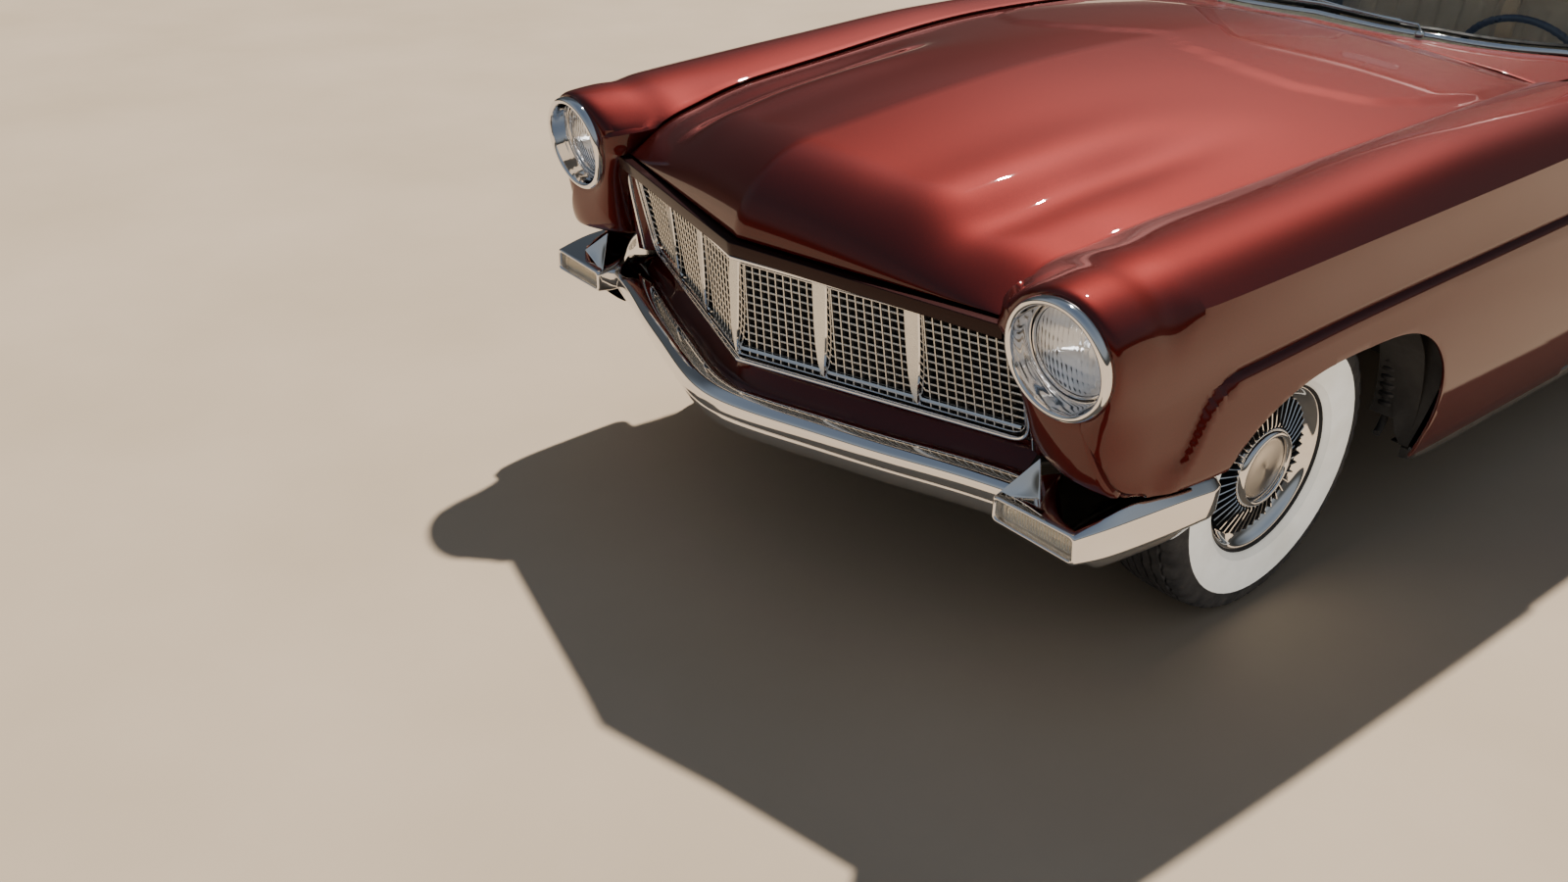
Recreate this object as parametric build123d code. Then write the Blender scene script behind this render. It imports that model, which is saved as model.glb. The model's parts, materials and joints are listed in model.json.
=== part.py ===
from build123d import *
import math
import os

# Full-size two-door hardtop coupe of the mid 1950s, millimetres, +Z up.
# The nose points to -Y, the car's left side is +X. Every station below is measured
# from the front axle and the whole model is moved by AXLE_Y at the end, so that the
# origin is on the ground under the middle of the car.

WHEELBASE = 3200.0
LENGTH = 5550.0
FRONT_OVERHANG = 935.0
REAR_END = LENGTH - FRONT_OVERHANG          # station of the rear bumper's face
AXLE_Y = -LENGTH / 2 + FRONT_OVERHANG       # where the front axle stands in the model
ROOF_Z = 1425.0
TYRE_R, TYRE_W, RIM_R = 350.0, 204.0, 196.0
TRACK_F, TRACK_R = 1486.0, 1524.0
SKIN = 12.0                                 # fender and panel wall
DOOR_T = 120.0                              # whole door
GAP = 6.0                                   # shut line
DOOR_F, DOOR_R = 1130.0, 2530.0             # shut lines of the door
LID_F = 3490.0                              # front edge of the luggage lid
HOOD_R = 1128.0                             # rear edge of the hood
STEER_DEG, KINGPIN_X = 30.0, 640.0
LAMP = (810.0, -755.0, 828.0)               # headlamp centre
LAMP_R, LAMP_TILT = 118.0, 7.7
SILL_Z = 300.0
SPARE_R, SPARE_Y, SPARE_Z, SPARE_TILT, SPARE_PROUD = 322.0, 4374.0, 818.0, 46.0, 36.0
PLATE_Y, PLATE_Z, PLATE_PITCH, PLATE_HOLE_R = 4600.0, 548.0, 178.0, 3.5   # rear plate's two holes

# Body side. One row per station y; each pair of columns is a point (x, z) of the section:
# s seam with hood or lid, c crown, o outer crown, u upper crease, m hollow, l lower crease,
# b belly, r foot at the sill
SIDE = [
    # y      sx   sz    cx   cz    ox   oz    ux   uz   mx   mz   lx   lz   bx   bz   rx   rz
    (-600,  628, 896,  800, 962,  885, 941,  930, 903, 936, 820, 932, 738, 946, 640, 926, 400),
    (-400,  656, 937,  805, 973,  895, 952,  942, 913, 940, 830, 937, 748, 960, 620, 932, 350),
    (   0,  690, 971,  812, 993,  905, 971,  951, 928, 945, 845, 943, 776, 968, 600, 935, 300),
    ( 500,  720, 1004, 815, 1016, 912, 992,  957, 943, 949, 865, 947, 797, 974, 590, 940, 300),
    (1127,  698, 1002, 812, 1020, 915, 995,  961, 956, 952, 875, 950, 802, 979, 580, 943, 300),
    (1850,  745, 1002, 815, 1012, 917, 989,  965, 956, 955, 880, 953, 804, 983, 575, 945, 300),
    (2533,  745, 1004, 815, 1010, 917, 988,  966, 955, 956, 884, 954, 806, 984, 575, 946, 300),
    (2750,  735, 1020, 822, 1034, 918, 1012, 966, 976, 957, 892, 955, 806, 984, 575, 946, 300),
    (3050,  700, 1030, 828, 1050, 917, 1028, 964, 990, 956, 898, 954, 804, 977, 575, 940, 300),
    (3490,  655, 1022, 825, 1048, 910, 1026, 957, 986, 950, 896, 948, 798, 976, 585, 938, 320),
    (4000,  640, 990,  810, 1024, 893, 1002, 936, 962, 934, 880, 932, 782, 954, 600, 921, 350),
    (4420,  628, 935,  790, 985,  868, 965,  908, 928, 910, 850, 908, 762, 920, 610, 892, 380),
    (4540,  620, 905,  782, 968,  854, 948,  888, 914, 892, 840, 890, 752, 900, 620, 875, 400),
]
NAMES = ("s", "c", "o", "u", "m", "l", "b", "r")

# Hood. One row per x; pairs (y, z) run from the lip under the nose to the rear edge.
HOOD = [
    # x    lip        front       nose low    nose high   brow        first third  middle     rear third  rear       edge
    (0,   (-852, 822), (-862, 838), (-840, 878), (-806, 940), (-745, 986), (-430, 1041), (0, 1076), (450, 1083), (800, 1074), (1128, 1050)),
    (200, (-800, 822), (-810, 838), (-788, 874), (-752, 930), (-686, 976), (-430, 1024), (0, 1060), (450, 1071), (800, 1065), (1128, 1044)),
    (370, (-756, 822), (-766, 838), (-744, 868), (-706, 916), (-640, 956), (-430, 990),  (0, 1030), (450, 1049), (800, 1049), (1128, 1033)),
    (540, (-712, 822), (-722, 838), (-700, 860), (-662, 890), (-600, 915), (-430, 950),  (0, 999),  (450, 1025), (800, 1028), (1128, 1020)),
    (640, (-684, 822), (-694, 836), (-674, 850), (-640, 868), (-588, 893), (-430, 931),  (0, 978),  (450, 1012), (800, 1016), (1128, 1012)),
    (745, (-660, 812), (-668, 824), (-650, 838), (-618, 852), (-566, 876), (-430, 925),  (0, 962),  (450, 1001), (800, 1003), (1128, 1000)),
]

# Luggage lid. One row per x; pairs (y, z) run from the front edge over the back to the lower edge.
LID = [
    (0,   (3490, 1046), (3800, 1040), (4100, 1016), (4330, 960), (4480, 860), (4545, 740), (4560, 640)),
    (300, (3490, 1040), (3800, 1032), (4100, 1004), (4320, 945), (4465, 845), (4530, 730), (4545, 640)),
    (500, (3490, 1030), (3800, 1018), (4100, 985),  (4310, 922), (4445, 825), (4508, 715), (4522, 640)),
    (700, (3490, 1016), (3800, 998),  (4100, 958),  (4300, 895), (4425, 800), (4485, 700), (4500, 640)),
]

# Greenhouse. One row per height z; pairs (x, y) of the half outline from the front centre to the rear centre.
GREEN = [
    # z     screen centre, screen mid,  screen side, A pillar,   door,        B line,      C pillar,    rear corner, rear mid,    rear centre
    (1000, (0, 1158), (330, 1200), (590, 1400), (708, 1625), (738, 1850), (742, 2450), (728, 2950), (640, 3290), (350, 3430), (0, 3465)),
    (1360, (0, 1650), (290, 1662), (490, 1704), (586, 1785), (612, 1980), (618, 2380), (600, 2700), (520, 2860), (290, 2935), (0, 2955)),
    (1400, (0, 1760), (260, 1770), (440, 1800), (520, 1860), (545, 2010), (552, 2370), (530, 2640), (455, 2760), (260, 2815), (0, 2830)),
    (1425, (0, 2010), (160, 2015), (270, 2030), (315, 2060), (330, 2130), (335, 2350), (320, 2480), (275, 2540), (160, 2570), (0, 2580)),
]


def hermite(rows, y):
    """Smooth value of every column of a table at station y."""
    rows = sorted(rows, key=lambda r: r[0])
    ys = [r[0] for r in rows]
    i = 0
    while i < len(ys) - 2 and y > ys[i + 1]:
        i += 1
    h = ys[i + 1] - ys[i]
    t = (y - ys[i]) / h
    out = [y]
    for k in range(1, len(rows[0])):
        v = [r[k] for r in rows]

        def slope(j):
            if j in (0, len(v) - 1):
                a, b = (0, 1) if j == 0 else (len(v) - 2, len(v) - 1)
                return (v[b] - v[a]) / (ys[b] - ys[a])
            d0 = (v[j] - v[j - 1]) / (ys[j] - ys[j - 1])
            d1 = (v[j + 1] - v[j]) / (ys[j + 1] - ys[j])
            return 0.0 if d0 * d1 <= 0 else 2 * d0 * d1 / (d0 + d1)

        m0, m1 = slope(i), slope(i + 1)
        t2, t3 = t * t, t * t * t
        out.append((2 * t3 - 3 * t2 + 1) * v[i] + (t3 - 2 * t2 + t) * h * m0
                   + (3 * t2 - 2 * t3) * v[i + 1] + (t3 - t2) * h * m1)
    return out


def side(y):
    """The body side's section points at station y, by name."""
    row = hermite(SIDE, y)
    return {n: (row[1 + 2 * i], row[2 + 2 * i]) for i, n in enumerate(NAMES)}


def inward(pts, t):
    """An open line moved to its right by t, for the inner face of a wall."""
    out = []
    for i, p in enumerate(pts):
        a = pts[max(i - 1, 0)]
        b = pts[min(i + 1, len(pts) - 1)]
        n = []
        for q, w in ((a, p), (p, b)):
            dx, dz = w[0] - q[0], w[1] - q[1]
            d = math.hypot(dx, dz)
            if d > 1e-9:
                n.append((dz / d, -dx / d))
        nx = sum(v[0] for v in n) / len(n)
        nz = sum(v[1] for v in n) / len(n)
        k = nx * nx + nz * nz
        out.append((p[0] + t * nx / k, p[1] + t * nz / k))
    return out


def wire(points):
    return Wire.make_polygon([Vector(*p) for p in points], close=True)


def skinned(sections):
    """A straight-ruled solid through closed sections with the same number of corners."""
    return Solid.make_loft([wire(s) for s in sections], True)


def prism_x(points, x0, x1):
    """Extrudes a (y, z) outline from x0 to x1."""
    face = Face(wire([(x0, y, z) for y, z in points]))
    return Solid.extrude(face, Vector(x1 - x0, 0, 0))


def prism_y(points, y0, y1):
    """Extrudes an (x, z) outline from y0 to y1."""
    face = Face(wire([(x, y0, z) for x, z in points]))
    return Solid.extrude(face, Vector(0, y1 - y0, 0))


def prism_z(points, z0, z1):
    """Extrudes an (x, y) outline from z0 to z1."""
    face = Face(wire([(x, y, z0) for x, y in points]))
    return Solid.extrude(face, Vector(0, 0, z1 - z0))


def block(x0, x1, y0, y1, z0, z1):
    return prism_z([(x0, y0), (x1, y0), (x1, y1), (x0, y1)], z0, z1)


def rod(a, b, r):
    """A round bar from point a to point b."""
    a, b = Vector(*a), Vector(*b)
    return Solid.make_cylinder(r, (b - a).length, Plane(origin=a, z_dir=(b - a).normalized()))


def flip(shape):
    return mirror(shape, about=Plane.YZ)


def one(shape):
    """The single solid of a boolean result."""
    solids = shape.solids()
    return max(solids, key=lambda s: s.volume)


def steps(a, b, n):
    return [a + (b - a) * i / n for i in range(n + 1)]


def lines_at(y, names):
    s = side(y)
    pts = []
    for n in names:
        pts.append(s[n])
        if n == "l":                                   # the ledge under the lower crease
            pts.append((s["l"][0] + 14, s["l"][1] - 12))
    return pts


def wall(y, names, t, flange=0.0):
    """Closed section of a thin wall at station y."""
    outer = lines_at(y, names)
    if flange:
        outer = [(outer[0][0], outer[0][1] - flange)] + outer
    inner = inward(outer, t)
    return [(x, y, z) for x, z in outer + inner[::-1]]


def arch(y0, top, half, x0=700.0, x1=1100.0):
    """Wheel opening as lines and arcs in the side view, cut through the panel."""
    p = [(-0.97 * half, 230), (-half, 430), (-0.78 * half, 0.87 * top), (-0.36 * half, 0.985 * top),
         (0.0, top), (0.36 * half, 0.985 * top), (0.78 * half, 0.87 * top), (half, 430), (0.9 * half, 230)]
    v = [Vector(x0, y0 + a, b) for a, b in p]
    edges = [Edge.make_line(v[0], v[1]), Edge.make_three_point_arc(v[1], v[2], v[3]),
             Edge.make_three_point_arc(v[3], v[4], v[5]), Edge.make_three_point_arc(v[5], v[6], v[7]),
             Edge.make_line(v[7], v[8]), Edge.make_line(v[8], v[0])]
    return Solid.extrude(Face(Wire(edges)), Vector(x1 - x0, 0, 0))


# ---------------------------------------------------------------- front fenders
def seam_x(y):
    return side(y)["s"][0] if y > -600 else 625 + (-600 - y) * 0.08


ARCH_F = arch(0.0, 694.0, 430.0)
ARCH_R = arch(WHEELBASE, 655.0, 415.0)


def front_fender():
    names = NAMES
    shell = skinned([wall(y, names, SKIN, 24) for y in (-600, -400, -200, 0, 250, 500, 800, DOOR_F - GAP / 2)])
    # round nacelle from the lamp rim back to the first section
    s0 = [(692, 850), (712, 896), (810, 946), (885, 920), (922, 866), (928, 820), (914, 748), (919, 734), (918, 660), (905, 590)]
    s1 = lines_at(-600, names)
    s1 = [(s1[0][0], s1[0][1] - 24)] + s1
    s1[-1] = (937, 590)
    nose = skinned([[(x, y, z) for x, z in p + inward(p, SKIN)[::-1]] for y, p in ((-742, s0), (-600, s1))])
    rim = one(Solid.make_cylinder(LAMP_R, 60, Plane(origin=(LAMP[0], -735, LAMP[2]), z_dir=(0, 1, 0)))
              - Solid.make_cylinder(LAMP_R - 14, 60, Plane(origin=(LAMP[0], -735, LAMP[2]), z_dir=(0, 1, 0))))
    plan = [(722, -600), (760, -668), (812, -699), (860, -709), (905, -694), (932, -640), (938, -600)]
    front = prism_z(plan + inward(plan, -SKIN)[::-1], 590, 742)
    low = block(860, 1100, -1000, -394, 100, 590)
    f = one(shell - ARCH_F - low)
    # face beside the grille and the corner between hood lip and lamp
    face = prism_z([(676, -640), (676, -672), (700, -676), (722, -672), (745, -600), (700, -600)], 545, 815)
    corner = skinned([[(631, -600, 866), (631, -600, 890), (720, -600, 925), (720, -600, 860)],
                      [(642, -735, 812), (642, -735, 836), (716, -735, 884), (716, -735, 812)]])
    return one(f + nose + rim + front + face + corner)


# ---------------------------------------------------------------- hood
def hood():
    rows = [(-r[0],) + r[1:] for r in HOOD[:0:-1]] + HOOD
    secs = []
    for r in rows:
        top = list(r[1:])
        low = [(y + (10 if i < 3 else 0), z - (4 if i == 0 else 22)) for i, (y, z) in enumerate(top)]
        low[0] = (top[0][0] + 26, top[0][1])
        low[1] = (top[1][0] + 34, top[1][1] + 6)
        low[2] = (top[2][0] + 30, top[2][1] - 12)
        low[3] = (top[3][0] + 20, top[3][1] - 18)
        secs.append([(r[0], y, z) for y, z in top + low[::-1]])
    full = skinned(secs)
    ys = [-900, -700, -650, -600, -500, -400, -200, 0, 250, 500, 800, HOOD_R - 3]
    edge = [(seam_x(y) - GAP, y) for y in ys]
    plan = edge + [(-x, y) for x, y in edge[::-1]]
    return one(full & prism_z(plan, 700, 1200))


# ---------------------------------------------------------------- doors, quarters, lid
def door():
    secs = []
    for y in (DOOR_F + GAP / 2, 1500, 1850, 2200, DOOR_R - GAP / 2):
        outer = lines_at(y, NAMES)
        top = outer[0][1]
        outer = [(690, top - 6)] + outer
        outer[-1] = (outer[-1][0], SILL_Z + GAP)
        inner = [(outer[-1][0] - DOOR_T + 30, SILL_Z + GAP), (848, 600), (800, 850), (700, 930)]
        secs.append([(x, y, z) for x, z in outer + inner])
    d = skinned(secs)
    plan = [(752, DOOR_F), (1100, DOOR_F), (1100, DOOR_R - 2), (860, DOOR_R - 18), (640, DOOR_R - 46), (640, 1640), (752, 1632)]
    d = one(d & prism_z(plan, 200, 1200))
    return one(d - glass_band(-13, -21, 935))


def quarter():
    ys = (DOOR_R + GAP / 2, 2700, 2900, 3100, 3300, 3490, 3750, 4000, 4250, 4420, 4540)
    shell = skinned([wall(y, NAMES, SKIN, 30) for y in ys])
    tail = prism_z([(800, 4322), (1100, 4322), (1100, 4600), (560, 4600), (560, 4536), (800, 4536)], 100, 582)
    return one(shell - ARCH_R - tail - green_solid())


def lid_sheet(proud, depth):
    """The lid's skin, moved out by proud along its own section, depth thick."""
    rows = [(-r[0],) + r[1:] for r in LID[:0:-1]] + LID
    secs = []
    for r in rows:
        line = [(y, z) for y, z in r[1:]]
        top = inward(line, -proud)
        low = inward(line, depth)
        secs.append([(r[0], y, z) for y, z in top + low[::-1]])
    return skinned(secs)


def lid():
    full = lid_sheet(0, 20)
    edge = [(side(y)["s"][0] - GAP, y) for y in (LID_F + 3, 3750, 4000, 4250, 4420, 4500)] + [(610, 4700)]
    plan = edge + [(-x, y) for x, y in edge[::-1]]
    sheet = one(full & prism_z(plan, 500, 1200))
    # round stamping over the spare wheel
    ax = Vector(0, math.cos(math.radians(SPARE_TILT)), math.sin(math.radians(SPARE_TILT)))
    drum = Solid.make_cylinder(SPARE_R, 500, Plane(origin=Vector(0, SPARE_Y, SPARE_Z) - ax * 200, z_dir=ax))
    hump = lid_sheet(SPARE_PROUD, 2) & drum & block(-600, 600, 3600, 4800, 646, 1200)
    return one(sheet + one(hump))


# ---------------------------------------------------------------- greenhouse
def outline(z, inset=0.0):
    """Half plan outline of the greenhouse at height z, carried on below the first row."""
    pair = next(((a, b) for a, b in zip(GREEN[:-1], GREEN[1:]) if z <= b[0]), GREEN[-2:])
    a, b = pair
    t = (z - a[0]) / (b[0] - a[0])
    row = [(p[0] + (q[0] - p[0]) * t, p[1] + (q[1] - p[1]) * t) for p, q in zip(a[1:], b[1:])]
    if inset:
        row = inward(row, inset)
        row[0], row[-1] = (0, row[0][1]), (0, row[-1][1])
    return row


def ring(z, inset=0.0, at=None):
    row = outline(z, inset)
    return [(x, y, z if at is None else at) for x, y in row + [(-x, y) for x, y in row[-2:0:-1]]]


def green_solid():
    """All the space of the greenhouse, down into the body."""
    return skinned([ring(900), ring(1000), ring(1360), ring(1400), ring(1425)])


SIDE_WINDOW = [(1636, 990), (2770, 990), (2640, 1225), (2560, 1338), (1800, 1338), (1762, 1300)]
SCREEN = [(-640, 1018), (640, 1018), (655, 1060), (545, 1330), (-545, 1330), (-655, 1060)]
BACKLIGHT = [(-600, 1030), (600, 1030), (590, 1080), (478, 1322), (-478, 1322), (-590, 1080)]


def roof():
    outer = skinned([ring(z) for z in (1000, 1360, 1400, 1425)])
    inner = skinned([ring(1000, -34, 995), ring(1360, -34, 1342), ring(1400, -34, 1378), ring(1422, -34, 1392)])
    shell = outer - inner - prism_x(SIDE_WINDOW, -900, 900)
    return one(shell - prism_y(SCREEN, 1000, 1800) - prism_y(BACKLIGHT, 2800, 3600))


def glass_band(out, back, z0, pick=(3, 7), z1=1352):
    """Curved strip of glass on the left side, between two insets of the greenhouse."""
    secs = []
    for z in (z0, z1):
        a, b = outline(z, out), outline(z, back)
        secs.append([(x, y, z) for x, y in a[pick[0]:pick[1]] + b[pick[0]:pick[1]][::-1]])
    return skinned(secs)


def door_glass():
    cut = [(1646, 970), (2494, 970), (2470, 1328), (1808, 1328), (1774, 1294)]
    return one(glass_band(-14, -20, 940) & prism_x(cut, 500, 900))


def quarter_glass():
    cut = [(2508, 1002), (2755, 1002), (2630, 1222), (2552, 1328), (2484, 1328)]
    return one(glass_band(-14, -20, 940) & prism_x(cut, 500, 900))


def screen_pane(opening, picks, y0, y1):
    """Curved pane across the car, a little larger than its opening, set in the shell."""
    secs = []
    for z in (1002, 1352):
        a, b = outline(z, -14), outline(z, -20)
        a, b = [a[k] for k in picks], [b[k] for k in picks]
        a = [(-x, y) for x, y in a[:0:-1]] + a
        b = [(-x, y) for x, y in b[:0:-1]] + b
        secs.append([(x, y, z) for x, y in a + b[::-1]])
    cut = [(x * 0.998, 1180 + (z - 1180) * 0.995) for x, z in opening]
    return one(skinned(secs) & prism_y(cut, y0, y1))


parts = {}


def put(name, *shapes):
    """Stores the solids of a node, moved from axle stations to the model's own frame."""
    solids = [s for sh in shapes for s in sh.solids()]
    solids = [s.moved(Location((0, AXLE_Y, 0))) for s in solids]
    parts[name] = solids[0] if len(solids) == 1 else Compound(children=solids)


# ---------------------------------------------------------------- cowl, deck and tail
def strip(stations):
    """A plate with a crowned top: rows of (y, [(x, z), ...], thickness)."""
    secs = []
    for y, pts, t in stations:
        half = pts + [(x, z - t) for x, z in pts[::-1]]
        left = [(x, y, z) for x, z in pts]
        full = [(-x, y, z) for x, z in pts[:0:-1]] + left
        low = [(x, yy, z - t) for x, yy, z in full[::-1]]
        secs.append(full + low)
    return skinned(secs)


def cowl():
    top = strip([(1134, [(0, 1046), (350, 1034), (600, 1014), (700, 1000)], 18),
                 (1320, [(0, 1046), (350, 1036), (600, 1016), (745, 994)], 18),
                 (1628, [(0, 1046), (350, 1036), (600, 1016), (745, 998)], 18)]) - green_solid()
    wallp = block(-690, 690, 1134, 1146, 389, 1000) - prism_y([(-184, 380), (-144, 558), (144, 558), (184, 380)], 1100, 1200)
    wallp = wallp - block(-900, 900, 1100, 1200, 968, 1100)
    web = block(-690, 690, 1134, 1146, 960, 1018) & skinned([[(-690, y, 940), (690, y, 940), (690, y, 985), (600, y, 998), (0, y, 1034), (-600, y, 998), (-690, y, 985)] for y in (1130, 1150)])
    hole = rod(column_point(-760), column_point(-600), 27)
    return one((one(top) + wallp + web) - hole)


def deck():
    rows = []
    for y in (3150, LID_F - 3):
        s = side(y)["s"]
        rows.append((y, [(0, 1046), (300, 1040), (500, 1030), (s[0] - 8, s[1])], 18))
    return one(strip(rows) - green_solid())


def tail_panel():
    s = side(4530)
    pts = inward([s[n] for n in NAMES], 15)
    edge = [(p[0], p[1]) for p in pts[1:-1]]
    half = [(636, 634), (636, 880), (760, 946)] + [q for q in edge if q[0] > 780] 
    half = [q for q in half if q[1] > 590] + [(882, 582)]
    return prism_y(half + [(-x, z) for x, z in half[::-1]], 4516, 4534)


# ---------------------------------------------------------------- bumpers and grille
def bumper(path, foot):
    """Bar around one end of the car. Path rows: x, y, top z, crease z, bottom z; foot is the depth."""
    secs = []
    half = path
    rows = [(-r[0],) + r[1:] for r in half[:0:-1]] + list(half)
    for i, r in enumerate(rows):
        a, b = rows[max(i - 1, 0)], rows[min(i + 1, len(rows) - 1)]
        dx, dy = b[0] - a[0], b[1] - a[1]
        d = math.hypot(dx, dy)
        nx, ny = dy / d * foot, -dx / d * foot          # outward
        x, y, zt, zc, zb = r
        prof = [(0, zt), (10, zc), (-14, zb + 0.3 * (zc - zb)), (-40, zb), (-64, zb), (-64, zt)]
        secs.append([(x + nx * q, y + ny * q, z) for q, z in prof])
    return skinned(secs)


# Plan of the front bar's crease; the section behind it is BAR_SECTION.
FRONT_BAR = [
    # x     y     crease z
    (0,   -935, 496),
    (122, -914, 496),
    (264, -868, 496),
    (440, -810, 497),
    (600, -752, 499),
    (712, -722, 500),
]
# Rows run round the section: back of the shelf, crown, crease, lower edge of the face,
# shadow step, lower apron and the inner face.
BAR_SECTION = [
    # back  up
    (92,    2),
    (50,   18),
    (8,     8),
    (0,     0),
    (5,   -36),
    (13,  -39),
    (17,  -60),
    (38,  -92),
    (84, -112),
    (92, -112),
]
# Side wrap with the lamp pod at its front: inner x, outer x at the foot, at the crease and at
# the top band, and the heights of foot, crease, band and inner edge.
POD = [
    # y     xi   xf   xc   xt   zf   zc   zt   zi
    (-763, 709, 919, 914, 905, 456, 516, 520, 512),
    (-700, 760, 931, 930, 914, 448, 517, 532, 522),
    (-620, 866, 938, 938, 918, 441, 514, 538, 538),
    (-500, 880, 944, 946, 926, 434, 509, 528, 528),
    (-380, 892, 948, 950, 932, 431, 497, 516, 516),
    (-350, 906, 946, 948, 936, 440, 490, 504, 504),
]
REAR_BAR = [
    (0,   REAR_END - 3.3, 572, 505, 405),
    (440, 4594, 572, 505, 405),
    (760, 4560, 570, 503, 405),
    (872, 4524, 562, 500, 412),
    (914, 4450, 550, 498, 425),
    (924, 4330, 540, 498, 440),
]


def front_bumper():
    rows = [(-r[0],) + r[1:] for r in FRONT_BAR[:0:-1]] + FRONT_BAR
    secs = []
    for i, (x, y, z) in enumerate(rows):
        a, b = rows[max(i - 1, 0)], rows[min(i + 1, len(rows) - 1)]
        d = math.hypot(b[0] - a[0], b[1] - a[1])
        nx, ny = -(b[1] - a[1]) / d, (b[0] - a[0]) / d
        secs.append([(x + nx * q, y + ny * q, z + h) for q, h in BAR_SECTION])
    bar = skinned(secs)
    pod = skinned([[(xi, y, zf), (xf, y, zf), (xc, y, zc), (xt, y, zt), (xi, y, zi)]
                   for y, xi, xf, xc, xt, zf, zc, zt, zi in POD])
    apron = skinned([[(xi, y, z0), (xo, y, z0), (xo + 14, y, z1), (xi, y, z1)]
                     for y, xi, xo, z0, z1 in ((-700, 700, 848, 392, 449), (-600, 840, 898, 384, 442), (-440, 872, 914, 396, 433))])
    mouth = skinned([[(xa, y, za), (xb, y, za), (xb, y, zb), (xa, y, zb)]
                     for y, xa, xb, za, zb in ((-764, 720, 906, 464, 508), (-728, 736, 900, 468, 506))])
    end = bar + pod + apron - mouth
    end = end + flip(pod) + flip(apron) - flip(mouth)
    return one(end)


def front_face(x, z):
    """Station of the grille's front plane."""
    t = (z - 548) / (795 - 548)
    return (-843 + 0.345 * abs(x)) * (1 - t) + (-858 + 0.275 * abs(x)) * t


def v_slab(xs, d0, d1, z0, z1):
    return skinned([[(x, front_face(x, z0) + d0, z0), (x, front_face(x, z1) + d0, z1),
                     (x, front_face(x, z1) + d1, z1), (x, front_face(x, z0) + d1, z0)] for x in xs])


def grille_frame():
    return one(v_slab((-668, 0, 668), 0, 60, 546, 797) - v_slab((-640, 0, 640), -40, 120, 566, 777))


def grille():
    slab = v_slab((-639, 0, 639), 34, 54, 567, 776)
    for k in range(-2, 3):
        x = 212.0 * k
        slab = slab + skinned([[(q, front_face(q, z) + 8, z), (q, front_face(q, z) + 40, z)][::1]
                               + [(q + 0.0, front_face(q, 776) + 40, 776), (q, front_face(q, 776) + 8, 776)]
                               for q in (x - 5, x + 5) for z in (567,)])
    return one(slab)


# ---------------------------------------------------------------- wheels
def turned(profile, x, y, z, sign):
    """Solid turned about the X line through (x, y, z); profile rows are (axial, radius)."""
    pts = [Vector(a, 0, r) for a, r in profile]
    face = Face(Wire.make_polygon(pts, close=True))
    s = Solid.revolve(face, 360, Axis.X)
    if sign < 0:
        s = flip(s)
    return s.solids()[0].moved(Location((x, y, z)))


def tyre_shape():
    p = [Vector(-66, 0, RIM_R + 0.3), Vector(-102, 0, 270), Vector(-86, 0, 334), Vector(0, 0, TYRE_R), Vector(86, 0, 334), Vector(102, 0, 270), Vector(66, 0, RIM_R + 0.3)]
    edges = [Edge.make_three_point_arc(p[0], p[1], p[2]), Edge.make_three_point_arc(p[2], p[3], p[4]),
             Edge.make_three_point_arc(p[4], p[5], p[6]), Edge.make_line(p[6], p[0])]
    return Solid.revolve(Face(Wire(edges)), 360, Axis.X)


WHEEL = [(-78, RIM_R), (62, RIM_R), (70, 190), (76, 150), (80, 98), (86, 60), (88, 0.0), (62, 0.0), (62, 20.05), (35, 20.05), (35, 178), (-78, 178)]
DRUM = [(-60, 0), (-60, 150), (26, 150), (26, 20), (60, 20), (60, 0)]


def wheel_pair(side_sign, track, y):
    x = side_sign * track / 2
    w = turned(WHEEL, x, y, TYRE_R, side_sign)
    t = tyre_shape().moved(Location((x, y, TYRE_R)))
    return w, t


def knuckle(sign):
    d = turned(DRUM, sign * TRACK_F / 2, 0, TYRE_R, sign)
    x0, x1 = sorted((sign * 616, sign * 684))
    post = block(x0, x1, -28, 28, 240, 470)
    pin = rod((sign * KINGPIN_X, 0, 206), (sign * KINGPIN_X, 0, 504), 15)
    return one(d + post + pin)


def arms():
    """Cross-member, spring towers and the four arms that hold the kingpins."""
    s = block(-420, 420, -90, 90, 215, 299.5)
    out = [s]
    for sg in (-1, 1):
        for z0, z1, x in ((208, 232, 400), (480, 500, 360)):
            arm = prism_z([(sg * x, -85), (sg * KINGPIN_X, -26), (sg * KINGPIN_X, 26), (sg * x, 85)], z0, z1)
            eye = Solid.make_cylinder(27, z1 - z0, Plane(origin=(sg * KINGPIN_X, 0, z0), z_dir=(0, 0, 1)))
            hole = Solid.make_cylinder(15.06, 60, Plane(origin=(sg * KINGPIN_X, 0, z0 - 20), z_dir=(0, 0, 1)))
            out.append(arm + eye - hole)
        a, b = sorted((sg * 350, sg * 434))
        out.append(block(a, b, -85, 85, 400.5, 482))
    return out


# ---------------------------------------------------------------- frame, drive line and underside
RAIL = [(-600, 330), (-350, 300), (500, 300), (750, 262), (2500, 262), (2850, 424), (3550, 424), (3800, 330), (4380, 330),
        (4380, 412), (3820, 415), (3600, 520), (2810, 520), (2470, 370), (760, 370), (500, 400), (-350, 400), (-600, 412)]


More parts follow.
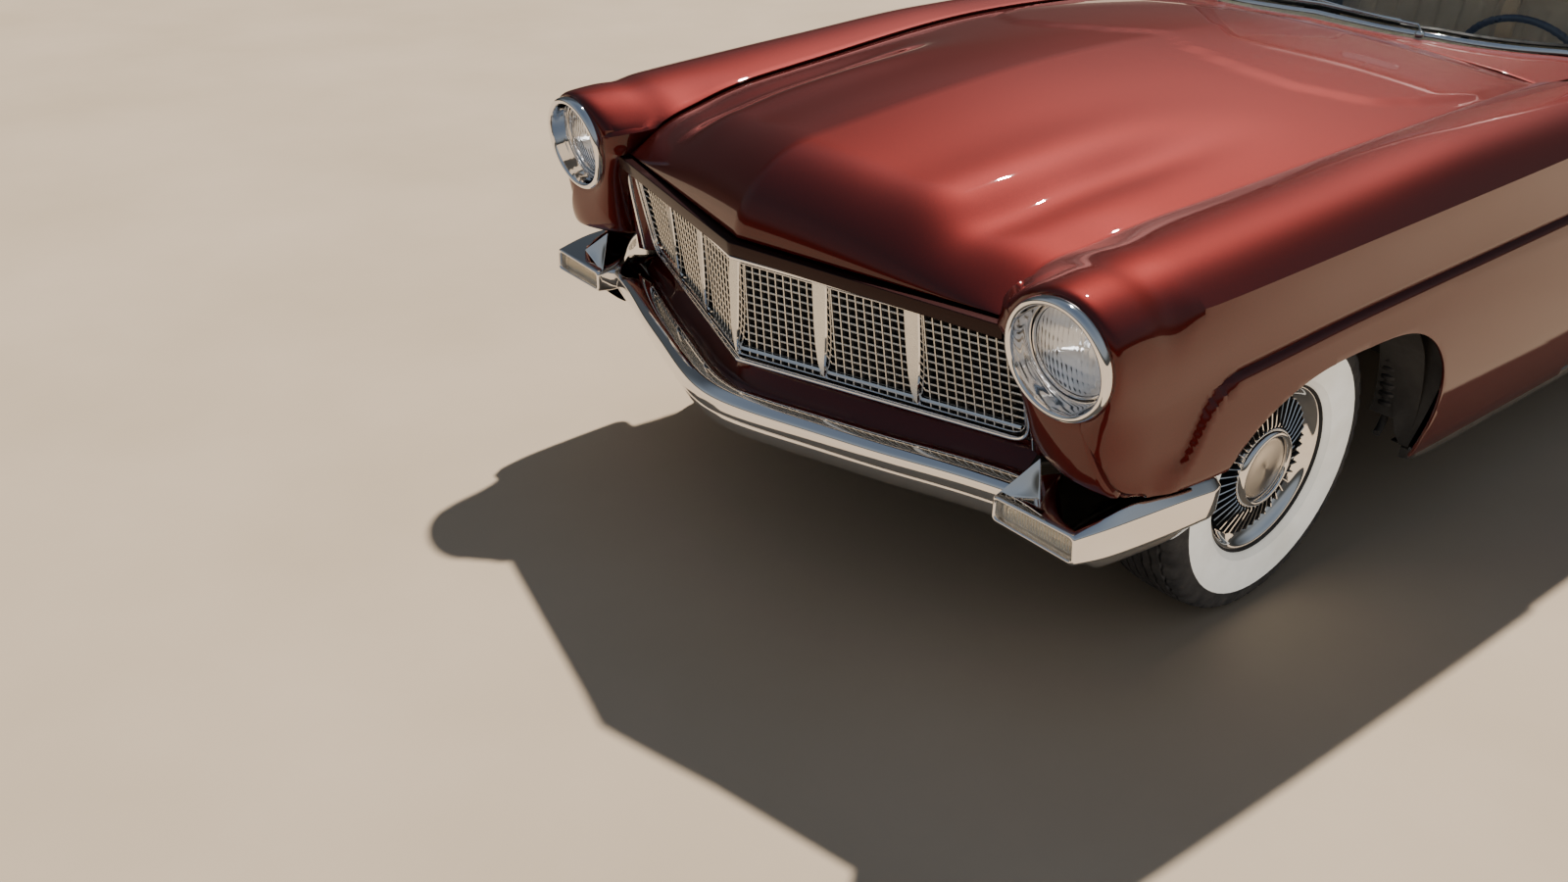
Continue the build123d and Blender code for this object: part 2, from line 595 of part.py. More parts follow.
CROSS = [
    # y0    y1    z0   z1   half width
    (-590, -540, 335, 405, 345), (700, 780, 264, 326, 345), (1700, 1770, 268, 335, 345), (2380, 2460, 268, 335, 345),
    (3560, 3610, 440, 505, 345), (4300, 4370, 335, 405, 345),
]
OUTRIGGER = [
    # y0   y1   z0   z1   outer x
    (1150, 1230, 270, 366, 734), (2360, 2440, 270, 366, 734), (2700, 2730, 370, 420, 560), (3760, 3790, 372, 412, 560),
]
PAD = (1400, 1500, 252, 350, 430)           # jacking pad: y0, y1, underside, x0, x1


def chassis():
    """Two kicked-up side rails with their pads, and the members between and outside them."""
    out = []
    for sg in (-1, 1):
        a, b = sorted((sg * 345, sg * 435))
        c, d = sorted((sg * PAD[3], sg * PAD[4]))
        out.append(one(prism_x(RAIL, a, b) + block(c, d, PAD[0], PAD[1], PAD[2], 270)))
        for y0, y1, z0, z1, x in OUTRIGGER:
            c, d = sorted((sg * 435, sg * x))
            out.append(block(c, d, y0, y1, z0, z1))
    for y0, y1, z0, z1, x in CROSS:
        out.append(block(-x, x, y0, y1, z0, z1))
    return out


def rear_axle():
    y = WHEELBASE
    s = Solid.make_cylinder(42, 1412, Plane(origin=(-706, y, TYRE_R), z_dir=(1, 0, 0)))
    s = s + Solid.make_cylinder(118, 220, Plane(origin=(-110, y, TYRE_R), z_dir=(1, 0, 0)))
    s = s + rod((0, y, TYRE_R), (0, 3040, 372), 60)
    for sg in (-1, 1):
        s = s + turned(DRUM, sg * TRACK_R / 2, y, TYRE_R, sg)
        a, b = sorted((sg * 500, sg * 558))
        s = s + prism_x([(2722, 369), (2715, 345), (2950, 300), (3450, 300), (3768, 345), (3770, 371), (3450, 326), (2950, 326)], a, b)
    return one(s)


def engine():
    v = prism_y([(-150, 312), (150, 312), (150, 450), (300, 620), (250, 760), (-250, 760), (-300, 620), (-150, 450)], -350, 480)
    box = prism_y([(-105, 330), (105, 330), (112, 470), (70, 515), (-70, 515), (-112, 470)], 480, 1250)
    bell = prism_y([(-200, 312), (200, 312), (220, 500), (120, 600), (-120, 600), (-220, 500)], 480, 640)
    cleaner = Solid.make_cylinder(190, 130, Plane(origin=(0, 60, 760), z_dir=(0, 0, 1)))
    return one(v + box + bell + cleaner)


def floor():
    main = prism_y([(-734, 371), (-170, 371), (-130, 540), (130, 540), (170, 371), (734, 371), (734, 386), (182, 386), (142, 555),
                    (-142, 555), (-182, 386), (-734, 386)], 960, 2468)
    riser = block(-628, 628, 2456, 2468, 371, 560)
    riser = riser - prism_y([(-170, 371), (-130, 540), (130, 540), (170, 371)], 2400, 2600)
    upper = block(-628, 628, 2456, 4420, 545, 560)
    return one(main + riser + upper)


def exhausts():
    out = []
    for sg in (-1, 1):
        x = sg * 262
        p = rod((x, 500, 232), (x, 4560, 232), 25)
        m = Solid.make_box(190, 560, 88).moved(Location((x - 95, 1880, 172)))
        out.append(one(p + m))
    return out


# ---------------------------------------------------------------- cabin
WHEEL_C = (370.0, 1790.0, 850.0)
COLUMN = (0.0, 0.911, 0.4125)


def column_point(t):
    return tuple(c + t * a for c, a in zip(WHEEL_C, COLUMN))


def steering_wheel():
    w = Solid.make_cylinder(36, 60, Plane(origin=(0, 0, -52)))
    for a in (0, 180, 270):
        w = w + Solid.make_box(198, 20, 10).moved(Location((0, -10, -5))).moved(Location((0, 0, 0), (0, 0, a)))
    w = w + Solid.make_torus(205, 12)
    pl = Plane(origin=WHEEL_C, x_dir=(1, 0, 0), z_dir=COLUMN)
    return one(w).moved(pl.location)


def dashboard():
    d = prism_x([(1360, 812), (1560, 786), (1585, 846), (1575, 950), (1540, 985), (1360, 985)], -660, 660)
    shelf = [(x, y) for x, y in outline(1000, -42)[:4]]
    plan = [(x, y) for x, y in shelf if y < 1530] + [(600, 1500)]
    plan = plan + [(-x, y) for x, y in plan[::-1] if x > 0]
    top = prism_z(plan, 966, 990)
    trim = prism_z([(x, y) for x, y in [(0, 1100), (560, 1400), (700, 1700), (-700, 1700), (-560, 1400)]], 700, 1000)
    return one((d & trim) + (top & block(-800, 800, 1160, 1560, 900, 1000)))


def seat(x, y0, y1, z0, z1, yb, zt, lean):
    """Bench cushion and its back as one soft block."""
    cushion = block(-x, x, y0, y1, z0, z1)
    back = prism_x([(yb, z0 + 40), (yb + 130, z0 + 40), (yb + 130 + lean, zt), (yb + 50 + lean, zt)], -x, x)
    tunnel = prism_y([(-190, 380), (-150, 562), (150, 562), (190, 380)], 1800, 2470)
    return one(cushion + back - tunnel)


# ---------------------------------------------------------------- all pieces
ff = front_fender()
put("front_fender_left", ff)
put("front_fender_right", flip(ff))
put("hood", hood())
dr = door()
put("door_left", dr)
put("door_right", flip(dr))
qp = quarter()
put("quarter_panel_left", qp)
put("quarter_panel_right", flip(qp))
put("luggage_lid", lid())
put("roof", roof())
put("windshield", screen_pane(SCREEN, [0, 1, 2, 3], 1000, 1800))
put("rear_window", screen_pane(BACKLIGHT, [9, 8, 7, 6], 2800, 3600))
dg = door_glass()
put("door_glass_left", dg)
put("door_glass_right", flip(dg))
qg = quarter_glass()
put("quarter_glass", qg, flip(qg))
put("cowl", cowl())
put("deck_panel", deck())
put("tail_panel", tail_panel())
put("floor_pan", floor())
sill = one(prism_y([(800, 245), (926, 245), (934, 262), (934, 294), (800, 294)], 446, 2740)
           + block(735, 801, 1126, 2542, 285, 386))
put("rockers", sill, flip(sill))
shelf_z = [(-560, 856), (1000, 948)]
apron = skinned([[(440, y, 405), (452, y, 405), (452, y, z), (side(y)["s"][0] + 8, y, z + 2), (side(y)["s"][0] + 8, y, z + 12), (440, y, z + 10)] for y, z in shelf_z])
apron = one(apron - block(400, 500, -100, 100, 380, 520))
well = prism_y([(630, 562), (640, 562), (640, 770), (935, 770), (935, 780), (630, 780)], 2780, 3620)
put("wheelhouses", apron, flip(apron), well, flip(well))
post_f = block(740, 905, 1060, 1122, 300, 950)
post_r = block(700, 905, 2546, 2610, 300, 950)
put("door_posts", post_f, flip(post_f), post_r, flip(post_r))
put("frame_rails", *chassis())
put("front_suspension", *arms())
put("engine", engine())
put("radiator", block(-320, 320, -530, -470, 420, 860))
put("driveshaft", rod((0, 1256, 428), (0, 3030, 373), 36))
put("rear_axle", rear_axle())
put("exhaust", *exhausts())
put("fuel_tank", block(-325, 325, 3700, 4230, 415, 540))
put("front_bumper", front_bumper())
put("front_valance", v_slab((-650, 0, 650), 14, 26, 502, 544))
plate = block(-166, 166, PLATE_Y, 4700, 412, 600)
for sg in (-1, 1):
    plate = plate + rod((sg * PLATE_PITCH / 2, PLATE_Y - 24, PLATE_Z), (sg * PLATE_PITCH / 2, PLATE_Y + 5, PLATE_Z), PLATE_HOLE_R)
put("rear_bumper", one(bumper(REAR_BAR, -1) - plate))
put("grille_frame", grille_frame())
put("grille", grille())
put("nose_panel", v_slab((-636, 0, 636), 2, 60, 799, 811))
lamp = Solid.make_cone(91, 70, 38, Plane(origin=(LAMP[0], -730, LAMP[2]), z_dir=(0, 1, 0)))
put("headlamps", lamp, flip(lamp))
pk = block(740, 898, -748, -728.5, 469, 505)
put("parking_lamps", pk, flip(pk))
tl = block(790, 862, 4536, 4566, 640, 870)
put("tail_lamps", tl, flip(tl))
for name, sg in (("left", 1), ("right", -1)):
    put("front_knuckle_" + name, knuckle(sg))
    for end, track, y in (("front", TRACK_F, 0.0), ("rear", TRACK_R, WHEELBASE)):
        w, t = wheel_pair(sg, track, y)
        put(end + "_wheel_" + name, w)
        put(end + "_tyre_" + name, t)
put("steering_wheel", steering_wheel())
put("steering_column", rod(column_point(-700), column_point(-56), 24))
put("dashboard", dashboard())
put("front_seat", seat(610, 1915, 2360, 470, 660, 2305, 1030, 60))
put("rear_seat", seat(600, 2640, 3100, 565, 700, 3040, 1000, 70))

os.makedirs("parts", exist_ok=True)
for name, shape in parts.items():
    export_step(shape, "parts/" + name + ".step")
    print(name, round(shape.volume / 1e6, 2), "litres", len(shape.solids()), "solids", shape.is_valid)
total = Compound(children=[s for sh in parts.values() for s in sh.solids()])
bb = total.bounding_box()
print("box", [round(v, 1) for v in (bb.min.X, bb.max.X, bb.min.Y, bb.max.Y, bb.min.Z, bb.max.Z)])
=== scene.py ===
import bpy, bmesh, json, math
import numpy as np
from mathutils import Vector, Matrix
from mathutils.bvhtree import BVHTree

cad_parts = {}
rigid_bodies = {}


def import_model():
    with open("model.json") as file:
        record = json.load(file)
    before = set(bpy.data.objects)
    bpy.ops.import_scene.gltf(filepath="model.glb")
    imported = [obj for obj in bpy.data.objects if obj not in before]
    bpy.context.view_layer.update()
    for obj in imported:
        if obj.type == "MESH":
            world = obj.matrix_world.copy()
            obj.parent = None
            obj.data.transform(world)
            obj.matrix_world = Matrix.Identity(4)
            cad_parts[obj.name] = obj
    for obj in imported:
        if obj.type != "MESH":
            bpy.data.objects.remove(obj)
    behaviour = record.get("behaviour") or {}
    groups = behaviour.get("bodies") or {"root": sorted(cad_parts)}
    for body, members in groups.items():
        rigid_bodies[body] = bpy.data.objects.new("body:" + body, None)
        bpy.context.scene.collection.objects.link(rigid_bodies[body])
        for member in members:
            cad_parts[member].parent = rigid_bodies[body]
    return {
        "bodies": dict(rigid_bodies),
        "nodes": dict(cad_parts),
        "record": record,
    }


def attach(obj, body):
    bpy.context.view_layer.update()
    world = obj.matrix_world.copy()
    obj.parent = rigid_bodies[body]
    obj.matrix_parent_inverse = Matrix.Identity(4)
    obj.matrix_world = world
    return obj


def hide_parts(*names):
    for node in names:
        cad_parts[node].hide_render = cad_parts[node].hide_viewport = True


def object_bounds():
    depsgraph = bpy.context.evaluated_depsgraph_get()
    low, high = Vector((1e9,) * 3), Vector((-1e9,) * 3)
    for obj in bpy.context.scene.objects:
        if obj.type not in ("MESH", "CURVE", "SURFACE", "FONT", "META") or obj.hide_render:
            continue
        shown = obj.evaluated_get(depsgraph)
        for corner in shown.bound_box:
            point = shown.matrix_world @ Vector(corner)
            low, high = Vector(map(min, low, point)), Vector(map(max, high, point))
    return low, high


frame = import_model()
CAD_BOX = [list(v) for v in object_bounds()]

# Millimetres, stations from the front axle, as in the part's source; W() brings points to the row frame.
AXLE_Y = -1840.0
PI = math.pi


def W(p):
    q = np.array(p, float)
    q[..., 1] += AXLE_Y
    return q / 1000.0


# ================================================================ curves
def spline(ts, vals):
    """Natural cubic spline through rows vals at ts."""
    t = np.array(ts, float)
    v = np.array(vals, float)
    n = len(t)
    h = np.diff(t)
    a = np.zeros((n, n))
    r = np.zeros((n,) + v.shape[1:])
    a[0, 0] = a[-1, -1] = 1.0
    for i in range(1, n - 1):
        a[i, i - 1], a[i, i], a[i, i + 1] = h[i - 1], 2 * (h[i - 1] + h[i]), h[i]
        r[i] = 6 * ((v[i + 1] - v[i]) / h[i] - (v[i] - v[i - 1]) / h[i - 1])
    m = np.linalg.solve(a, r)

    def f(x):
        x = np.atleast_1d(np.array(x, float))
        i = np.clip(np.searchsorted(t, x) - 1, 0, n - 2)
        dt = x - t[i]
        hh = h[i]
        sh = (-1,) + (1,) * (v.ndim - 1)
        dt, hh = dt.reshape(sh), hh.reshape(sh)
        b = (v[i + 1] - v[i]) / hh - hh * (2 * m[i] + m[i + 1]) / 6
        return v[i] + b * dt + m[i] / 2 * dt ** 2 + (m[i + 1] - m[i]) / (6 * hh) * dt ** 3
    return f


def through(points, n):
    """n points on a smooth curve through the given points, evenly spaced by chord."""
    p = np.array(points, float)
    d = np.r_[0, np.cumsum(np.linalg.norm(np.diff(p, axis=0), axis=1))]
    return spline(d, p)(np.linspace(0, d[-1], n))


def resample(points, n, closed=False):
    p = np.array(points, float)
    if closed:
        p = np.vstack([p, p[:1]])
    d = np.r_[0, np.cumsum(np.linalg.norm(np.diff(p, axis=0), axis=1))]
    u = np.linspace(0, d[-1], n + 1 if closed else n)
    if closed:
        u = u[:-1]
    return np.stack([np.interp(u, d, p[:, k]) for k in range(p.shape[1])], 1)


def smoothstep(x, a, b):
    t = np.clip((x - a) / (b - a), 0, 1)
    return t * t * (3 - 2 * t)


def unit(v):
    return v / np.maximum(np.linalg.norm(v, axis=-1, keepdims=True), 1e-9)


# ================================================================ meshes
class Mesh:
    """Collects quads and makes one object."""

    def __init__(self):
        self.v, self.f, self.m, self.n = [], [], [], 0

    def add(self, verts, faces, mat=0):
        verts = np.array(verts, float).reshape(-1, 3)
        self.v.append(verts)
        self.f += [tuple(int(i) + self.n for i in f) for f in faces]
        self.m += [mat] * len(faces)
        self.n += len(verts)

    def grid(self, p, close_u=False, close_v=False, mat=0, flip=False):
        p = np.array(p, float)
        n, m = p.shape[:2]
        idx = np.arange(n * m).reshape(n, m)
        if close_u:
            idx = np.vstack([idx, idx[:1]])
        if close_v:
            idx = np.hstack([idx, idx[:, :1]])
        q = np.stack([idx[:-1, :-1], idx[1:, :-1], idx[1:, 1:], idx[:-1, 1:]], -1).reshape(-1, 4)
        if flip:
            q = q[:, ::-1]
        self.add(p.reshape(-1, 3), q.tolist(), mat)

    def lathe(self, prof, c, axis=(1, 0, 0), n=96, mat=0, up=(0, 0, 1)):
        """prof rows (along axis, radius) turned about the line through c."""
        ax = unit(np.array(axis, float))
        u = unit(np.array(up, float) - ax * np.dot(up, ax))
        w = np.cross(ax, u)
        a = np.linspace(0, 2 * PI, n, endpoint=False)
        prof = np.array(prof, float)
        ring = np.cos(a)[:, None] * u + np.sin(a)[:, None] * w
        p = np.array(c, float) + prof[None, :, 0, None] * ax + prof[None, :, 1, None] * ring[:, None, :]
        self.grid(p, close_u=True, mat=mat)

    def tube(self, path, r, n=12, closed=False, mat=0, cap=True, squash=None):
        """Round section swept along a path; r may be a list."""
        p = np.array(path, float)
        k = len(p)
        r = np.full(k, float(r)) if np.isscalar(r) else np.array(r, float)
        t = np.gradient(p, axis=0) if not closed else (np.roll(p, -1, 0) - np.roll(p, 1, 0))
        t = unit(t)
        ref = np.array([0, 0, 1.0]) if abs(t[:, 2]).mean() < 0.9 else np.array([1.0, 0, 0])
        u = unit(ref - t * (t @ ref)[:, None])
        w = np.cross(t, u)
        a = np.linspace(0, 2 * PI, n, endpoint=False)
        su, sw = squash or (1.0, 1.0)
        q = p[:, None] + r[:, None, None] * (su * np.cos(a)[None, :, None] * u[:, None] + sw * np.sin(a)[None, :, None] * w[:, None])
        self.grid(q, close_u=closed, close_v=True, mat=mat, flip=True)
        if cap and not closed:
            for i, fl in ((0, False), (-1, True)):
                self.add(q[i], [list(range(n))[::-1] if fl else list(range(n))], mat)

    def sweep(self, path, section, up=(0, 0, 1), closed=True, mat=0, loop=False, cap=True):
        """Section rows (side, up) carried along a path, side is to the right of travel in plan."""
        p = np.array(path, float)
        t = unit(np.gradient(p, axis=0)) if not loop else unit(np.roll(p, -1, 0) - np.roll(p, 1, 0))
        upv = np.array(up, float)
        s = unit(np.cross(t, upv))
        w = np.cross(s, t)
        sec = np.array(section, float)
        if sec.ndim == 2:
            sec = np.repeat(sec[None], len(p), 0)
        q = p[:, None] + sec[:, :, 0, None] * s[:, None] + sec[:, :, 1, None] * w[:, None]
        self.grid(q, close_u=loop, close_v=closed, mat=mat)
        if cap and closed and not loop:
            n = q.shape[1]
            self.add(q[0], [list(range(n))[::-1]], mat)
            self.add(q[-1], [list(range(n))], mat)

    def ribbon(self, path, out, section, loop=False, mat=0, closed=True):
        """Section rows (side, out) carried along a path, each point with its own outward direction."""
        p = np.array(path, float)
        o = np.array(out, float)
        o = unit(np.broadcast_to(o, p.shape))
        t = unit(np.gradient(p, axis=0)) if not loop else unit(np.roll(p, -1, 0) - np.roll(p, 1, 0))
        s = unit(np.cross(t, o))
        w = np.cross(s, t)
        sec = np.array(section, float)
        q = p[:, None] + sec[None, :, 0, None] * s[:, None] + sec[None, :, 1, None] * w[:, None]
        self.grid(q, close_u=loop, close_v=closed, mat=mat)
        if closed and not loop:
            n = q.shape[1]
            self.add(q[0], [list(range(n))[::-1]], mat)
            self.add(q[-1], [list(range(n))], mat)

    def box(self, x0, x1, y0, y1, z0, z1, mat=0, r=0.0):
        """A box with chamfered edges."""
        if r <= 0:
            v = [(x, y, z) for x in (x0, x1) for y in (y0, y1) for z in (z0, z1)]
            f = [(0, 1, 3, 2), (4, 6, 7, 5), (0, 4, 5, 1), (2, 3, 7, 6), (0, 2, 6, 4), (1, 5, 7, 3)]
            self.add(v, f, mat)
            return
        pts = []
        for z, i in ((z0, r), (z0 + r, 0), (z1 - r, 0), (z1, r)):
            a, b, c, d = x0 + i, x1 - i, y0 + i, y1 - i
            k = r if i == 0 else r * 0.6
            pts.append([(a + k, c, z), (b - k, c, z), (b, c + k, z), (b, d - k, z), (b - k, d, z), (a + k, d, z), (a, d - k, z), (a, c + k, z)])
        self.grid(np.array(pts), close_v=True, mat=mat, flip=True)
        self.add(pts[0], [list(range(8))[::-1]], mat)
        self.add(pts[-1], [list(range(8))], mat)

    def shell(self, p, t, r=2.2, centre=(0, 0, 500), mat=0, inner=None, weld=None):
        """A sheet of thickness t below the outer surface p, with rolled edges."""
        p = np.array(p, float)
        n, m = p.shape[:2]
        nn = unit(np.cross(np.gradient(p, axis=0), np.gradient(p, axis=1)))
        c = np.array(centre, float)
        c = c if c.ndim > 1 else np.broadcast_to(c, p.shape)
        flip = np.sum(nn * (p - c)) < 0
        if flip:
            nn = -nn
        loop = [(0, j) for j in range(m)] + [(i, m - 1) for i in range(1, n)] + [(n - 1, j) for j in range(m - 2, -1, -1)] + [(i, 0) for i in range(n - 2, 0, -1)]
        tv = []
        for i, j in loop:
            d = np.zeros(3)
            if i == 0:
                d += unit(p[0, j] - p[1, j])
            if i == n - 1:
                d += unit(p[-1, j] - p[-2, j])
            if j == 0:
                d += unit(p[i, 0] - p[i, 1])
            if j == m - 1:
                d += unit(p[i, -1] - p[i, -2])
            tv.append(d)
        tv = np.array(tv)
        ij = np.array(loop)
        b, nb = p[ij[:, 0], ij[:, 1]], nn[ij[:, 0], ij[:, 1]]
        top = p.copy()
        top[ij[:, 0], ij[:, 1]] = b - tv * r
        low = top - nn * t
        r1 = b - 0.29 * r * (tv + nb)
        r2 = b - nb * r
        r3 = b - nb * (t - 0.5)
        low_b = low[ij[:, 0], ij[:, 1]]
        base = self.n
        k = len(loop)
        verts = np.vstack([top.reshape(-1, 3), low.reshape(-1, 3), r1, r2, r3])
        idx = np.arange(n * m).reshape(n, m)
        q = np.stack([idx[:-1, :-1], idx[1:, :-1], idx[1:, 1:], idx[:-1, 1:]], -1).reshape(-1, 4)
        up, dn = (q[:, ::-1], q + n * m) if flip else (q, q[:, ::-1] + n * m)
        li = ij[:, 0] * m + ij[:, 1]
        rings = [li, 2 * n * m + np.arange(k), 2 * n * m + k + np.arange(k), 2 * n * m + 2 * k + np.arange(k), li + n * m]
        edge = []
        for a, bb in zip(rings[:-1], rings[1:]):
            for i in range(k):
                j = (i + 1) % k
                f = (a[i], a[j], bb[j], bb[i])
                edge.append(f if flip else f[::-1])
        self.add(verts, up.tolist() + edge, mat)
        self.f += [tuple(int(i) + base for i in f) for f in dn.tolist()]
        self.m += [mat if inner is None else inner] * len(dn)

    def make(self, name, mats, body="car_body", slot=None, replaces=(), angle=32, weld=0.0, mirror=False):
        v = np.vstack(self.v)
        f = self.f
        if mirror:
            v = v * np.array([-1, 1, 1])
            f = [g[::-1] for g in f]
        me = bpy.data.meshes.new(name)
        me.from_pydata(W(v).tolist(), [], f)
        o = bpy.data.objects.new(name, me)
        bpy.context.scene.collection.objects.link(o)
        for x in (mats if isinstance(mats, (list, tuple)) else [mats]):
            me.materials.append(x)
        me.polygons.foreach_set("material_index", self.m)
        if weld > 0:
            bm = bmesh.new()
            bm.from_mesh(me)
            bmesh.ops.remove_doubles(bm, verts=bm.verts, dist=weld / 1000)
            bm.to_mesh(me)
            bm.free()
        finish_mesh(o, angle)
        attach(o, body)
        if replaces:
            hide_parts(*replaces)
        return o


def finish_mesh(o, angle=32):
    me = o.data
    me.validate()
    me.polygons.foreach_set("use_smooth", [True] * len(me.polygons))
    me.set_sharp_from_angle(angle=math.radians(angle))
    me.update()


def cut(o, cutter_mesh, name="cutter"):
    """Takes a closed mesh out of an object and applies it."""
    me = bpy.data.meshes.new(name)
    me.from_pydata(W(np.vstack(cutter_mesh.v)).tolist(), [], cutter_mesh.f)
    c = bpy.data.objects.new(name, me)
    bpy.context.scene.collection.objects.link(c)
    bm = bmesh.new()
    bm.from_mesh(me)
    bmesh.ops.remove_doubles(bm, verts=bm.verts, dist=1e-6)
    bmesh.ops.recalc_face_normals(bm, faces=bm.faces)
    bm.to_mesh(me)
    bm.free()
    mod = o.modifiers.new("cut", "BOOLEAN")
    mod.operation, mod.solver, mod.object = "DIFFERENCE", "EXACT", c
    bpy.context.view_layer.update()
    dg = bpy.context.evaluated_depsgraph_get()
    new = bpy.data.meshes.new_from_object(o.evaluated_get(dg))
    o.modifiers.clear()
    old = o.data
    o.data = new
    bpy.data.meshes.remove(old)
    bpy.data.objects.remove(c)
    return o


def prism(outline, a, b, axis="x"):
    """Closed straight prism of an outline in the other two axes."""
    p = np.array(outline, float)
    n = len(p)
    def lift(w):
        if axis == "x":
            return np.c_[np.full(n, w), p]
        if axis == "y":
            return np.c_[p[:, 0], np.full(n, w), p[:, 1]]
        return np.c_[p, np.full(n, w)]
    m = Mesh()
    q = np.array([lift(a), lift(b)])
    m.grid(q, close_v=True)
    m.add(q[0], [list(range(n))[::-1]])
    m.add(q[1], [list(range(n))])
    return m


# ================================================================ materials
class Mat:
    """A node material with a few shorthands."""

    def __init__(self, name, color=(0.5, 0.5, 0.5), **sockets):
        self.m = bpy.data.materials.new(name)
        self.m.use_nodes = True
        self.t = self.m.node_tree
        self.b = self.t.nodes["Principled BSDF"]
        self.b.inputs["Base Color"].default_value = (*color, 1)
        for k, v in sockets.items():
            self.b.inputs[k.replace("_", " ")].default_value = v
        self.coord = self.t.nodes.new("ShaderNodeTexCoord")

    def node(self, kind, **kw):
        n = self.t.nodes.new("ShaderNode" + kind)
        for k, v in kw.items():
            if k in n.inputs.keys() or k.replace("_", " ") in n.inputs.keys():
                n.inputs[k if k in n.inputs.keys() else k.replace("_", " ")].default_value = v
            else:
                setattr(n, k, v)
        return n

    def link(self, a, b):
        self.t.links.new(a, b)

    def noise(self, scale, detail=4.0, rough=0.55, stretch=None):
        n = self.node("TexNoise", Scale=scale, Detail=detail, Roughness=rough)
        src = self.coord.outputs["Object"]
        if stretch:
            mp = self.node("Mapping")
            mp.inputs["Scale"].default_value = stretch
            self.link(src, mp.inputs["Vector"])
            src = mp.outputs["Vector"]
        self.link(src, n.inputs["Vector"])
        return n.outputs["Fac"]

    def ramp(self, fac, stops):
        r = self.node("ValToRGB")
        e = r.color_ramp.elements
        while len(e) < len(stops):
            e.new(0.5)
        for el, (p, c) in zip(e, stops):
            el.position = p
            el.color = (*c, 1) if not np.isscalar(c) else (c, c, c, 1)
        self.link(fac, r.inputs["Fac"])
        return r.outputs["Color"]

    def rough(self, fac, lo, hi, a=0.35, b=0.65):
        mr = self.node("MapRange")
        mr.inputs["From Min"].default_value, mr.inputs["From Max"].default_value = a, b
        mr.inputs["To Min"].default_value, mr.inputs["To Max"].default_value = lo, hi
        self.link(fac, mr.inputs["Value"])
        self.link(mr.outputs["Result"], self.b.inputs["Roughness"])
        return self

    def bump(self, fac, strength=0.3, dist=0.001):
        bp = self.node("Bump", Strength=strength, Distance=dist)
        self.link(fac, bp.inputs["Height"])
        self.link(bp.outputs["Normal"], self.b.inputs["Normal"])
        return self

    def color(self, out):
        self.link(out, self.b.inputs["Base Color"])
        return self


def paint_material(name, dark, light):
    k = Mat(name, light, Metallic=0.95, Roughness=0.55, Coat_Weight=0.9, Coat_Roughness=0.015, Coat_IOR=1.52)
    flake = k.node("TexVoronoi", Scale=900.0)
    k.link(k.coord.outputs["Object"], flake.inputs["Vector"])
    haze = k.noise(2.3, 3.0)
    mix = k.node("Mix", data_type="RGBA")
    grain = k.ramp(flake.outputs["Color"], [(0.0, dark), (0.55, tuple(0.5 * (a + b) for a, b in zip(dark, light))), (1.0, light)])
    wide = k.ramp(haze, [(0.3, tuple(0.92 * v for v in light)), (0.7, light)])
    mix.inputs["Factor"].default_value = 0.6
    k.link(grain, mix.inputs[6])
    k.link(wide, mix.inputs[7])
    k.link(mix.outputs[2], k.b.inputs["Base Color"])
    bp = k.node("Bump", Strength=0.10, Distance=0.0004)
    k.link(flake.outputs["Distance"], bp.inputs["Height"])
    k.link(bp.outputs["Normal"], k.b.inputs["Normal"])
    return k.m


PAINT = paint_material("maroon_lacquer", (0.026, 0.0006, 0.0002), (0.106, 0.0028, 0.0004))
# a darker copy of the lacquer with a thinner coat: painted shade and painted dark reflection for the strip under the
# hood
PAINT_PAINTED_SHADE = paint_material("maroon_lacquer_painted_shade", (0.006, 0.0003, 0.0002), (0.020, 0.0008, 0.0005))
PAINT_PAINTED_SHADE.node_tree.nodes["Principled BSDF"].inputs["Coat Weight"].default_value = 0.35
k = Mat("chrome_plate", (0.86, 0.86, 0.87), Metallic=1.0)
k.rough(k.noise(35, 5), 0.025, 0.07)
CHROME = k.m
k = Mat("brushed_bright", (0.70, 0.67, 0.63), Metallic=1.0, Anisotropic=0.85)
k.rough(k.noise(9, 2), 0.26, 0.32)
tg = k.node("Tangent", direction_type="RADIAL", axis="X")
k.link(tg.outputs["Tangent"], k.b.inputs["Tangent"])
BRUSHED = k.m
k = Mat("grille_bright", (0.74, 0.71, 0.65), Metallic=0.75)
k.rough(k.noise(60, 4), 0.22, 0.34)
GRILLE = k.m
k = Mat("cream_blade", (0.74, 0.70, 0.62), Metallic=0.55, Coat_Weight=0.6, Coat_Roughness=0.08)
k.rough(k.noise(50, 4), 0.22, 0.34)
BLADE = k.m
k = Mat("matt_black", (0.012, 0.012, 0.013), Specular_IOR_Level=0.35)
k.color(k.ramp(k.noise(14, 6), [(0.3, (0.008, 0.008, 0.009)), (0.75, (0.022, 0.021, 0.022))])).rough(k.noise(30, 5), 0.5, 0.75)
BLACK = k.m
k = Mat("tyre_black", (0.02, 0.02, 0.021), Specular_IOR_Level=0.4)
k.color(k.ramp(k.noise(22, 7), [(0.3, (0.014, 0.014, 0.015)), (0.7, (0.035, 0.033, 0.032))])).rough(k.noise(40, 6), 0.55, 0.8)
k.bump(k.noise(700, 3), 0.25, 0.0006)
RUBBER = k.m
k = Mat("white_sidewall", (0.82, 0.80, 0.74), Specular_IOR_Level=0.4)
k.color(k.ramp(k.noise(9, 7), [(0.25, (0.70, 0.68, 0.61)), (0.7, (0.86, 0.85, 0.80))])).rough(k.noise(60, 5), 0.42, 0.6)
k.bump(k.noise(500, 3), 0.12, 0.0005)
WHITE = k.m
k = Mat("window_glass", (0.93, 0.98, 0.965), Roughness=0.0, Transmission_Weight=1.0, IOR=1.45)
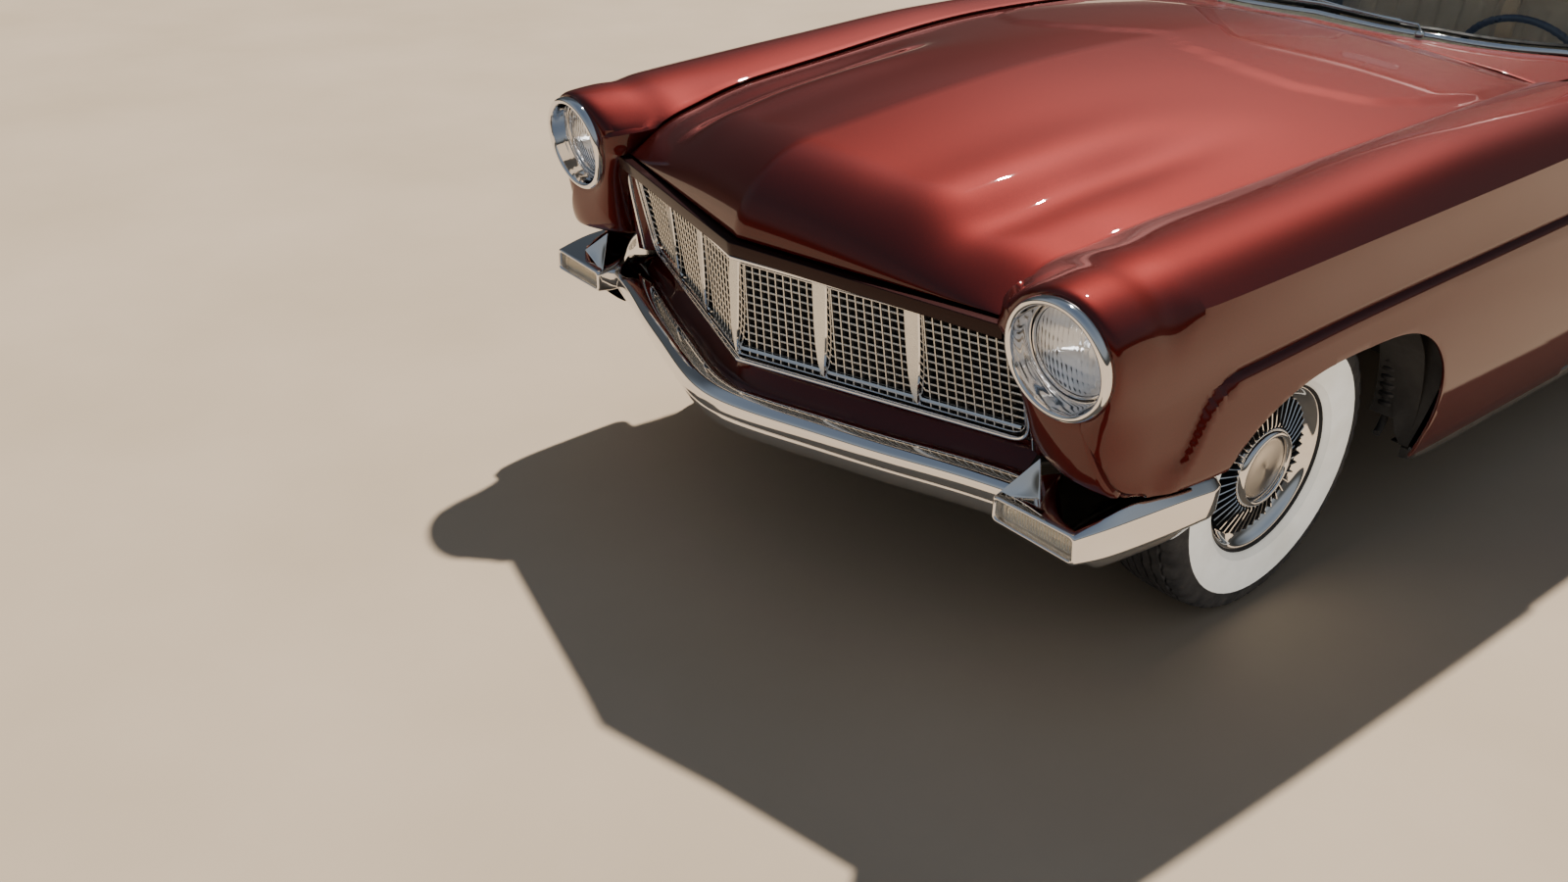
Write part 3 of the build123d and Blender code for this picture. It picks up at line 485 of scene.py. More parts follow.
k.rough(k.noise(12, 3), 0.0, 0.02)
GLASS = k.m
k = Mat("lens_glass", (0.97, 0.98, 1.0), Roughness=0.02, Transmission_Weight=1.0, IOR=1.48)
k.rough(k.noise(60, 3), 0.01, 0.05)
LENS = k.m
k = Mat("red_lens_glass", (0.75, 0.02, 0.015), Roughness=0.05, Transmission_Weight=0.75, IOR=1.48, Coat_Weight=0.5, Coat_Roughness=0.03)
k.color(k.ramp(k.noise(80, 3), [(0.3, (0.62, 0.012, 0.01)), (0.7, (0.82, 0.03, 0.02))]))
RED = k.m
k = Mat("reflector_bowl", (0.90, 0.92, 0.95), Metallic=0.45)
k.rough(k.noise(40, 4), 0.05, 0.14)
BOWL = k.m
k = Mat("underseal", (0.035, 0.033, 0.032), Specular_IOR_Level=0.3)
k.color(k.ramp(k.noise(6, 8), [(0.3, (0.022, 0.021, 0.02)), (0.75, (0.06, 0.056, 0.052))])).rough(k.noise(25, 5), 0.6, 0.85)
k.bump(k.noise(180, 6), 0.5, 0.0015)
UNDER = k.m
k = Mat("chassis_enamel", (0.02, 0.02, 0.02), Coat_Weight=0.3, Coat_Roughness=0.25)
k.color(k.ramp(k.noise(8, 7), [(0.3, (0.012, 0.012, 0.012)), (0.8, (0.04, 0.036, 0.033))])).rough(k.noise(30, 5), 0.35, 0.6)
ENAMEL = k.m
k = Mat("raw_casting", (0.13, 0.125, 0.12), Metallic=0.7)
k.color(k.ramp(k.noise(30, 7), [(0.3, (0.09, 0.085, 0.08)), (0.7, (0.17, 0.155, 0.14))])).rough(k.noise(50, 5), 0.45, 0.7)
k.bump(k.noise(400, 5), 0.35, 0.0008)
CASTING = k.m
k = Mat("engine_enamel", (0.03, 0.05, 0.09), Coat_Weight=0.3, Coat_Roughness=0.2)
k.color(k.ramp(k.noise(16, 6), [(0.3, (0.018, 0.03, 0.055)), (0.75, (0.045, 0.07, 0.12))])).rough(k.noise(60, 5), 0.35, 0.6)
k.bump(k.noise(260, 5), 0.3, 0.001)
ENGINE = k.m
k = Mat("aluminised_pipe", (0.42, 0.40, 0.38), Metallic=0.9)
k.color(k.ramp(k.noise(12, 7), [(0.3, (0.30, 0.26, 0.22)), (0.7, (0.48, 0.46, 0.44))])).rough(k.noise(40, 5), 0.32, 0.55)
PIPE = k.m
k = Mat("dark_blue_rim", (0.012, 0.022, 0.075), Coat_Weight=0.8, Coat_Roughness=0.06)
k.color(k.ramp(k.noise(18, 4), [(0.3, (0.009, 0.017, 0.06)), (0.7, (0.016, 0.028, 0.09))])).rough(k.noise(40, 4), 0.25, 0.4)
BLUE = k.m
k = Mat("cream_enamel", (0.66, 0.57, 0.43), Coat_Weight=0.5, Coat_Roughness=0.12)
k.color(k.ramp(k.noise(7, 5), [(0.3, (0.60, 0.51, 0.38)), (0.7, (0.69, 0.60, 0.46))])).rough(k.noise(90, 4), 0.38, 0.55)
k.bump(k.noise(900, 3), 0.12, 0.0004)
CREAM = k.m
k = Mat("cream_leather", (0.66, 0.56, 0.43), Specular_IOR_Level=0.45, Sheen_Weight=0.08)
k.color(k.ramp(k.noise(11, 6), [(0.25, (0.57, 0.47, 0.35)), (0.75, (0.71, 0.61, 0.48))])).rough(k.noise(70, 4), 0.42, 0.6)
cells = k.node("TexVoronoi", Scale=420.0, feature="DISTANCE_TO_EDGE")
k.link(k.coord.outputs["Object"], cells.inputs["Vector"])
k.bump(cells.outputs["Distance"], 0.35, 0.0008)
LEATHER = k.m
k = Mat("carpet", (0.10, 0.045, 0.035), Sheen_Weight=0.5, Sheen_Roughness=0.6)
k.color(k.ramp(k.noise(300, 3), [(0.3, (0.05, 0.02, 0.016)), (0.7, (0.15, 0.06, 0.045))])).rough(k.noise(100, 3), 0.85, 1.0)
k.bump(k.noise(900, 3), 0.8, 0.002)
CARPET = k.m
k = Mat("headliner", (0.62, 0.57, 0.49), Sheen_Weight=0.3)
k.color(k.ramp(k.noise(20, 4), [(0.3, (0.58, 0.53, 0.45)), (0.7, (0.66, 0.61, 0.53))])).rough(k.noise(90, 3), 0.8, 0.95)
k.bump(k.noise(1200, 3), 0.4, 0.0008)
LINER = k.m
k = Mat("radiator_core", (0.05, 0.05, 0.052), Metallic=0.4)
w = k.node("TexWave", Scale=70.0, bands_direction="Z")
k.link(k.coord.outputs["Object"], w.inputs["Vector"])
k.color(k.ramp(w.outputs["Fac"], [(0.3, (0.01, 0.01, 0.011)), (0.7, (0.06, 0.058, 0.055))])).rough(k.noise(40, 3), 0.5, 0.7)
k.bump(w.outputs["Fac"], 0.6, 0.002)
CORE = k.m
k = Mat("plain_plate", (0.62, 0.62, 0.60), Coat_Weight=0.2)
k.color(k.ramp(k.noise(20, 5), [(0.3, (0.58, 0.58, 0.56)), (0.7, (0.66, 0.66, 0.64))])).rough(k.noise(50, 4), 0.35, 0.5)
PLATE = k.m

BY_SLOT = {"underbody": UNDER, "chassis_black": ENAMEL, "cast_parts": CASTING, "engine_iron": ENGINE, "exhaust_steel": PIPE,
           "bright_chrome": CHROME, "body_paint": PAINT, "clear_glass": GLASS, "lamp_glass": LENS, "red_lens": RED,
           "wheel_cover": CHROME, "tyre": RUBBER, "wheel_blue": BLUE, "dash_cream": CREAM, "seat_leather": LEATHER}
SLOT_OF = {s["node"]: s["material_slot"] for s in frame["record"]["subparts"]}
for node, ob in frame["nodes"].items():
    m = BY_SLOT[SLOT_OF[node]]
    if node == "radiator":
        m = CORE
    for i in range(max(1, len(ob.material_slots))):
        if ob.material_slots:
            ob.material_slots[i].material = m
    if not ob.material_slots:
        ob.data.materials.append(m)

# ================================================================ camera, floor, light
CAM = dict(f=1388.40, c=(2191.57, -2468.14, 1842.45), az=51.2232, el=29.2584, roll=0.6138)
az, el, roll = (math.radians(CAM[k]) for k in ("az", "el", "roll"))
d = np.array([-math.sin(az) * math.cos(el), math.cos(az) * math.cos(el), -math.sin(el)])
right = np.array([math.cos(az), math.sin(az), 0.0])
up = np.cross(right, d)
r_ = math.cos(roll) * right + math.sin(roll) * up
u_ = -math.sin(roll) * right + math.cos(roll) * up
cam = bpy.data.objects.new("camera", bpy.data.cameras.new("camera"))
bpy.context.scene.collection.objects.link(cam)
loc = W(CAM["c"])
cam.matrix_world = Matrix(((r_[0], u_[0], -d[0], loc[0]), (r_[1], u_[1], -d[1], loc[1]), (r_[2], u_[2], -d[2], loc[2]), (0, 0, 0, 1)))
cam.data.sensor_width = 36.0
cam.data.lens = CAM["f"] / 1600 * 36.0
cam.data.shift_y = 12.01 / 1600
cam.data.clip_start, cam.data.clip_end = 0.05, 200
bpy.context.scene.camera = cam


def stage_plane():
    me = bpy.data.meshes.new("floor")
    s = 60.0
    me.from_pydata([(-s, -s, 0), (s, -s, 0), (s, s, 0), (-s, s, 0)], [], [(0, 1, 2, 3)])
    o = bpy.data.objects.new("floor", me)
    bpy.context.scene.collection.objects.link(o)
    k = Mat("pale_floor", (0.60, 0.47, 0.34), Specular_IOR_Level=0.2)
    k.color(k.ramp(k.noise(0.9, 8), [(0.3, (0.56, 0.435, 0.31)), (0.7, (0.64, 0.505, 0.37))]))
    k.rough(k.noise(3, 5), 0.75, 0.9)
    me.materials.append(k.m)


stage_plane()


def area(name, loc, target, size, power, color=(1, 1, 1), spread=180):
    l = bpy.data.lights.new(name, "AREA")
    l.shape, l.size, l.size_y = "RECTANGLE", size[0], size[1]
    l.energy, l.color = power, color
    l.spread = math.radians(spread)
    o = bpy.data.objects.new(name, l)
    bpy.context.scene.collection.objects.link(o)
    o.location = loc
    o.rotation_mode = "QUATERNION"
    o.rotation_quaternion = (Vector(target) - Vector(loc)).to_track_quat("-Z", "Y")
    return o


sun = bpy.data.lights.new("key", "SUN")
sun.energy, sun.angle, sun.color = 6.2, math.radians(1.4), (1.0, 0.95, 0.87)
so = bpy.data.objects.new("key", sun)
bpy.context.scene.collection.objects.link(so)
so.rotation_mode = "QUATERNION"
SUN_FROM = Vector((-0.30, 0.62, 0.95)).normalized()
so.rotation_quaternion = (-SUN_FROM).to_track_quat("-Z", "Y")

world = bpy.data.worlds.new("studio")
bpy.context.scene.world = world
world.use_nodes = True
wt = world.node_tree
bg = wt.nodes["Background"]
tc = wt.nodes.new("ShaderNodeTexCoord")
sep = wt.nodes.new("ShaderNodeSeparateXYZ")
wt.links.new(tc.outputs["Generated"], sep.inputs["Vector"])
rp = wt.nodes.new("ShaderNodeValToRGB")
els = rp.color_ramp.elements
stops = [(0.0, (0.60, 0.50, 0.40)), (0.485, (0.62, 0.52, 0.42)), (0.505, (0.12, 0.11, 0.10)), (0.555, (0.12, 0.12, 0.11)), (0.62, (0.44, 0.47, 0.49)), (0.74, (0.40, 0.46, 0.53)), (1.0, (0.19, 0.25, 0.35))]
while len(els) < len(stops):
    els.new(0.5)
for e_, (p_, c_) in zip(els, stops):
    e_.position, e_.color = p_, (*c_, 1)
mr = wt.nodes.new("ShaderNodeMapRange")
mr.inputs["From Min"].default_value, mr.inputs["From Max"].default_value = -1, 1
wt.links.new(sep.outputs["Z"], mr.inputs["Value"])
wt.links.new(mr.outputs["Result"], rp.inputs["Fac"])
# a dimmer quarter of the studio, low on the far right side


def wmath(op, a, b=None):
    n_ = wt.nodes.new("ShaderNodeMath")
    n_.operation = op
    for i, v in enumerate((a, b)):
        if v is None:
            continue
        if isinstance(v, (int, float)):
            n_.inputs[i].default_value = v
        else:
            wt.links.new(v, n_.inputs[i])
    return n_.outputs[0]


def wstep(v, a, b):
    n_ = wt.nodes.new("ShaderNodeMapRange")
    n_.interpolation_type = "SMOOTHSTEP"
    n_.inputs["From Min"].default_value, n_.inputs["From Max"].default_value = a, b
    wt.links.new(v, n_.inputs["Value"])
    return n_.outputs["Result"]


away = wmath("ADD", wmath("MULTIPLY", sep.outputs["X"], -0.66), wmath("MULTIPLY", sep.outputs["Y"], 0.75))
band = wmath("MULTIPLY", wstep(sep.outputs["Z"], 0.02, 0.16), wmath("SUBTRACT", 1.0, wstep(sep.outputs["Z"], 0.60, 0.80)))
dim = wmath("SUBTRACT", 1.0, wmath("MULTIPLY", wmath("MULTIPLY", wstep(away, 0.05, 0.60), band), 0.72))
vm = wt.nodes.new("ShaderNodeVectorMath")
vm.operation = "SCALE"
wt.links.new(rp.outputs["Color"], vm.inputs[0])
wt.links.new(dim, vm.inputs["Scale"])
wt.links.new(vm.outputs[0], bg.inputs["Color"])
bg.inputs["Strength"].default_value = 0.60
for nm_, at_, size_, pw_ in (("fill_side", (8.0, -2.2, 0.45), (4.0, 0.7), 330.0), ("fill_front", (2.2, -9.0, 0.42), (4.0, 0.6), 100.0)):
    f_ = area(nm_, at_, (0.7, -1.6, 0.45), size_, pw_, (1.0, 0.99, 0.97))
    f_.visible_glossy = False
    f_.visible_camera = False

# ================================================================ body side
SIDE = np.array([
    # y      sx   sz    cx   cz    ox   oz    ux   uz   mx   mz   lx   lz   bx   bz   rx   rz
    (-600,  628, 896,  800, 962,  885, 941,  930, 903, 936, 820, 932, 741, 946, 640, 926, 400),
    (-400,  656, 937,  805, 973,  895, 952,  942, 913, 940, 830, 937, 748, 960, 620, 932, 350),
    (   0,  690, 971,  812, 993,  905, 971,  951, 928, 945, 845, 943, 768, 968, 600, 935, 300),
    ( 500,  720, 1004, 815, 1016, 912, 992,  957, 943, 949, 865, 947, 780, 974, 590, 940, 300),
    (1127,  698, 1002, 812, 1020, 915, 995,  961, 956, 952, 875, 950, 791, 979, 580, 943, 300),
    (1850,  745, 1002, 815, 1012, 917, 989,  965, 956, 955, 880, 953, 798, 983, 575, 945, 300),
    (2533,  745, 1004, 815, 1010, 917, 988,  966, 955, 956, 884, 954, 803, 984, 575, 946, 300),
    (2750,  735, 1020, 822, 1034, 918, 1012, 966, 976, 957, 892, 955, 806, 984, 575, 946, 300),
    (3050,  700, 1030, 828, 1050, 917, 1028, 964, 990, 956, 898, 954, 804, 977, 575, 940, 300),
    (3490,  655, 1022, 825, 1048, 910, 1026, 957, 986, 950, 896, 948, 798, 976, 585, 938, 320),
    (4000,  640, 990,  810, 1024, 893, 1002, 936, 962, 934, 880, 932, 782, 954, 600, 921, 350),
    (4420,  628, 935,  790, 985,  868, 965,  908, 928, 910, 850, 908, 762, 920, 610, 892, 380),
    (4540,  620, 905,  782, 968,  854, 948,  888, 914, 892, 840, 890, 752, 900, 620, 875, 400),
], float)
NAMES = "scoumlbr"


def monotone(rows, y):
    """Smooth monotone value of every column of a table at stations y."""
    ys, v = rows[:, 0], rows[:, 1:]
    h = np.diff(ys)
    dl = np.diff(v, axis=0) / h[:, None]
    m = np.zeros_like(v)
    m[0], m[-1] = dl[0], dl[-1]
    a, b = dl[:-1], dl[1:]
    s = a + b
    m[1:-1] = np.where(a * b > 0, 2 * a * b / np.where(np.abs(s) < 1e-12, 1, s), 0)
    y = np.atleast_1d(np.array(y, float))
    i = np.clip(np.searchsorted(ys, y) - 1, 0, len(ys) - 2)
    t = ((y - ys[i]) / h[i])[:, None]
    hh = h[i][:, None]
    return ((2 * t ** 3 - 3 * t ** 2 + 1) * v[i] + (t ** 3 - 2 * t ** 2 + t) * hh * m[i]
            + (3 * t ** 2 - 2 * t ** 3) * v[i + 1] + (t ** 3 - t ** 2) * hh * m[i + 1])


def side(y):
    r = monotone(SIDE, y)
    return {n: r[:, 2 * i:2 * i + 2] for i, n in enumerate(NAMES)}


# The edge that hood and fender share: station, x, z
SEAM = np.array([(-700, 641, 836), (-665, 637, 858), (-600, 628, 896), (-500, 642, 919), (-400, 656, 937), (-200, 675, 957), (0, 690, 971), (250, 708, 990), (500, 720, 1004), (800, 716, 1008), (1127, 698, 1002)], float)
seam_at = spline(SEAM[:, 0], SEAM[:, 1:])

LEDGE = 14.0
_ly = np.linspace(-400, 4560, 260)
LEDGE_LINE = np.vstack([[(-640, 594), (-600, 595), (-560, 600), (-528, 616), (-512, 640), (-496, 670), (-482, 696), (-462, 718), (-436, 735)],
                        np.c_[_ly, side(_ly)["l"][:, 1]]])
LEDGE_LINE = np.vstack([through(LEDGE_LINE[:14], 90)[:-1], LEDGE_LINE[13:]])


def ledge(y, z):
    """How far the side stands out under the lower crease."""
    y, z = np.asarray(y, float), np.asarray(z, float)
    p = np.stack([y.ravel(), z.ravel()], 1)
    a, b = LEDGE_LINE[:-1], LEDGE_LINE[1:]
    ab = b - a
    best = np.full(len(p), 1e9)
    sign = np.ones(len(p))
    for s in range(0, len(p), 4000):
        q = p[s:s + 4000, None] - a[None]
        t = np.clip((q * ab).sum(-1) / (ab * ab).sum(-1), 0, 1)
        e = q - t[..., None] * ab
        dd = np.hypot(e[..., 0], e[..., 1])
        j = dd.argmin(1)
        k_ = np.arange(len(j))
        best[s:s + 4000] = dd[k_, j]
        sign[s:s + 4000] = np.sign(ab[j, 1] * q[k_, j, 0] - ab[j, 0] * q[k_, j, 1])
    dist = (best * sign).reshape(y.shape)
    return LEDGE * smoothstep(dist, -1.0, 12.0) * smoothstep(y, -600, -548)


def top_points(y, n=16):
    """Crowned top of the side from the seam to the upper crease, one row per station."""
    s = side(y)
    out = []
    for i, yy in enumerate(np.atleast_1d(y)):
        a = s["s"][i]
        if yy < 1130:
            a = seam_at(yy)[0]
        out.append(through([a, s["c"][i], s["o"][i], s["u"][i]], n))
    return np.array(out)


def side_x(y, z):
    """x of the side below the upper crease at (station, height), without the ledge."""
    s = side(y)
    out = np.zeros(np.shape(z))
    for i in range(len(np.atleast_1d(y))):
        u, m, l, b, r = (s[n][i] for n in "umlbr")
        zz = [u[1], m[1], l[1], b[1], r[1]]
        xx = [u[0], m[0], l[0], b[0] - LEDGE, r[0] - LEDGE]
        f = spline(zz[::-1], np.array(xx[::-1])[:, None])
        out[i] = f(z[i])[:, 0]
    return out


def side_grid(ys, low, n_top=16, n_side=9, n_step=5, n_low=12):
    """Outer surface of the body side: stations by points from the seam down to the height low(y)."""
    ys = np.array(ys, float)
    top = top_points(ys, n_top)
    s = side(ys)
    zu, zl = s["u"][:, 1], s["l"][:, 1]
    zb = np.array([low(y) for y in ys], float)
    rows = []
    for i in range(len(ys)):
        a = np.linspace(zu[i], zl[i] + 2, n_side + 1)[1:]
        b = np.linspace(zl[i] + 2, zl[i] - 13, n_step + 1)[1:]
        c = np.linspace(zl[i] - 13, min(zb[i], zl[i] - 20), n_low + 1)[1:]
        rows.append(np.r_[a, b, c])
    z = np.array(rows)
    x = side_x(ys, z) + ledge(np.repeat(ys[:, None], z.shape[1], 1), z)
    low_part = np.stack([x, np.repeat(ys[:, None], z.shape[1], 1), z], -1)
    top_part = np.stack([top[..., 0], np.repeat(ys[:, None], n_top, 1), top[..., 1]], -1)
    return np.concatenate([top_part, low_part], 1)


def panel(o, t=9.0, bevel=1.8, cutters=(), seg=2, angle=32, inner=0):
    """Gives a surface its thickness inwards, cuts its openings and rounds its edges."""
    bpy.context.view_layer.update()
    mod = o.modifiers.new("solid", "SOLIDIFY")
    mod.material_offset = inner
    mod.thickness, mod.offset, mod.use_even_offset = t / 1000, -1, False
    dg = bpy.context.evaluated_depsgraph_get()
    new = bpy.data.meshes.new_from_object(o.evaluated_get(dg))
    o.modifiers.clear()
    o.data = new
    for c in cutters:
        cut(o, c)
    if bevel:
        mod = o.modifiers.new("edge", "BEVEL")
        mod.width, mod.segments, mod.limit_method, mod.angle_limit = bevel / 1000, seg, "ANGLE", math.radians(58)
        mod.use_clamp_overlap = False
        mod.harden_normals = False
        before = bmesh.new()
        before.from_mesh(o.data)
        tree = BVHTree.FromBMesh(before)
        before.free()
        bpy.context.view_layer.update()
        dg = bpy.context.evaluated_depsgraph_get()
        new = bpy.data.meshes.new_from_object(o.evaluated_get(dg))
        o.modifiers.clear()
        o.data = new
        for v in new.vertices:                  # a bevel at a sharp corner can throw a point out
            q, _, _, d = tree.find_nearest(v.co)
            if q is not None and d > 1.4 * bevel / 1000:
                v.co = q
    finish_mesh(o, angle)
    return o


def orient(o, centre=(0, 0, 0.6)):
    """Outer surfaces face away from the middle of the car."""
    me = o.data
    c = Vector(centre)
    s = 0.0
    for p in me.polygons:
        q = p.center - Vector((0, p.center.y, c.z))
        s += p.normal.dot(q) * p.area
    if s < 0:
        me.flip_normals()


ARCH_F = np.vstack([[(-402, 538)], through([(-397, 552), (-378, 575), (-347, 603), (-302, 630), (-255, 650), (-205, 666), (-150, 678), (-62, 687), (75, 688), (165, 683), (243, 664), (325, 614), (382, 545), (416, 450), (423, 380), (408, 318)], 60), [(380, 250), (-402, 250)]])
ARCH_R = np.vstack([[(-424, 250), (-424, 420)], through([(-418, 470), (-392, 545), (-330, 612), (-240, 645), (-120, 655), (0, 656), (120, 655), (240, 644), (330, 610), (392, 545), (418, 470)], 60), [(420, 400), (380, 250)]]) + np.array([3200, 0])


def fender_front():
    ys = np.r_[np.arange(-600, -540, 15), np.arange(-540, -430, 4.5), np.arange(-430, -250, 15), np.arange(-250, 1110, 24), 1120, 1127]
    def low(y):
        return 552.0 if y < 330 else (552 - (y - 330) / 50 * 252 if y < 380 else 300.0)
    g = side_grid(ys, low)
    m = Mesh()
    m.grid(g)
    # nose: radial surface from the rim of the lamp to the first section
    first = g[0]
    slope = (g[1] - g[0]) / (ys[1] - ys[0])
    zs = first[:, 2]
    keep = zs >= 551
    B = [p for p in first[keep]]
    S = [q for q in slope[keep]]
    bottom = through([(first[-1][0], -600, 552), (930, -648, 570), (905, -690, 586), (860, -711, 596), (812, -704, 599), (765, -674, 597), (735, -632, 593), (722, -600, 590)], 26)
    B += list(bottom[1:])
    S += [np.zeros(3)] * (len(bottom) - 1)
    inner = through([(722, -600, 590), (717, -640, 650), (703, -664, 715), (688, -676, 760), (672, -684, 802), (655, -694, 826), (641, -700, 836)], 26)
    B += list(inner[1:])
    S += [np.zeros(3)] * (len(inner) - 1)
    sy = np.linspace(-700, -600, 12)[1:-1]
    sp = seam_at(sy)
    k0 = int(keep.sum())
    nb = len(bottom) - 1
    B += [np.array((sp[i, 0], sy[i], sp[i, 1])) for i in range(len(sy))]
    S += [np.zeros(3)] * len(sy)
    B, S = np.array(B), np.array(S)
    cx, cz, R = 810.0, 828.0, 117.0
    ang = np.arctan2(B[:, 2] - cz, B[:, 0] - cx)
    L = np.stack([cx + R * np.cos(ang), -734 + (cz + R * np.sin(ang) - cz) * -0.10, cz + R * np.sin(ang)], 1)
    th = np.linspace(0, PI / 2, 22)
    n = 2.1
    rows = []
    for t in th:
        w = 1 - math.cos(t) ** (2 / n) if t < PI / 2 - 1e-9 else 1.0
        yy = B[:, 1] + (L[:, 1] - B[:, 1]) * math.sin(t) ** (2 / n)
        w = 0.62 * w + 0.38 * (1 - math.cos(t)) ** 1.35
        base = B[:, [0, 2]] + S[:, [0, 2]] * (yy - B[:, 1])[:, None] * math.cos(t) ** 2
        xz = base + (L[:, [0, 2]] - B[:, [0, 2]]) * w
        rows.append(np.stack([xz[:, 0], yy, xz[:, 1]], 1))
    rows = np.array(rows)
    m.grid(rows, close_v=True, flip=True)
    # the rim goes on inside the lamp
    back = rows[-1].copy()
    deep = back + np.array([0, 40, 0])
    m.grid(np.array([back, deep]), close_v=True, flip=True)
    return m


def make_pair(build, name, nodes, body=("car_body", "car_body"), mats=None, slot="body_paint", post=None, **kw):
    for sg, tag, b in ((1, "left", body[0]), (-1, "right", body[1])):
        m = build()
        o = m.make(f"{name}_{tag}", mats or PAINT, b, slot, [f"{n}_{tag}" for n in nodes], mirror=sg < 0, **kw)
        if post:
            post(o, sg)


def sided(outline, sg, x0=560.0, x1=1150.0):
    return prism(outline, *( (x0, x1) if sg > 0 else (-x1, -x0)))


def soften(o, weight, n=60):
    """Evens out a skin where weight(points) is above zero; its open edges stay."""
    me = o.data
    p = np.zeros(len(me.vertices) * 3)
    me.vertices.foreach_get("co", p)
    p = p.reshape(-1, 3) * 1000.0
    p[:, 1] -= AXLE_Y
    e = np.zeros(len(me.edges) * 2, int)
    me.edges.foreach_get("vertices", e)
    e = e.reshape(-1, 2)
    bm = bmesh.new()
    bm.from_mesh(me)
    free = np.array([not v.is_boundary for v in bm.verts])
    bm.free()
    w = weight(p) * free
    L = np.linalg.norm(p[e[:, 0]] - p[e[:, 1]], axis=1)
    k = np.maximum(L, 1.0)
    for i in range(2 * n + 14):                 # a few shrinking steps, then shrinking and growing by turns
        acc = np.zeros_like(p)
        cnt = np.zeros(len(p))
        for a, b in ((0, 1), (1, 0)):
            np.add.at(acc, e[:, a], p[e[:, b]] * k[:, None])
            np.add.at(cnt, e[:, a], k)
        p = p + (acc / np.maximum(cnt, 1e-9)[:, None] - p) * w[:, None] * (0.5 if i < 14 or i % 2 == 0 else -0.52)
    me.vertices.foreach_set("co", W(p).ravel())
    me.update()


def nose_weight(p):
    x = np.abs(p[:, 0])
    a = np.exp(-((p[:, 1] + 598) / 42.0) ** 2) * (1 - smoothstep(p[:, 2], 985, 1015))
    c = np.exp(-(((x - 915) / 75.0) ** 2 + ((p[:, 1] + 640) / 75.0) ** 2 + ((p[:, 2] - 610) / 75.0) ** 2))
    return np.clip(np.maximum(a, c), 0, 1)


def fender_post(o, sg):
    soften(o, nose_weight, 70)
    panel(o, 8.0, 1.6, [sided(ARCH_F, sg)])


make_pair(fender_front, "skin_front_fender", ["front_fender"], weld=0.05, post=fender_post)


# ---------------------------------------------------------------- hood
RIDGE = spline([-841, -596, -430, -258, -71, 128, 350, 600, 900, 1126], np.array([1000, 1023, 1041, 1058, 1073, 1082, 1085, 1080, 1066, 1050.0])[:, None])


def step_line(x):
    return np.interp(np.abs(x), [0, 119, 292, 425, 589, 642, 684, 699], [530, 464, 434, 447, 540, 668, 827, 1046])


def hood_surface(gap=5.0, ns=120, nt=45):
    s = np.linspace(0, 1, ns) ** 1.75
    t = np.linspace(-1, 1, 2 * nt + 1)
    t = np.sign(t) * (np.abs(t) ** 0.94)
    y0 = -841 * (1 - s) + 1126 * s
    y1 = -700 * (1 - s) + 1126 * s
    D = 205.0
    q = np.clip(1 - (y0 + 841) / D, 0, 1)
    c = 833 + (RIDGE(y0)[:, 0] - 833) * (1 - q ** 2.05) ** (1 / 2.05)
    sm = seam_at(y1)
    xs, zs = sm[:, 0] - gap, sm[:, 1]
    a = np.abs(t)
    G = 1 - 0.35 * a - 0.85 * a ** 2 + 0.20 * a ** 3
    G2 = 1 - 0.20 * a - 0.75 * a ** 2 - 0.05 * a ** 3
    w = smoothstep(y0, 200, 1100)
    g = G[None] * (1 - w[:, None]) + G2[None] * w[:, None]
    x = t[None] * xs[:, None]
    y = y0[:, None] + (y1 - y0)[:, None] * a[None]
    z = zs[:, None] + (c - zs)[:, None] * g
    # soft valley between the raised middle and the shoulder, dying out rearwards
    amp = 15.0 * smoothstep(y0, -835, -640) * (1 - smoothstep(y0, -330, 230))
    z = z - amp[:, None] * np.exp(-((a[None] - 0.74) / 0.10) ** 2) + 0.55 * amp[:, None] * np.exp(-((a[None] - 0.56) / 0.13) ** 2)
    # shallow raised field on the rear half
    e = y - step_line(x)
    z = z + 4.5 * smoothstep(e, -9, 9) * (1 - smoothstep(y, 1040, 1120)) * (1 - smoothstep(a[None], 0.93, 1.0))
    return np.stack([x, y, z], -1)


def hood_skin():
    p = hood_surface()
    m = Mesh()
    m.grid(p)
    # the sheet turns back under the lip
    lip = p[0]
    under = lip + np.array([0, 26, -1.5])
    m.grid(np.array([under, lip]))
    return m


o = hood_skin().make("skin_hood", PAINT, "hood", "body_paint", ["hood"], weld=0.05)
bpy.context.view_layer.update()
if sum(p.normal.z * p.area for p in o.data.polygons) < 0:
    o.data.flip_normals()
panel(o, 7.0, 1.6)


# ================================================================ nose, grille and lamps
def front_face(x, z):
    t = (z - 548) / (795 - 548)
    return (-843 + 0.345 * np.abs(x)) * (1 - t) + (-858 + 0.275 * np.abs(x)) * t


def rounded(points, r, n=4):
    """Closed outline with its corners rounded; r may be one number or one per corner."""
    p = np.array(points, float)
    k = len(p)
    r = [r] * k if np.isscalar(r) else r
    out = []
    for i in range(k):
        a, b, c = p[i - 1], p[i], p[(i + 1) % k]
        u, v = unit(a - b), unit(c - b)
        q = min(r[i], 0.49 * np.linalg.norm(a - b), 0.49 * np.linalg.norm(c - b))
        p0, p2 = b + u * q, b + v * q
        for t in np.linspace(0, 1, n + 1):
            out.append((1 - t) ** 2 * p0 + 2 * t * (1 - t) * b + t ** 2 * p2)
    return np.array(out)


def soft_abs(x, w=10.0):
    return np.sqrt(np.asarray(x, float) ** 2 + w * w) - w * 0.5


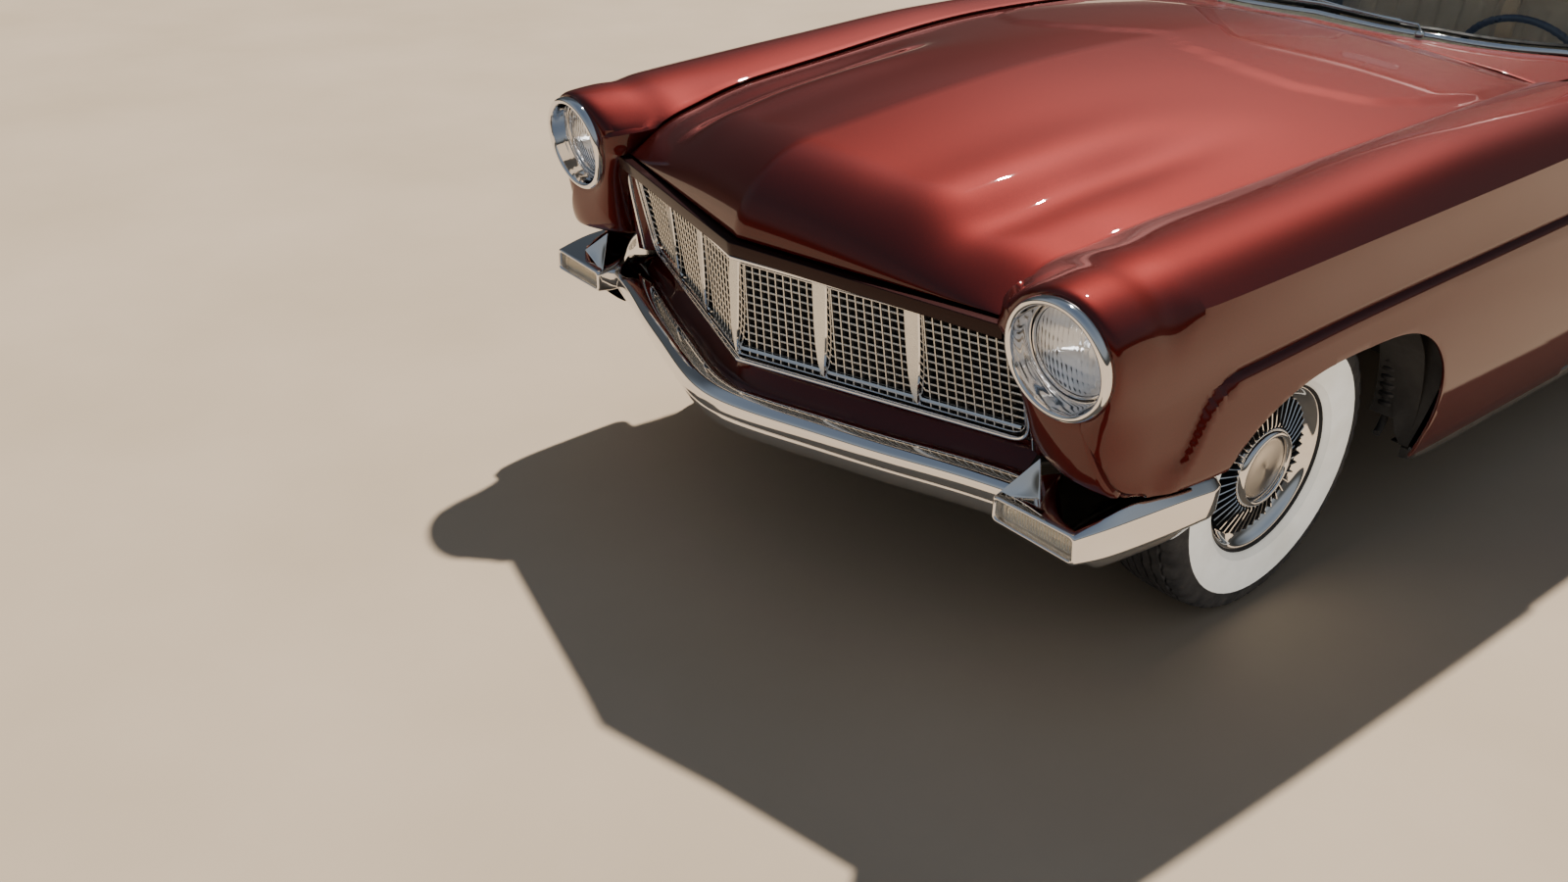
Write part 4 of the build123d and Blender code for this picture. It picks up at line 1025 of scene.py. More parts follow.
m = Mesh()
xs = np.linspace(-652, 652, 121)
rows = []
for x in xs:
    lipy = -841 + 0.22 * abs(x)
    f = lipy - 24
    sec = rounded([(lipy + 30, 830.5), (f, 829.5), (f + 3, 799.5), (lipy + 40, 799.5)], [2, 4, 2, 2], 3)
    rows.append([(x, y, z) for y, z in sec])
m.grid(np.array(rows), close_v=True)
m.add(rows[0], [list(range(len(rows[0])))])
m.add(rows[-1], [list(range(len(rows[-1])))[::-1]])
# the strip takes the darker lacquer copy, painted shade
m.make("strip_under_hood", PAINT_PAINTED_SHADE, "car_body", "body_paint", ["nose_panel"])

# bright frame round the grille
out = rounded([(-664, 793.5), (664, 793.5), (660, 551), (-660, 551)], [10, 10, 44, 44], 10)
loop = resample(out, 300, closed=True)
path = np.stack([loop[:, 0], front_face(loop[:, 0], loop[:, 1]) + 3, loop[:, 1]], 1)
m = Mesh()
sec = rounded([(-5.5, -3), (-3.5, 6), (3.5, 6), (5.5, -3), (5.5, -22), (-5.5, -22)], 2.2, 3)
m.sweep(path, sec, up=(0, -1, 0), loop=True)
inner = resample(rounded([(-652, 782), (652, 782), (648, 563), (-648, 563)], [6, 6, 36, 36], 10), 300, closed=True)
path = np.stack([inner[:, 0], front_face(inner[:, 0], inner[:, 1]) + 9, inner[:, 1]], 1)
m.sweep(path, rounded([(-2, 0), (0, 3), (2, 0), (2, -20), (-2, -20)], 1, 2), up=(0, -1, 0), loop=True)
m.make("trim_grille_frame", CHROME, "car_body", "bright_chrome", ["grille_frame"], angle=40)

# egg-crate bars; their side faces are black enamel, painted shade inside the cells
m = Mesh()
zs = np.linspace(563, 782, 13)
PITCH = 212 / 11.0
D0, D1 = 15.0, 27.0


def crate_edge(z):
    """Half width of the crate at height z, inside the rounded corner."""
    return 650 - max(0.0, 596 - z) ** 2 * 0.028


for z in zs[1:-1]:
    xe = crate_edge(z)
    xx = np.unique(np.r_[np.linspace(-xe, -8, 20), 0, np.linspace(8, xe, 20)])
    h = 2.0
    rows = np.array([[(x, front_face(x, z) + D0 + 0.9, z - h), (x, front_face(x, z) + D0, z), (x, front_face(x, z) + D0 + 0.9, z + h), (x, front_face(x, z) + D1, z + h), (x, front_face(x, z) + D1, z - h)] for x in xx])
    m.grid(rows[:, :3])
    # side faces in black enamel as painted shade
    m.grid(rows[:, [2, 3, 4, 0]], mat=1)
for kk in range(-34, 35):
    x = kk * PITCH
    if abs(x) > 646 or abs(kk) % 11 == 0:
        continue
    z0 = 563 + max(0.0, (abs(x) - 614)) * 0.9
    zz = np.array([z0, 620, 700, 782.0])
    h = 1.9
    rows = np.array([[(x - h, front_face(x, z) + D0 - 0.2, z), (x, front_face(x, z) + D0 - 1.2, z), (x + h, front_face(x, z) + D0 - 0.2, z), (x + h, front_face(x, z) + D1, z), (x - h, front_face(x, z) + D1, z)] for z in zz])
    m.grid(rows[:, :3])
    # side faces in black enamel as painted shade
    m.grid(rows[:, [2, 3, 4, 0]], mat=1)
m.make("bars_egg_crate", [GRILLE, ENAMEL], "car_body", "bright_chrome", ["grille"], angle=25)
m = Mesh()
xx = np.r_[np.linspace(-640, -6, 30), np.linspace(6, 640, 30)]
rows = []
for x in xx:
    y = front_face(x, 579)
    rows.append([(x, y + 8, 575), (x, y + 5, 579), (x, y + 8, 583), (x, y + 20, 583), (x, y + 20, 575)])
m.grid(np.array(rows), close_v=True)
m.make("bar_lower_cross", CHROME, "car_body", "bright_chrome")

# five tapered blades
m = Mesh()
for kk in range(-3 + 1, 3):
    x = 212.0 * kk
    rows = []
    for z, wd, pr in ((789, 17, 0), (740, 16.5, -3), (690, 15.5, -6), (640, 13, -9), (600, 9, -10), (574, 4.5, -7), (562, 1.5, 0)):
        y = front_face(x, z) + 6 + pr
        slope = 0.31 * np.sign(x) if kk else 0.0
        def fy(q):
            return (0.31 * abs(q - x) if kk == 0 else slope * (q - x))
        pts = [(x - wd, 30), (x - wd, 3), (x - wd + 2, 0), (x + wd - 2, 0), (x + wd, 3), (x + wd, 30)]
        if kk == 0:
            pts = [(x - wd, 30), (x - wd, 3), (x - wd + 2, 0), (x, -2), (x + wd - 2, 0), (x + wd, 3), (x + wd, 30)]
        rows.append([(q, y + dd + (slope * (q - x) if kk else 0), z) for q, dd in pts])
    a = np.array(rows)
    n = a.shape[1]
    for j in range(n):
        j2 = (j + 1) % n
        face = 1 if (2 <= j < n - 3) else 0
        m.grid(a[:, [j, j2]], mat=face)
m.make("blades_grille", [CHROME, BLADE], "car_body", "bright_chrome", angle=20, weld=0.05)

# black sheet behind the crate and round the mouth of the nose, painted shade inside the mouth
m = Mesh()
rows = []
for x in np.linspace(-664, 664, 60):
    rows.append([(x, front_face(x, z) + 58, z) for z in (556, 620, 700, 790)])
m.grid(np.array(rows))
m.make("shade_sheet_behind_grille", BLACK, "car_body", "chassis_black")

# headlamps
TILT = math.radians(7.4)
LAX = np.array([0, -math.cos(TILT), -math.sin(TILT)])


def lamp(sg):
    c = np.array([810.0 * sg, -747.0, 828.0])
    m = Mesh()
    prof = [(-14, 117.4), (-4, 119.4), (4, 120.0), (10, 118.5), (14, 114.5), (15, 110), (13, 106), (6, 103.2), (-14, 99), (-36, 94.5), (-40, 93.5), (-40, 92)]
    p = through(prof, 46)
    m.lathe(p, c, LAX, 128)
    m.lathe(through([(-38, 92.6), (-34, 91.6), (-33.5, 89.5), (-37, 88.4), (-44, 88.2)], 12), c, LAX, 128)
    o = m.make(f"bezel_headlamp_{'left' if sg > 0 else 'right'}", CHROME, "car_body", "bright_chrome", angle=50)
    m = Mesh()
    m.lathe([(-40, 93.4), (-41.5, 92.2), (-40, 90.5), (-43, 88), (-52, 88), (-52, 95)], c, LAX, 96)
    m.make(f"gasket_headlamp_{'left' if sg > 0 else 'right'}", BLACK, "car_body", "chassis_black")
    # lens: crowned front, fluted back
    m = Mesh()
    rr = np.r_[0.001, np.linspace(3, 88, 40)]
    a = np.linspace(0, 2 * PI, 160, endpoint=False)
    u = np.array([1.0, 0, 0])
    w = np.cross(LAX, u)
    R_, A_ = np.meshgrid(rr, a, indexing="ij")
    X, Z = R_ * np.cos(A_), R_ * np.sin(A_)
    dome = -22 - 18 * (R_ / 88) ** 2.2
    ribs = 1.1 * np.abs(np.sin(X * PI / 11.0)) * smoothstep(R_, 18, 26) + 0.9 * np.abs(np.sin(Z * PI / 23.0))
    front = c + X[..., None] * u + Z[..., None] * w + (dome)[..., None] * LAX
    back = c + X[..., None] * u + Z[..., None] * w + (dome - 4.0 - ribs * smoothstep(88 - R_, 0, 6))[..., None] * LAX
    m.grid(front, close_v=True)
    m.grid(back, close_v=True, flip=True)
    m.grid(np.array([front[-1], back[-1]]), close_v=True)
    bpy.context.view_layer.update()
    o = m.make(f"lens_headlamp_{'left' if sg > 0 else 'right'}", LENS, "car_body", "lamp_glass", ["headlamps"] , angle=60, weld=0.01)
    m = Mesh()
    q = np.linspace(0, 1, 14)
    m.lathe(np.c_[-96 + 50 * q ** 2, 2 + 85 * q], c, LAX, 96)
    m.lathe(through([(-96, 2), (-92, 9), (-78, 10), (-66, 8), (-60, 4), (-59, 0.2)], 12), c, LAX, 40)
    m.make(f"bowl_headlamp_{'left' if sg > 0 else 'right'}", BOWL, "car_body", "bright_chrome")


lamp(1)
lamp(-1)


# ================================================================ front bumper
FRONT_BAR = [(0, -934.6, 496), (122, -914, 496), (264, -868, 496), (440, -810, 497), (600, -752, 499), (722, -716, 500)]


def bar_line(rows, n, dx=0.0):
    r = np.array(rows, float)
    full = np.vstack([r[:0:-1] * np.array([-1, 1, 1]), r])
    s = np.r_[0, np.cumsum(np.hypot(*np.diff(full[:, :2], axis=0).T))]
    return spline(s, full)(np.linspace(0, s[-1], n))


def front_bar():
    p = bar_line(FRONT_BAR, 131)
    p[:, 1] = np.maximum(p[:, 1], -934.9)
    t = unit(np.gradient(p[:, :2], axis=0))
    nx = np.stack([-t[:, 1], t[:, 0]], 1)            # inwards
    shelf = through([(94, -2), (88, 4), (66, 13), (42, 16), (18, 12), (5, 4.5)], 16)
    face = through([(0.6, -3), (-0.6 + 1.0, -12), (1.6, -24), (4.5, -35)], 7)
    gap = np.array([(7, -37), (15, -38), (16, -40), (11, -41.5)])
    low = through([(10.5, -44), (13, -54), (20, -68), (36, -88), (60, -102), (88, -108)], 12)
    sec = np.vstack([shelf, [(1.8, 1.4)], face, gap, low])
    rows = p[:, None, :] + np.concatenate([nx[:, None, :] * sec[None, :, :1], np.broadcast_to(sec[None, :, 1:], (len(p), len(sec), 1))], 2)
    m = Mesh()
    back = rows[:, [-1, 0]]
    m.grid(rows)
    m.grid(back)
    return m


front_bar().make("bar_front_bumper", CHROME, "car_body", "bright_chrome", ["front_bumper"], angle=48, weld=0.02)

POD = np.array([
    # y     xi   xf   xc   xt   zf   zc   zt   zi
    (-764, 709, 919, 914, 905, 456, 514, 519, 512),
    (-700, 714, 931, 930, 914, 448, 517, 532, 526),
    (-620, 780, 938, 938, 916, 441, 514, 540, 545),
    (-500, 866, 944, 946, 922, 434, 509, 531, 533),
    (-400, 886, 948, 950, 929, 431, 499, 519, 517),
], float)


def pod_mesh():
    ys = np.r_[np.linspace(-764, -700, 9), np.linspace(-692, -400, 24)]
    q = spline(POD[:, 0], POD[:, 1:])(ys)
    secs = []
    for (xi, xf, xc, xt, zf, zc, zt, zi), y in zip(q, ys):
        secs.append(rounded([(xi, zf), (xf, zf), (xc, zc), (xt, zt), (xi, zi)], [12, 12, 4, 9, 12], 6))
    secs = np.array(secs)
    rows = [np.c_[s[:, 0], np.full(len(s), y), s[:, 1]] for s, y in zip(secs, ys)]
    # rounded rear end
    last = rows[-1]
    c = last.mean(0)
    for a in np.linspace(0, PI / 2, 8)[1:]:
        k = math.cos(a)
        r = c + (last - c) * np.array([k ** 0.55 if k > 1e-6 else 0, 1, k ** 0.55 if k > 1e-6 else 0])
        r[:, 1] = -400 + 44 * math.sin(a)
        r[:, 0] -= 4 * math.sin(a)
        rows.append(r)
    # rolled lip and the recess of the lamp
    first = rows[0]
    c = np.array([814.0, 0, 486.0])
    lead = []
    for dy, ins in ((-2.2, 1.0), (-4.2, 3.0), (-5.0, 5.5), (-4.2, 7.6), (-1.0, 9.2), (8, 10.2), (34, 11)):
        f = np.array([1 - ins / 104, 1, 1 - ins / 33])
        r = c + (first - c) * f
        r[:, 1] = -764 + dy + 0.0
        lead.append(r)
    rows = lead[::-1] + rows
    m = Mesh()
    m.grid(np.array(rows), close_v=True)
    n = len(rows[0])
    m.add(rows[0], [list(range(n))], 1)
    # apron below the wrap
    ay = np.linspace(-742, -410, 26)
    qa = spline(POD[:, 0], POD[:, 1:])(ay)
    ap = []
    for (xi, xf, xc, xt, zf, zc, zt, zi), y in zip(qa, ay):
        e = 1 - smoothstep(y, -480, -410) * 0.75
        g = smoothstep(y, -742, -650)
        x0 = xf - 10
        w = 40 + 70 * g
        ap.append([(x0 - 30, y, zf + 4), (x0, y, zf + 2), (x0 - 1, y, zf - 3), (x0 - 6 * g - 2, y, zf - 3 - 20 * g * e), (x0 - 26 * g - 4, y, zf - 4 - 42 * g * e), (x0 - w, y, zf - 4 - 54 * g * e), (x0 - w - 60, y, zf - 4 - 54 * g * e)])
    m.grid(np.array(ap), flip=False)
    return m


def lens_pod():
    m = Mesh()
    first = rounded([(721, 464), (908, 466), (903, 507), (721, 505)], 10, 5)
    rows = []
    for dy, s in ((-728, 1.0), (-746, 1.0), (-750, 0.985), (-752.5, 0.95), (-753.5, 0.88)):
        c = first.mean(0)
        q = c + (first - c) * s
        rows.append(np.c_[q[:, 0], np.full(len(q), dy), q[:, 1]])
    m.grid(np.array(rows), close_v=True, flip=True)
    n = len(rows[0])
    m.add(rows[-1], [list(range(n))])
    m.add(rows[0], [list(range(n))[::-1]])
    # raised ribs across the lens
    for x in np.arange(734, 900, 7.0):
        m.tube([(x, -752.6, 470), (x, -754.6, 478), (x, -755.0, 486), (x, -754.6, 494), (x, -752.6, 501)], 1.3, 6)
    return m


k = Mat("parking_lens", (0.93, 0.86, 0.72), Transmission_Weight=0.85, IOR=1.47, Coat_Weight=0.5, Coat_Roughness=0.03)
k.rough(k.noise(90, 3), 0.08, 0.2)
PARK = k.m
for sg, tag in ((1, "left"), (-1, "right")):
    pod_mesh().make(f"pod_bumper_{tag}", [CHROME, BOWL], "car_body", "bright_chrome", ["front_bumper"], angle=48, mirror=sg < 0)
    lens_pod().make(f"lens_parking_{tag}", PARK, "car_body", "lamp_glass", ["parking_lamps"], angle=40, mirror=sg < 0)


# ================================================================ wheels
def tyre_mesh(x, y, z, sg):
    half = [(0, 348), (10, 349.4), (12, 342), (15, 342), (17, 349.6), (34, 349.2), (36, 341.5), (39, 341.5), (41, 348.8), (60, 347.0), (62, 340), (65, 339.5), (67, 346.2), (82, 342.5), (90, 337), (97, 326), (100.5, 312), (102, 296),
            (102.2, 292.5), (103.3, 291.5), (104.0, 289), (103.6, 262), (101, 236), (97.5, 219), (96.5, 216), (95, 214.8), (90, 207), (84, 202), (76, 198), (66, 196.6)]
    half = [(min(a, 101.6), r) for a, r in half]
    n = 288
    a = np.linspace(0, 2 * PI, n, endpoint=False)
    prof = [(-p[0], p[1]) for p in half[:0:-1]] + half
    prof = np.array(prof)
    rr = np.repeat(prof[None, :, 1], n, 0)
    # cross cuts in the shoulders and small steps in the ribs
    for j, (ax, r) in enumerate(prof):
        if 318 < r < 347.5 and abs(ax) > 66:
            rr[:, j] -= 5.5 * ((np.arange(n) + (3 if ax < 0 else 0)) % 6 < 2)
    shift = np.where((np.abs(prof[:, 0]) < 62)[None], 1.6 * ((np.arange(n) % 8 < 4) * 2 - 1)[:, None], 0)
    ax = prof[None, :, 0] + shift * (np.abs(prof[None, :, 0]) > 11)
    p = np.stack([x + sg * ax, y + rr * np.cos(a)[:, None], z + rr * np.sin(a)[:, None]], -1)
    m = Mesh()
    white = [j for j in range(len(prof) - 1) if prof[j, 0] > 60 and 203.0 <= (prof[j, 1] + prof[j + 1, 1]) / 2 <= 291.8]
    for j in range(len(prof) - 1):
        m.grid(p[:, j:j + 2], close_u=True, mat=1 if j in white else 0, flip=sg < 0)
    return m


def cover_mesh(x, y, z, sg):
    m = Mesh()
    ax = (sg, 0, 0)
    prof = through([(66, 199.5), (74, 199.6), (77.5, 197.5), (78.5, 194.5), (77, 191), (70, 184), (63, 176), (58, 168), (54, 162)], 34)
    m.lathe(prof, (x, y, z), ax, 160, mat=0)
    m.lathe([(54, 162), (50, 160), (44, 150), (44, 112), (46, 98)], (x, y, z), ax, 96, mat=1)
    hub = through([(44, 99.5), (58, 98.5), (70, 96.5), (79, 92.5), (83.5, 87.5), (84.5, 83), (83, 79.5), (79, 77.5), (72, 76.5)], 28)
    m.lathe(hub, (x, y, z), ax, 128, mat=0)
    m.lathe([(72, 76.5), (71.5, 74)], (x, y, z), ax, 96, mat=1)
    m.lathe(through([(71.5, 74), (73.5, 72), (74.5, 66), (76.5, 40), (78.0, 12), (78.2, 0.3)], 30), (x, y, z), ax, 128, mat=2)
    # vanes
    nv = 44
    for i in range(nv):
        a = 2 * PI * i / nv
        ca, sa = math.cos(a), math.sin(a)
        e = np.array([0, ca, sa])
        f = np.array([0, -sa, ca])
        rows = []
        for r, top in ((97.5, 73), (104, 74), (118, 71.5), (134, 68.5), (150, 65), (166, 62)):
            wdt = 1.25 + (r - 97) * 0.012
            base = np.array([x, y, z]) + e * r
            rows.append([base + np.array([sg * 46, 0, 0]) - f * (wdt + 0.8), base + np.array([sg * (top - 1.4), 0, 0]) - f * wdt, base + np.array([sg * top, 0, 0]), base + np.array([sg * (top - 1.4), 0, 0]) + f * wdt, base + np.array([sg * 46, 0, 0]) + f * (wdt + 0.8)])
        v = np.array(rows)
        m.grid(v[:, :2], mat=1)                              # flanks in matt black, painted shade between the ribs; bright crown
        m.grid(v[:, 1:4], mat=0)
        m.grid(v[:, 3:], mat=1)
    # rim behind the cover and the inner barrel
    m.lathe([(58, 197), (40, 196.5), (30, 180), (-70, 180), (-76, 196.5), (-78, 201)], (x, y, z), ax, 96, mat=3)
    m.lathe([(44, 178), (40, 100), (36, 20)], (x, y, z), ax, 64, mat=3)
    # valve stem
    m.tube([(x + sg * 60, y + 150, z - 118), (x + sg * 76, y + 152, z - 120)], [3.4, 3.0], 10, mat=0)
    return m


for end, tr, y in (("front", 743.0, 0.0), ("rear", 762.0, 3200.0)):
    for sg, tag in ((1, "left"), (-1, "right")):
        b = f"wheel_{end}_{tag}"
        o = tyre_mesh(sg * tr, y, 350, sg).make(f"rubber_{end}_{tag}", [RUBBER, WHITE], b, "tyre", [f"{end}_tyre_{tag}"], angle=28, weld=0.01)
        o = cover_mesh(sg * tr, y, 350, sg).make(f"cover_{end}_{tag}", [CHROME, BLACK, BRUSHED, PAINT], b, "wheel_cover", [f"{end}_wheel_{tag}"], angle=35)
        bpy.context.view_layer.update()


# ================================================================ greenhouse surface
DOOR_GLASS_BODY = {t: ("door_glass_" + t if ("door_glass_" + t) in frame["bodies"] else "door_" + t) for t in ("left", "right")}
GREEN = {
    1000: [(0, 1158), (330, 1200), (590, 1400), (708, 1625), (738, 1850), (742, 2450), (728, 2950), (640, 3290), (350, 3430), (0, 3465)],
    1360: [(0, 1650), (290, 1662), (490, 1704), (586, 1785), (612, 1980), (618, 2380), (600, 2700), (520, 2860), (290, 2935), (0, 2955)],
    1400: [(0, 1760), (260, 1770), (440, 1800), (520, 1860), (545, 2010), (552, 2370), (530, 2640), (455, 2760), (260, 2815), (0, 2830)],
    1421: [(0, 2010), (160, 2015), (270, 2030), (315, 2060), (330, 2130), (335, 2350), (320, 2480), (275, 2540), (160, 2570), (0, 2580)],
}


def smooth_half(pts, n=121):
    """Half plan outline through its points, square to the middle plane at both ends."""
    p = np.array(pts, float)
    k = len(p)
    full = np.vstack([p[2:0:-1] * (-1, 1), p, p[-2:-4:-1] * (-1, 1)])
    s = np.r_[0, np.cumsum(np.linalg.norm(np.diff(full, axis=0), axis=1))]
    f = spline(s, full)
    q = f(np.linspace(s[2], s[1 + k], n))
    q[0, 0] = q[-1, 0] = 0.0
    return q


def green_half(z, inset=0.0, n=121):
    a, b = np.array(GREEN[1000], float), np.array(GREEN[1360], float)
    t = (z - 1000) / 360.0
    q = smooth_half(a + (b - a) * t, n)
    if inset:
        tt = unit(np.gradient(q, axis=0))
        nrm = np.stack([-tt[:, 1], tt[:, 0]], 1)
        q = q + nrm * inset
        q[0, 0] = q[-1, 0] = 0.0
    return q


def green_x(y, z, inset=0.0):
    q = green_half(z, inset)
    return float(np.interp(y, q[:, 1], q[:, 0]))


def green_front(x, z, inset=0.0):
    q = green_half(z, inset)
    k = int(np.argmax(q[:, 0]))
    return float(np.interp(abs(x), q[:k, 0], q[:k, 1]))


def green_rear(x, z, inset=0.0):
    q = green_half(z, inset)[::-1]
    k = int(np.argmax(q[:, 0]))
    return float(np.interp(abs(x), q[:k, 0], q[:k, 1]))


SIDE_WINDOW = [(1636, 985), (2775, 985), (2640, 1225), (2560, 1338), (1800, 1338), (1762, 1300)]
SCREEN = [(-640, 985), (640, 985), (655, 1060), (545, 1330), (-545, 1330), (-655, 1060)]
BACKLIGHT = [(-600, 1020), (600, 1020), (590, 1080), (478, 1322), (-478, 1322), (-590, 1080)]
SIDE_OPEN = rounded(SIDE_WINDOW, [2, 2, 30, 70, 36, 30], 8)
SCREEN_OPEN = rounded(SCREEN, [2, 2, 30, 46, 46, 30], 8)
BACK_OPEN = rounded(BACKLIGHT, [30, 30, 40, 60, 60, 40], 8)


def roof_mesh():
    T = {k: np.array(v, float) for k, v in GREEN.items()}
    cols = []
    for i in range(10):
        pts = [np.r_[T[1000][i], 1000], np.r_[0.5 * (T[1000][i] + T[1360][i]), 1180], np.r_[T[1360][i], 1360], np.r_[T[1400][i], 1400], np.r_[T[1421][i], 1421.0]]
        q = through(pts, 40)
        cols.append(q)
    cols = np.array(cols)                      # 10 x 40 x 3
    levels = []
    for j in range(cols.shape[1]):
        h = smooth_half(cols[:, j, :2], 101)
        zc = np.interp(np.linspace(0, 1, 101), np.linspace(0, 1, 10), cols[:, j, 2])
        levels.append(np.c_[h, zc])
    top = levels[-1]
    c = np.array([0.0, 2295.0])
    for k in (0.8, 0.55, 0.3, 0.1):
        levels.append(np.c_[c + (top[:, :2] - c) * k, top[:, 2] + (1424.2 - top[:, 2]) * (1 - k * k)])
    g = np.array(levels)
    g[..., 2] = np.minimum(g[..., 2], 1424.4)
    full = np.concatenate([g, (g * np.array([-1, 1, 1]))[:, -2:0:-1]], 1)
    m = Mesh()
    m.grid(full, close_v=True)
    n = full.shape[1]
    m.add(np.vstack([full[-1], [[0, 2295, 1424.4]]]), [(i, (i + 1) % n, n) for i in range(n)])
    return m


o = roof_mesh().make("skin_roof", [PAINT, LINER], "car_body", "body_paint", ["roof"], weld=0.02)
bm = bmesh.new()
bm.from_mesh(o.data)
bmesh.ops.recalc_face_normals(bm, faces=bm.faces)
bm.to_mesh(o.data)
bm.free()
if max(o.data.polygons, key=lambda p: p.center.z).normal.z < 0:
    o.data.flip_normals()
panel(o, 29.0, 2.0, [prism(SIDE_OPEN, -900, 900, "x"), prism(SCREEN_OPEN, 1000, 1800, "y"), prism(BACK_OPEN, 2800, 3600, "y")], inner=1)


def cowl_z(x):
    return np.interp(np.abs(x), [0, 350, 600, 700, 745], [1046, 1035, 1015.5, 1000.5, 997.5])


def pane(rows, t=5.0):
    """Glass plate from rows of outer points."""
    m = Mesh()
    p = np.array(rows, float)
    n = unit(np.cross(np.gradient(p, axis=0), np.gradient(p, axis=1)))
    q = p - n * t
    m.grid(p)
    m.grid(q, flip=True)
    for a, b in ((p[0], q[0]), (q[-1], p[-1])):
        m.grid(np.array([b, a]))
    for a, b in ((p[:, 0], q[:, 0]), (q[:, -1], p[:, -1])):
        m.grid(np.array([a, b]))
    return m


def cross_pane(opening, z0, z1, front, n=61, k=17):
    rows = []
    for z in np.linspace(z0, z1, k):
        w = np.interp(z, [p[1] for p in opening], [p[0] for p in opening])
        q = green_half(z, 15.0)
        if not front:
            q = q[::-1]
        i = int(np.argmax(q[:, 0]))
        s = np.r_[0, np.cumsum(np.linalg.norm(np.diff(q[:i], axis=0), axis=1))]
        sw = np.interp(w, q[:i, 0], s)
        u = np.linspace(-1, 1, n) * sw
        rows.append([(math.copysign(np.interp(abs(v), s, q[:i, 0]), v), np.interp(abs(v), s, q[:i, 1]), z) for v in u])
    return pane(rows, 5.0 if front else -5.0)


def fix(o):
    bm = bmesh.new()
    bm.from_mesh(o.data)
    bmesh.ops.remove_doubles(bm, verts=bm.verts, dist=1e-5)
    bmesh.ops.recalc_face_normals(bm, faces=bm.faces)
    bm.to_mesh(o.data)
    bm.free()
    finish_mesh(o)
    return o


fix(cross_pane([(648, 1012), (663, 1060), (553, 1338)], 1012, 1338, True).make("glass_windshield", GLASS, "car_body", "clear_glass", ["windshield"], angle=40))
fix(cross_pane([(606, 1012), (598, 1080), (486, 1332)], 1024, 1332, False).make("glass_rear_window", GLASS, "car_body", "clear_glass", ["rear_window"], angle=40))


def side_pane(lines, z0, z1, k=13, n=25):
    """lines: rows (z, y front, y rear)."""
    rows = []
    L = np.array(lines, float)
    for z in np.linspace(z0, z1, k):
        a, b = np.interp(z, L[:, 0], L[:, 1]), np.interp(z, L[:, 0], L[:, 2])
        rows.append([(green_x(y, z, 15.0), y, z) for y in np.linspace(a, b, n)])
    return pane(rows, 5.0)


GL_D = [(972, 1648, 2492), (1290, 1774, 2473), (1327, 1807, 2471)]
GL_Q = [(1004, 2508, 2752), (1222, 2496, 2629), (1327, 2486, 2553)]

# trims round the openings
SEC = rounded([(-8, -3), (-7, 3.4), (-2, 5.2), (4, 4.6), (8, 2.2), (8, -3)], 1.2, 2)


def surf_normal_front(p, rear=False):
    f = green_rear if rear else green_front
    x, y, z = p
    e = 6.0
    dx = (f(x + e, z) - f(x - e, z)) / (2 * e) if abs(x) > e else 0.0
    dz = (f(x, z + e) - f(x, z - e)) / (2 * e)
    n = np.array([dx, -1.0, dz]) if not rear else np.array([-dx, 1.0, -dz])
    return n / np.linalg.norm(n)


def opening_path(outline, rear=False, n=240, lift=None):
    q = resample(np.array(outline, float), n, closed=True)
    P, N = [], []
    for x, z in q:
        if lift is not None:
            z = max(z, lift(x))
        f = green_rear if rear else green_front
        p = (x, f(x, z), z)
        P.append(p)
        N.append(surf_normal_front(p, rear))
    return np.array(P), np.array(N)


m = Mesh()
P, N = opening_path(SCREEN_OPEN, lift=lambda x: float(cowl_z(x)) + 7)
m.ribbon(P, N, SEC, loop=True)
m.make("trim_windshield", CHROME, "car_body", "bright_chrome", angle=50)
m = Mesh()
P, N = opening_path(SCREEN_OPEN, lift=lambda x: float(cowl_z(x)) + 15)
m.ribbon(P + N * 0.5, N, [(-14, -8), (-14, 0.6), (-6, 1.6), (-6, -8)], loop=True)
m.make("seal_windshield", RUBBER, "car_body", "chassis_black", angle=50)
m = Mesh()
P, N = opening_path(BACK_OPEN, rear=True)
m.ribbon(P, N, SEC, loop=True)
m.make("trim_rear_window", CHROME, "car_body", "bright_chrome", angle=50)


def side_trim(sg):
    line = [p for p in SIDE_OPEN.tolist()]
    start = [(1650, 1014), (1762, 1300), (1800, 1338), (2560, 1338), (2640, 1225), (2762, 1012)]
    r = rounded([(1640, 1000)] + start[1:5] + [(2768, 1000)], [0, 30, 36, 70, 30, 0], 8)
    q = resample(r, 220)
    q = q[q[:, 1] > 1013]
    P = np.array([(green_x(y, z), y, z) for y, z in q])
    N = []
    for y, z in q:
        dy = (green_x(y + 5, z) - green_x(y - 5, z)) / 10
        dz = (green_x(y, z + 5) - green_x(y, z - 5)) / 10
        N.append((1.0, -dy, -dz))
    m = Mesh()
    m.ribbon(P, N, SEC)
    return m


for sg, tag in ((1, "left"), (-1, "right")):
    side_trim(sg).make(f"trim_side_window_{tag}", CHROME, "car_body", "bright_chrome", angle=50, mirror=sg < 0)
    fix(side_pane(GL_Q, 1004, 1327, n=15).make(f"glass_quarter_{tag}", GLASS, "car_body", "clear_glass", ["quarter_glass"], angle=40, mirror=sg < 0))
    fix(side_pane(GL_D, 972, 1327).make(f"glass_door_{tag}", GLASS, DOOR_GLASS_BODY[tag], "clear_glass", [f"door_glass_{tag}"], angle=40, mirror=sg < 0))

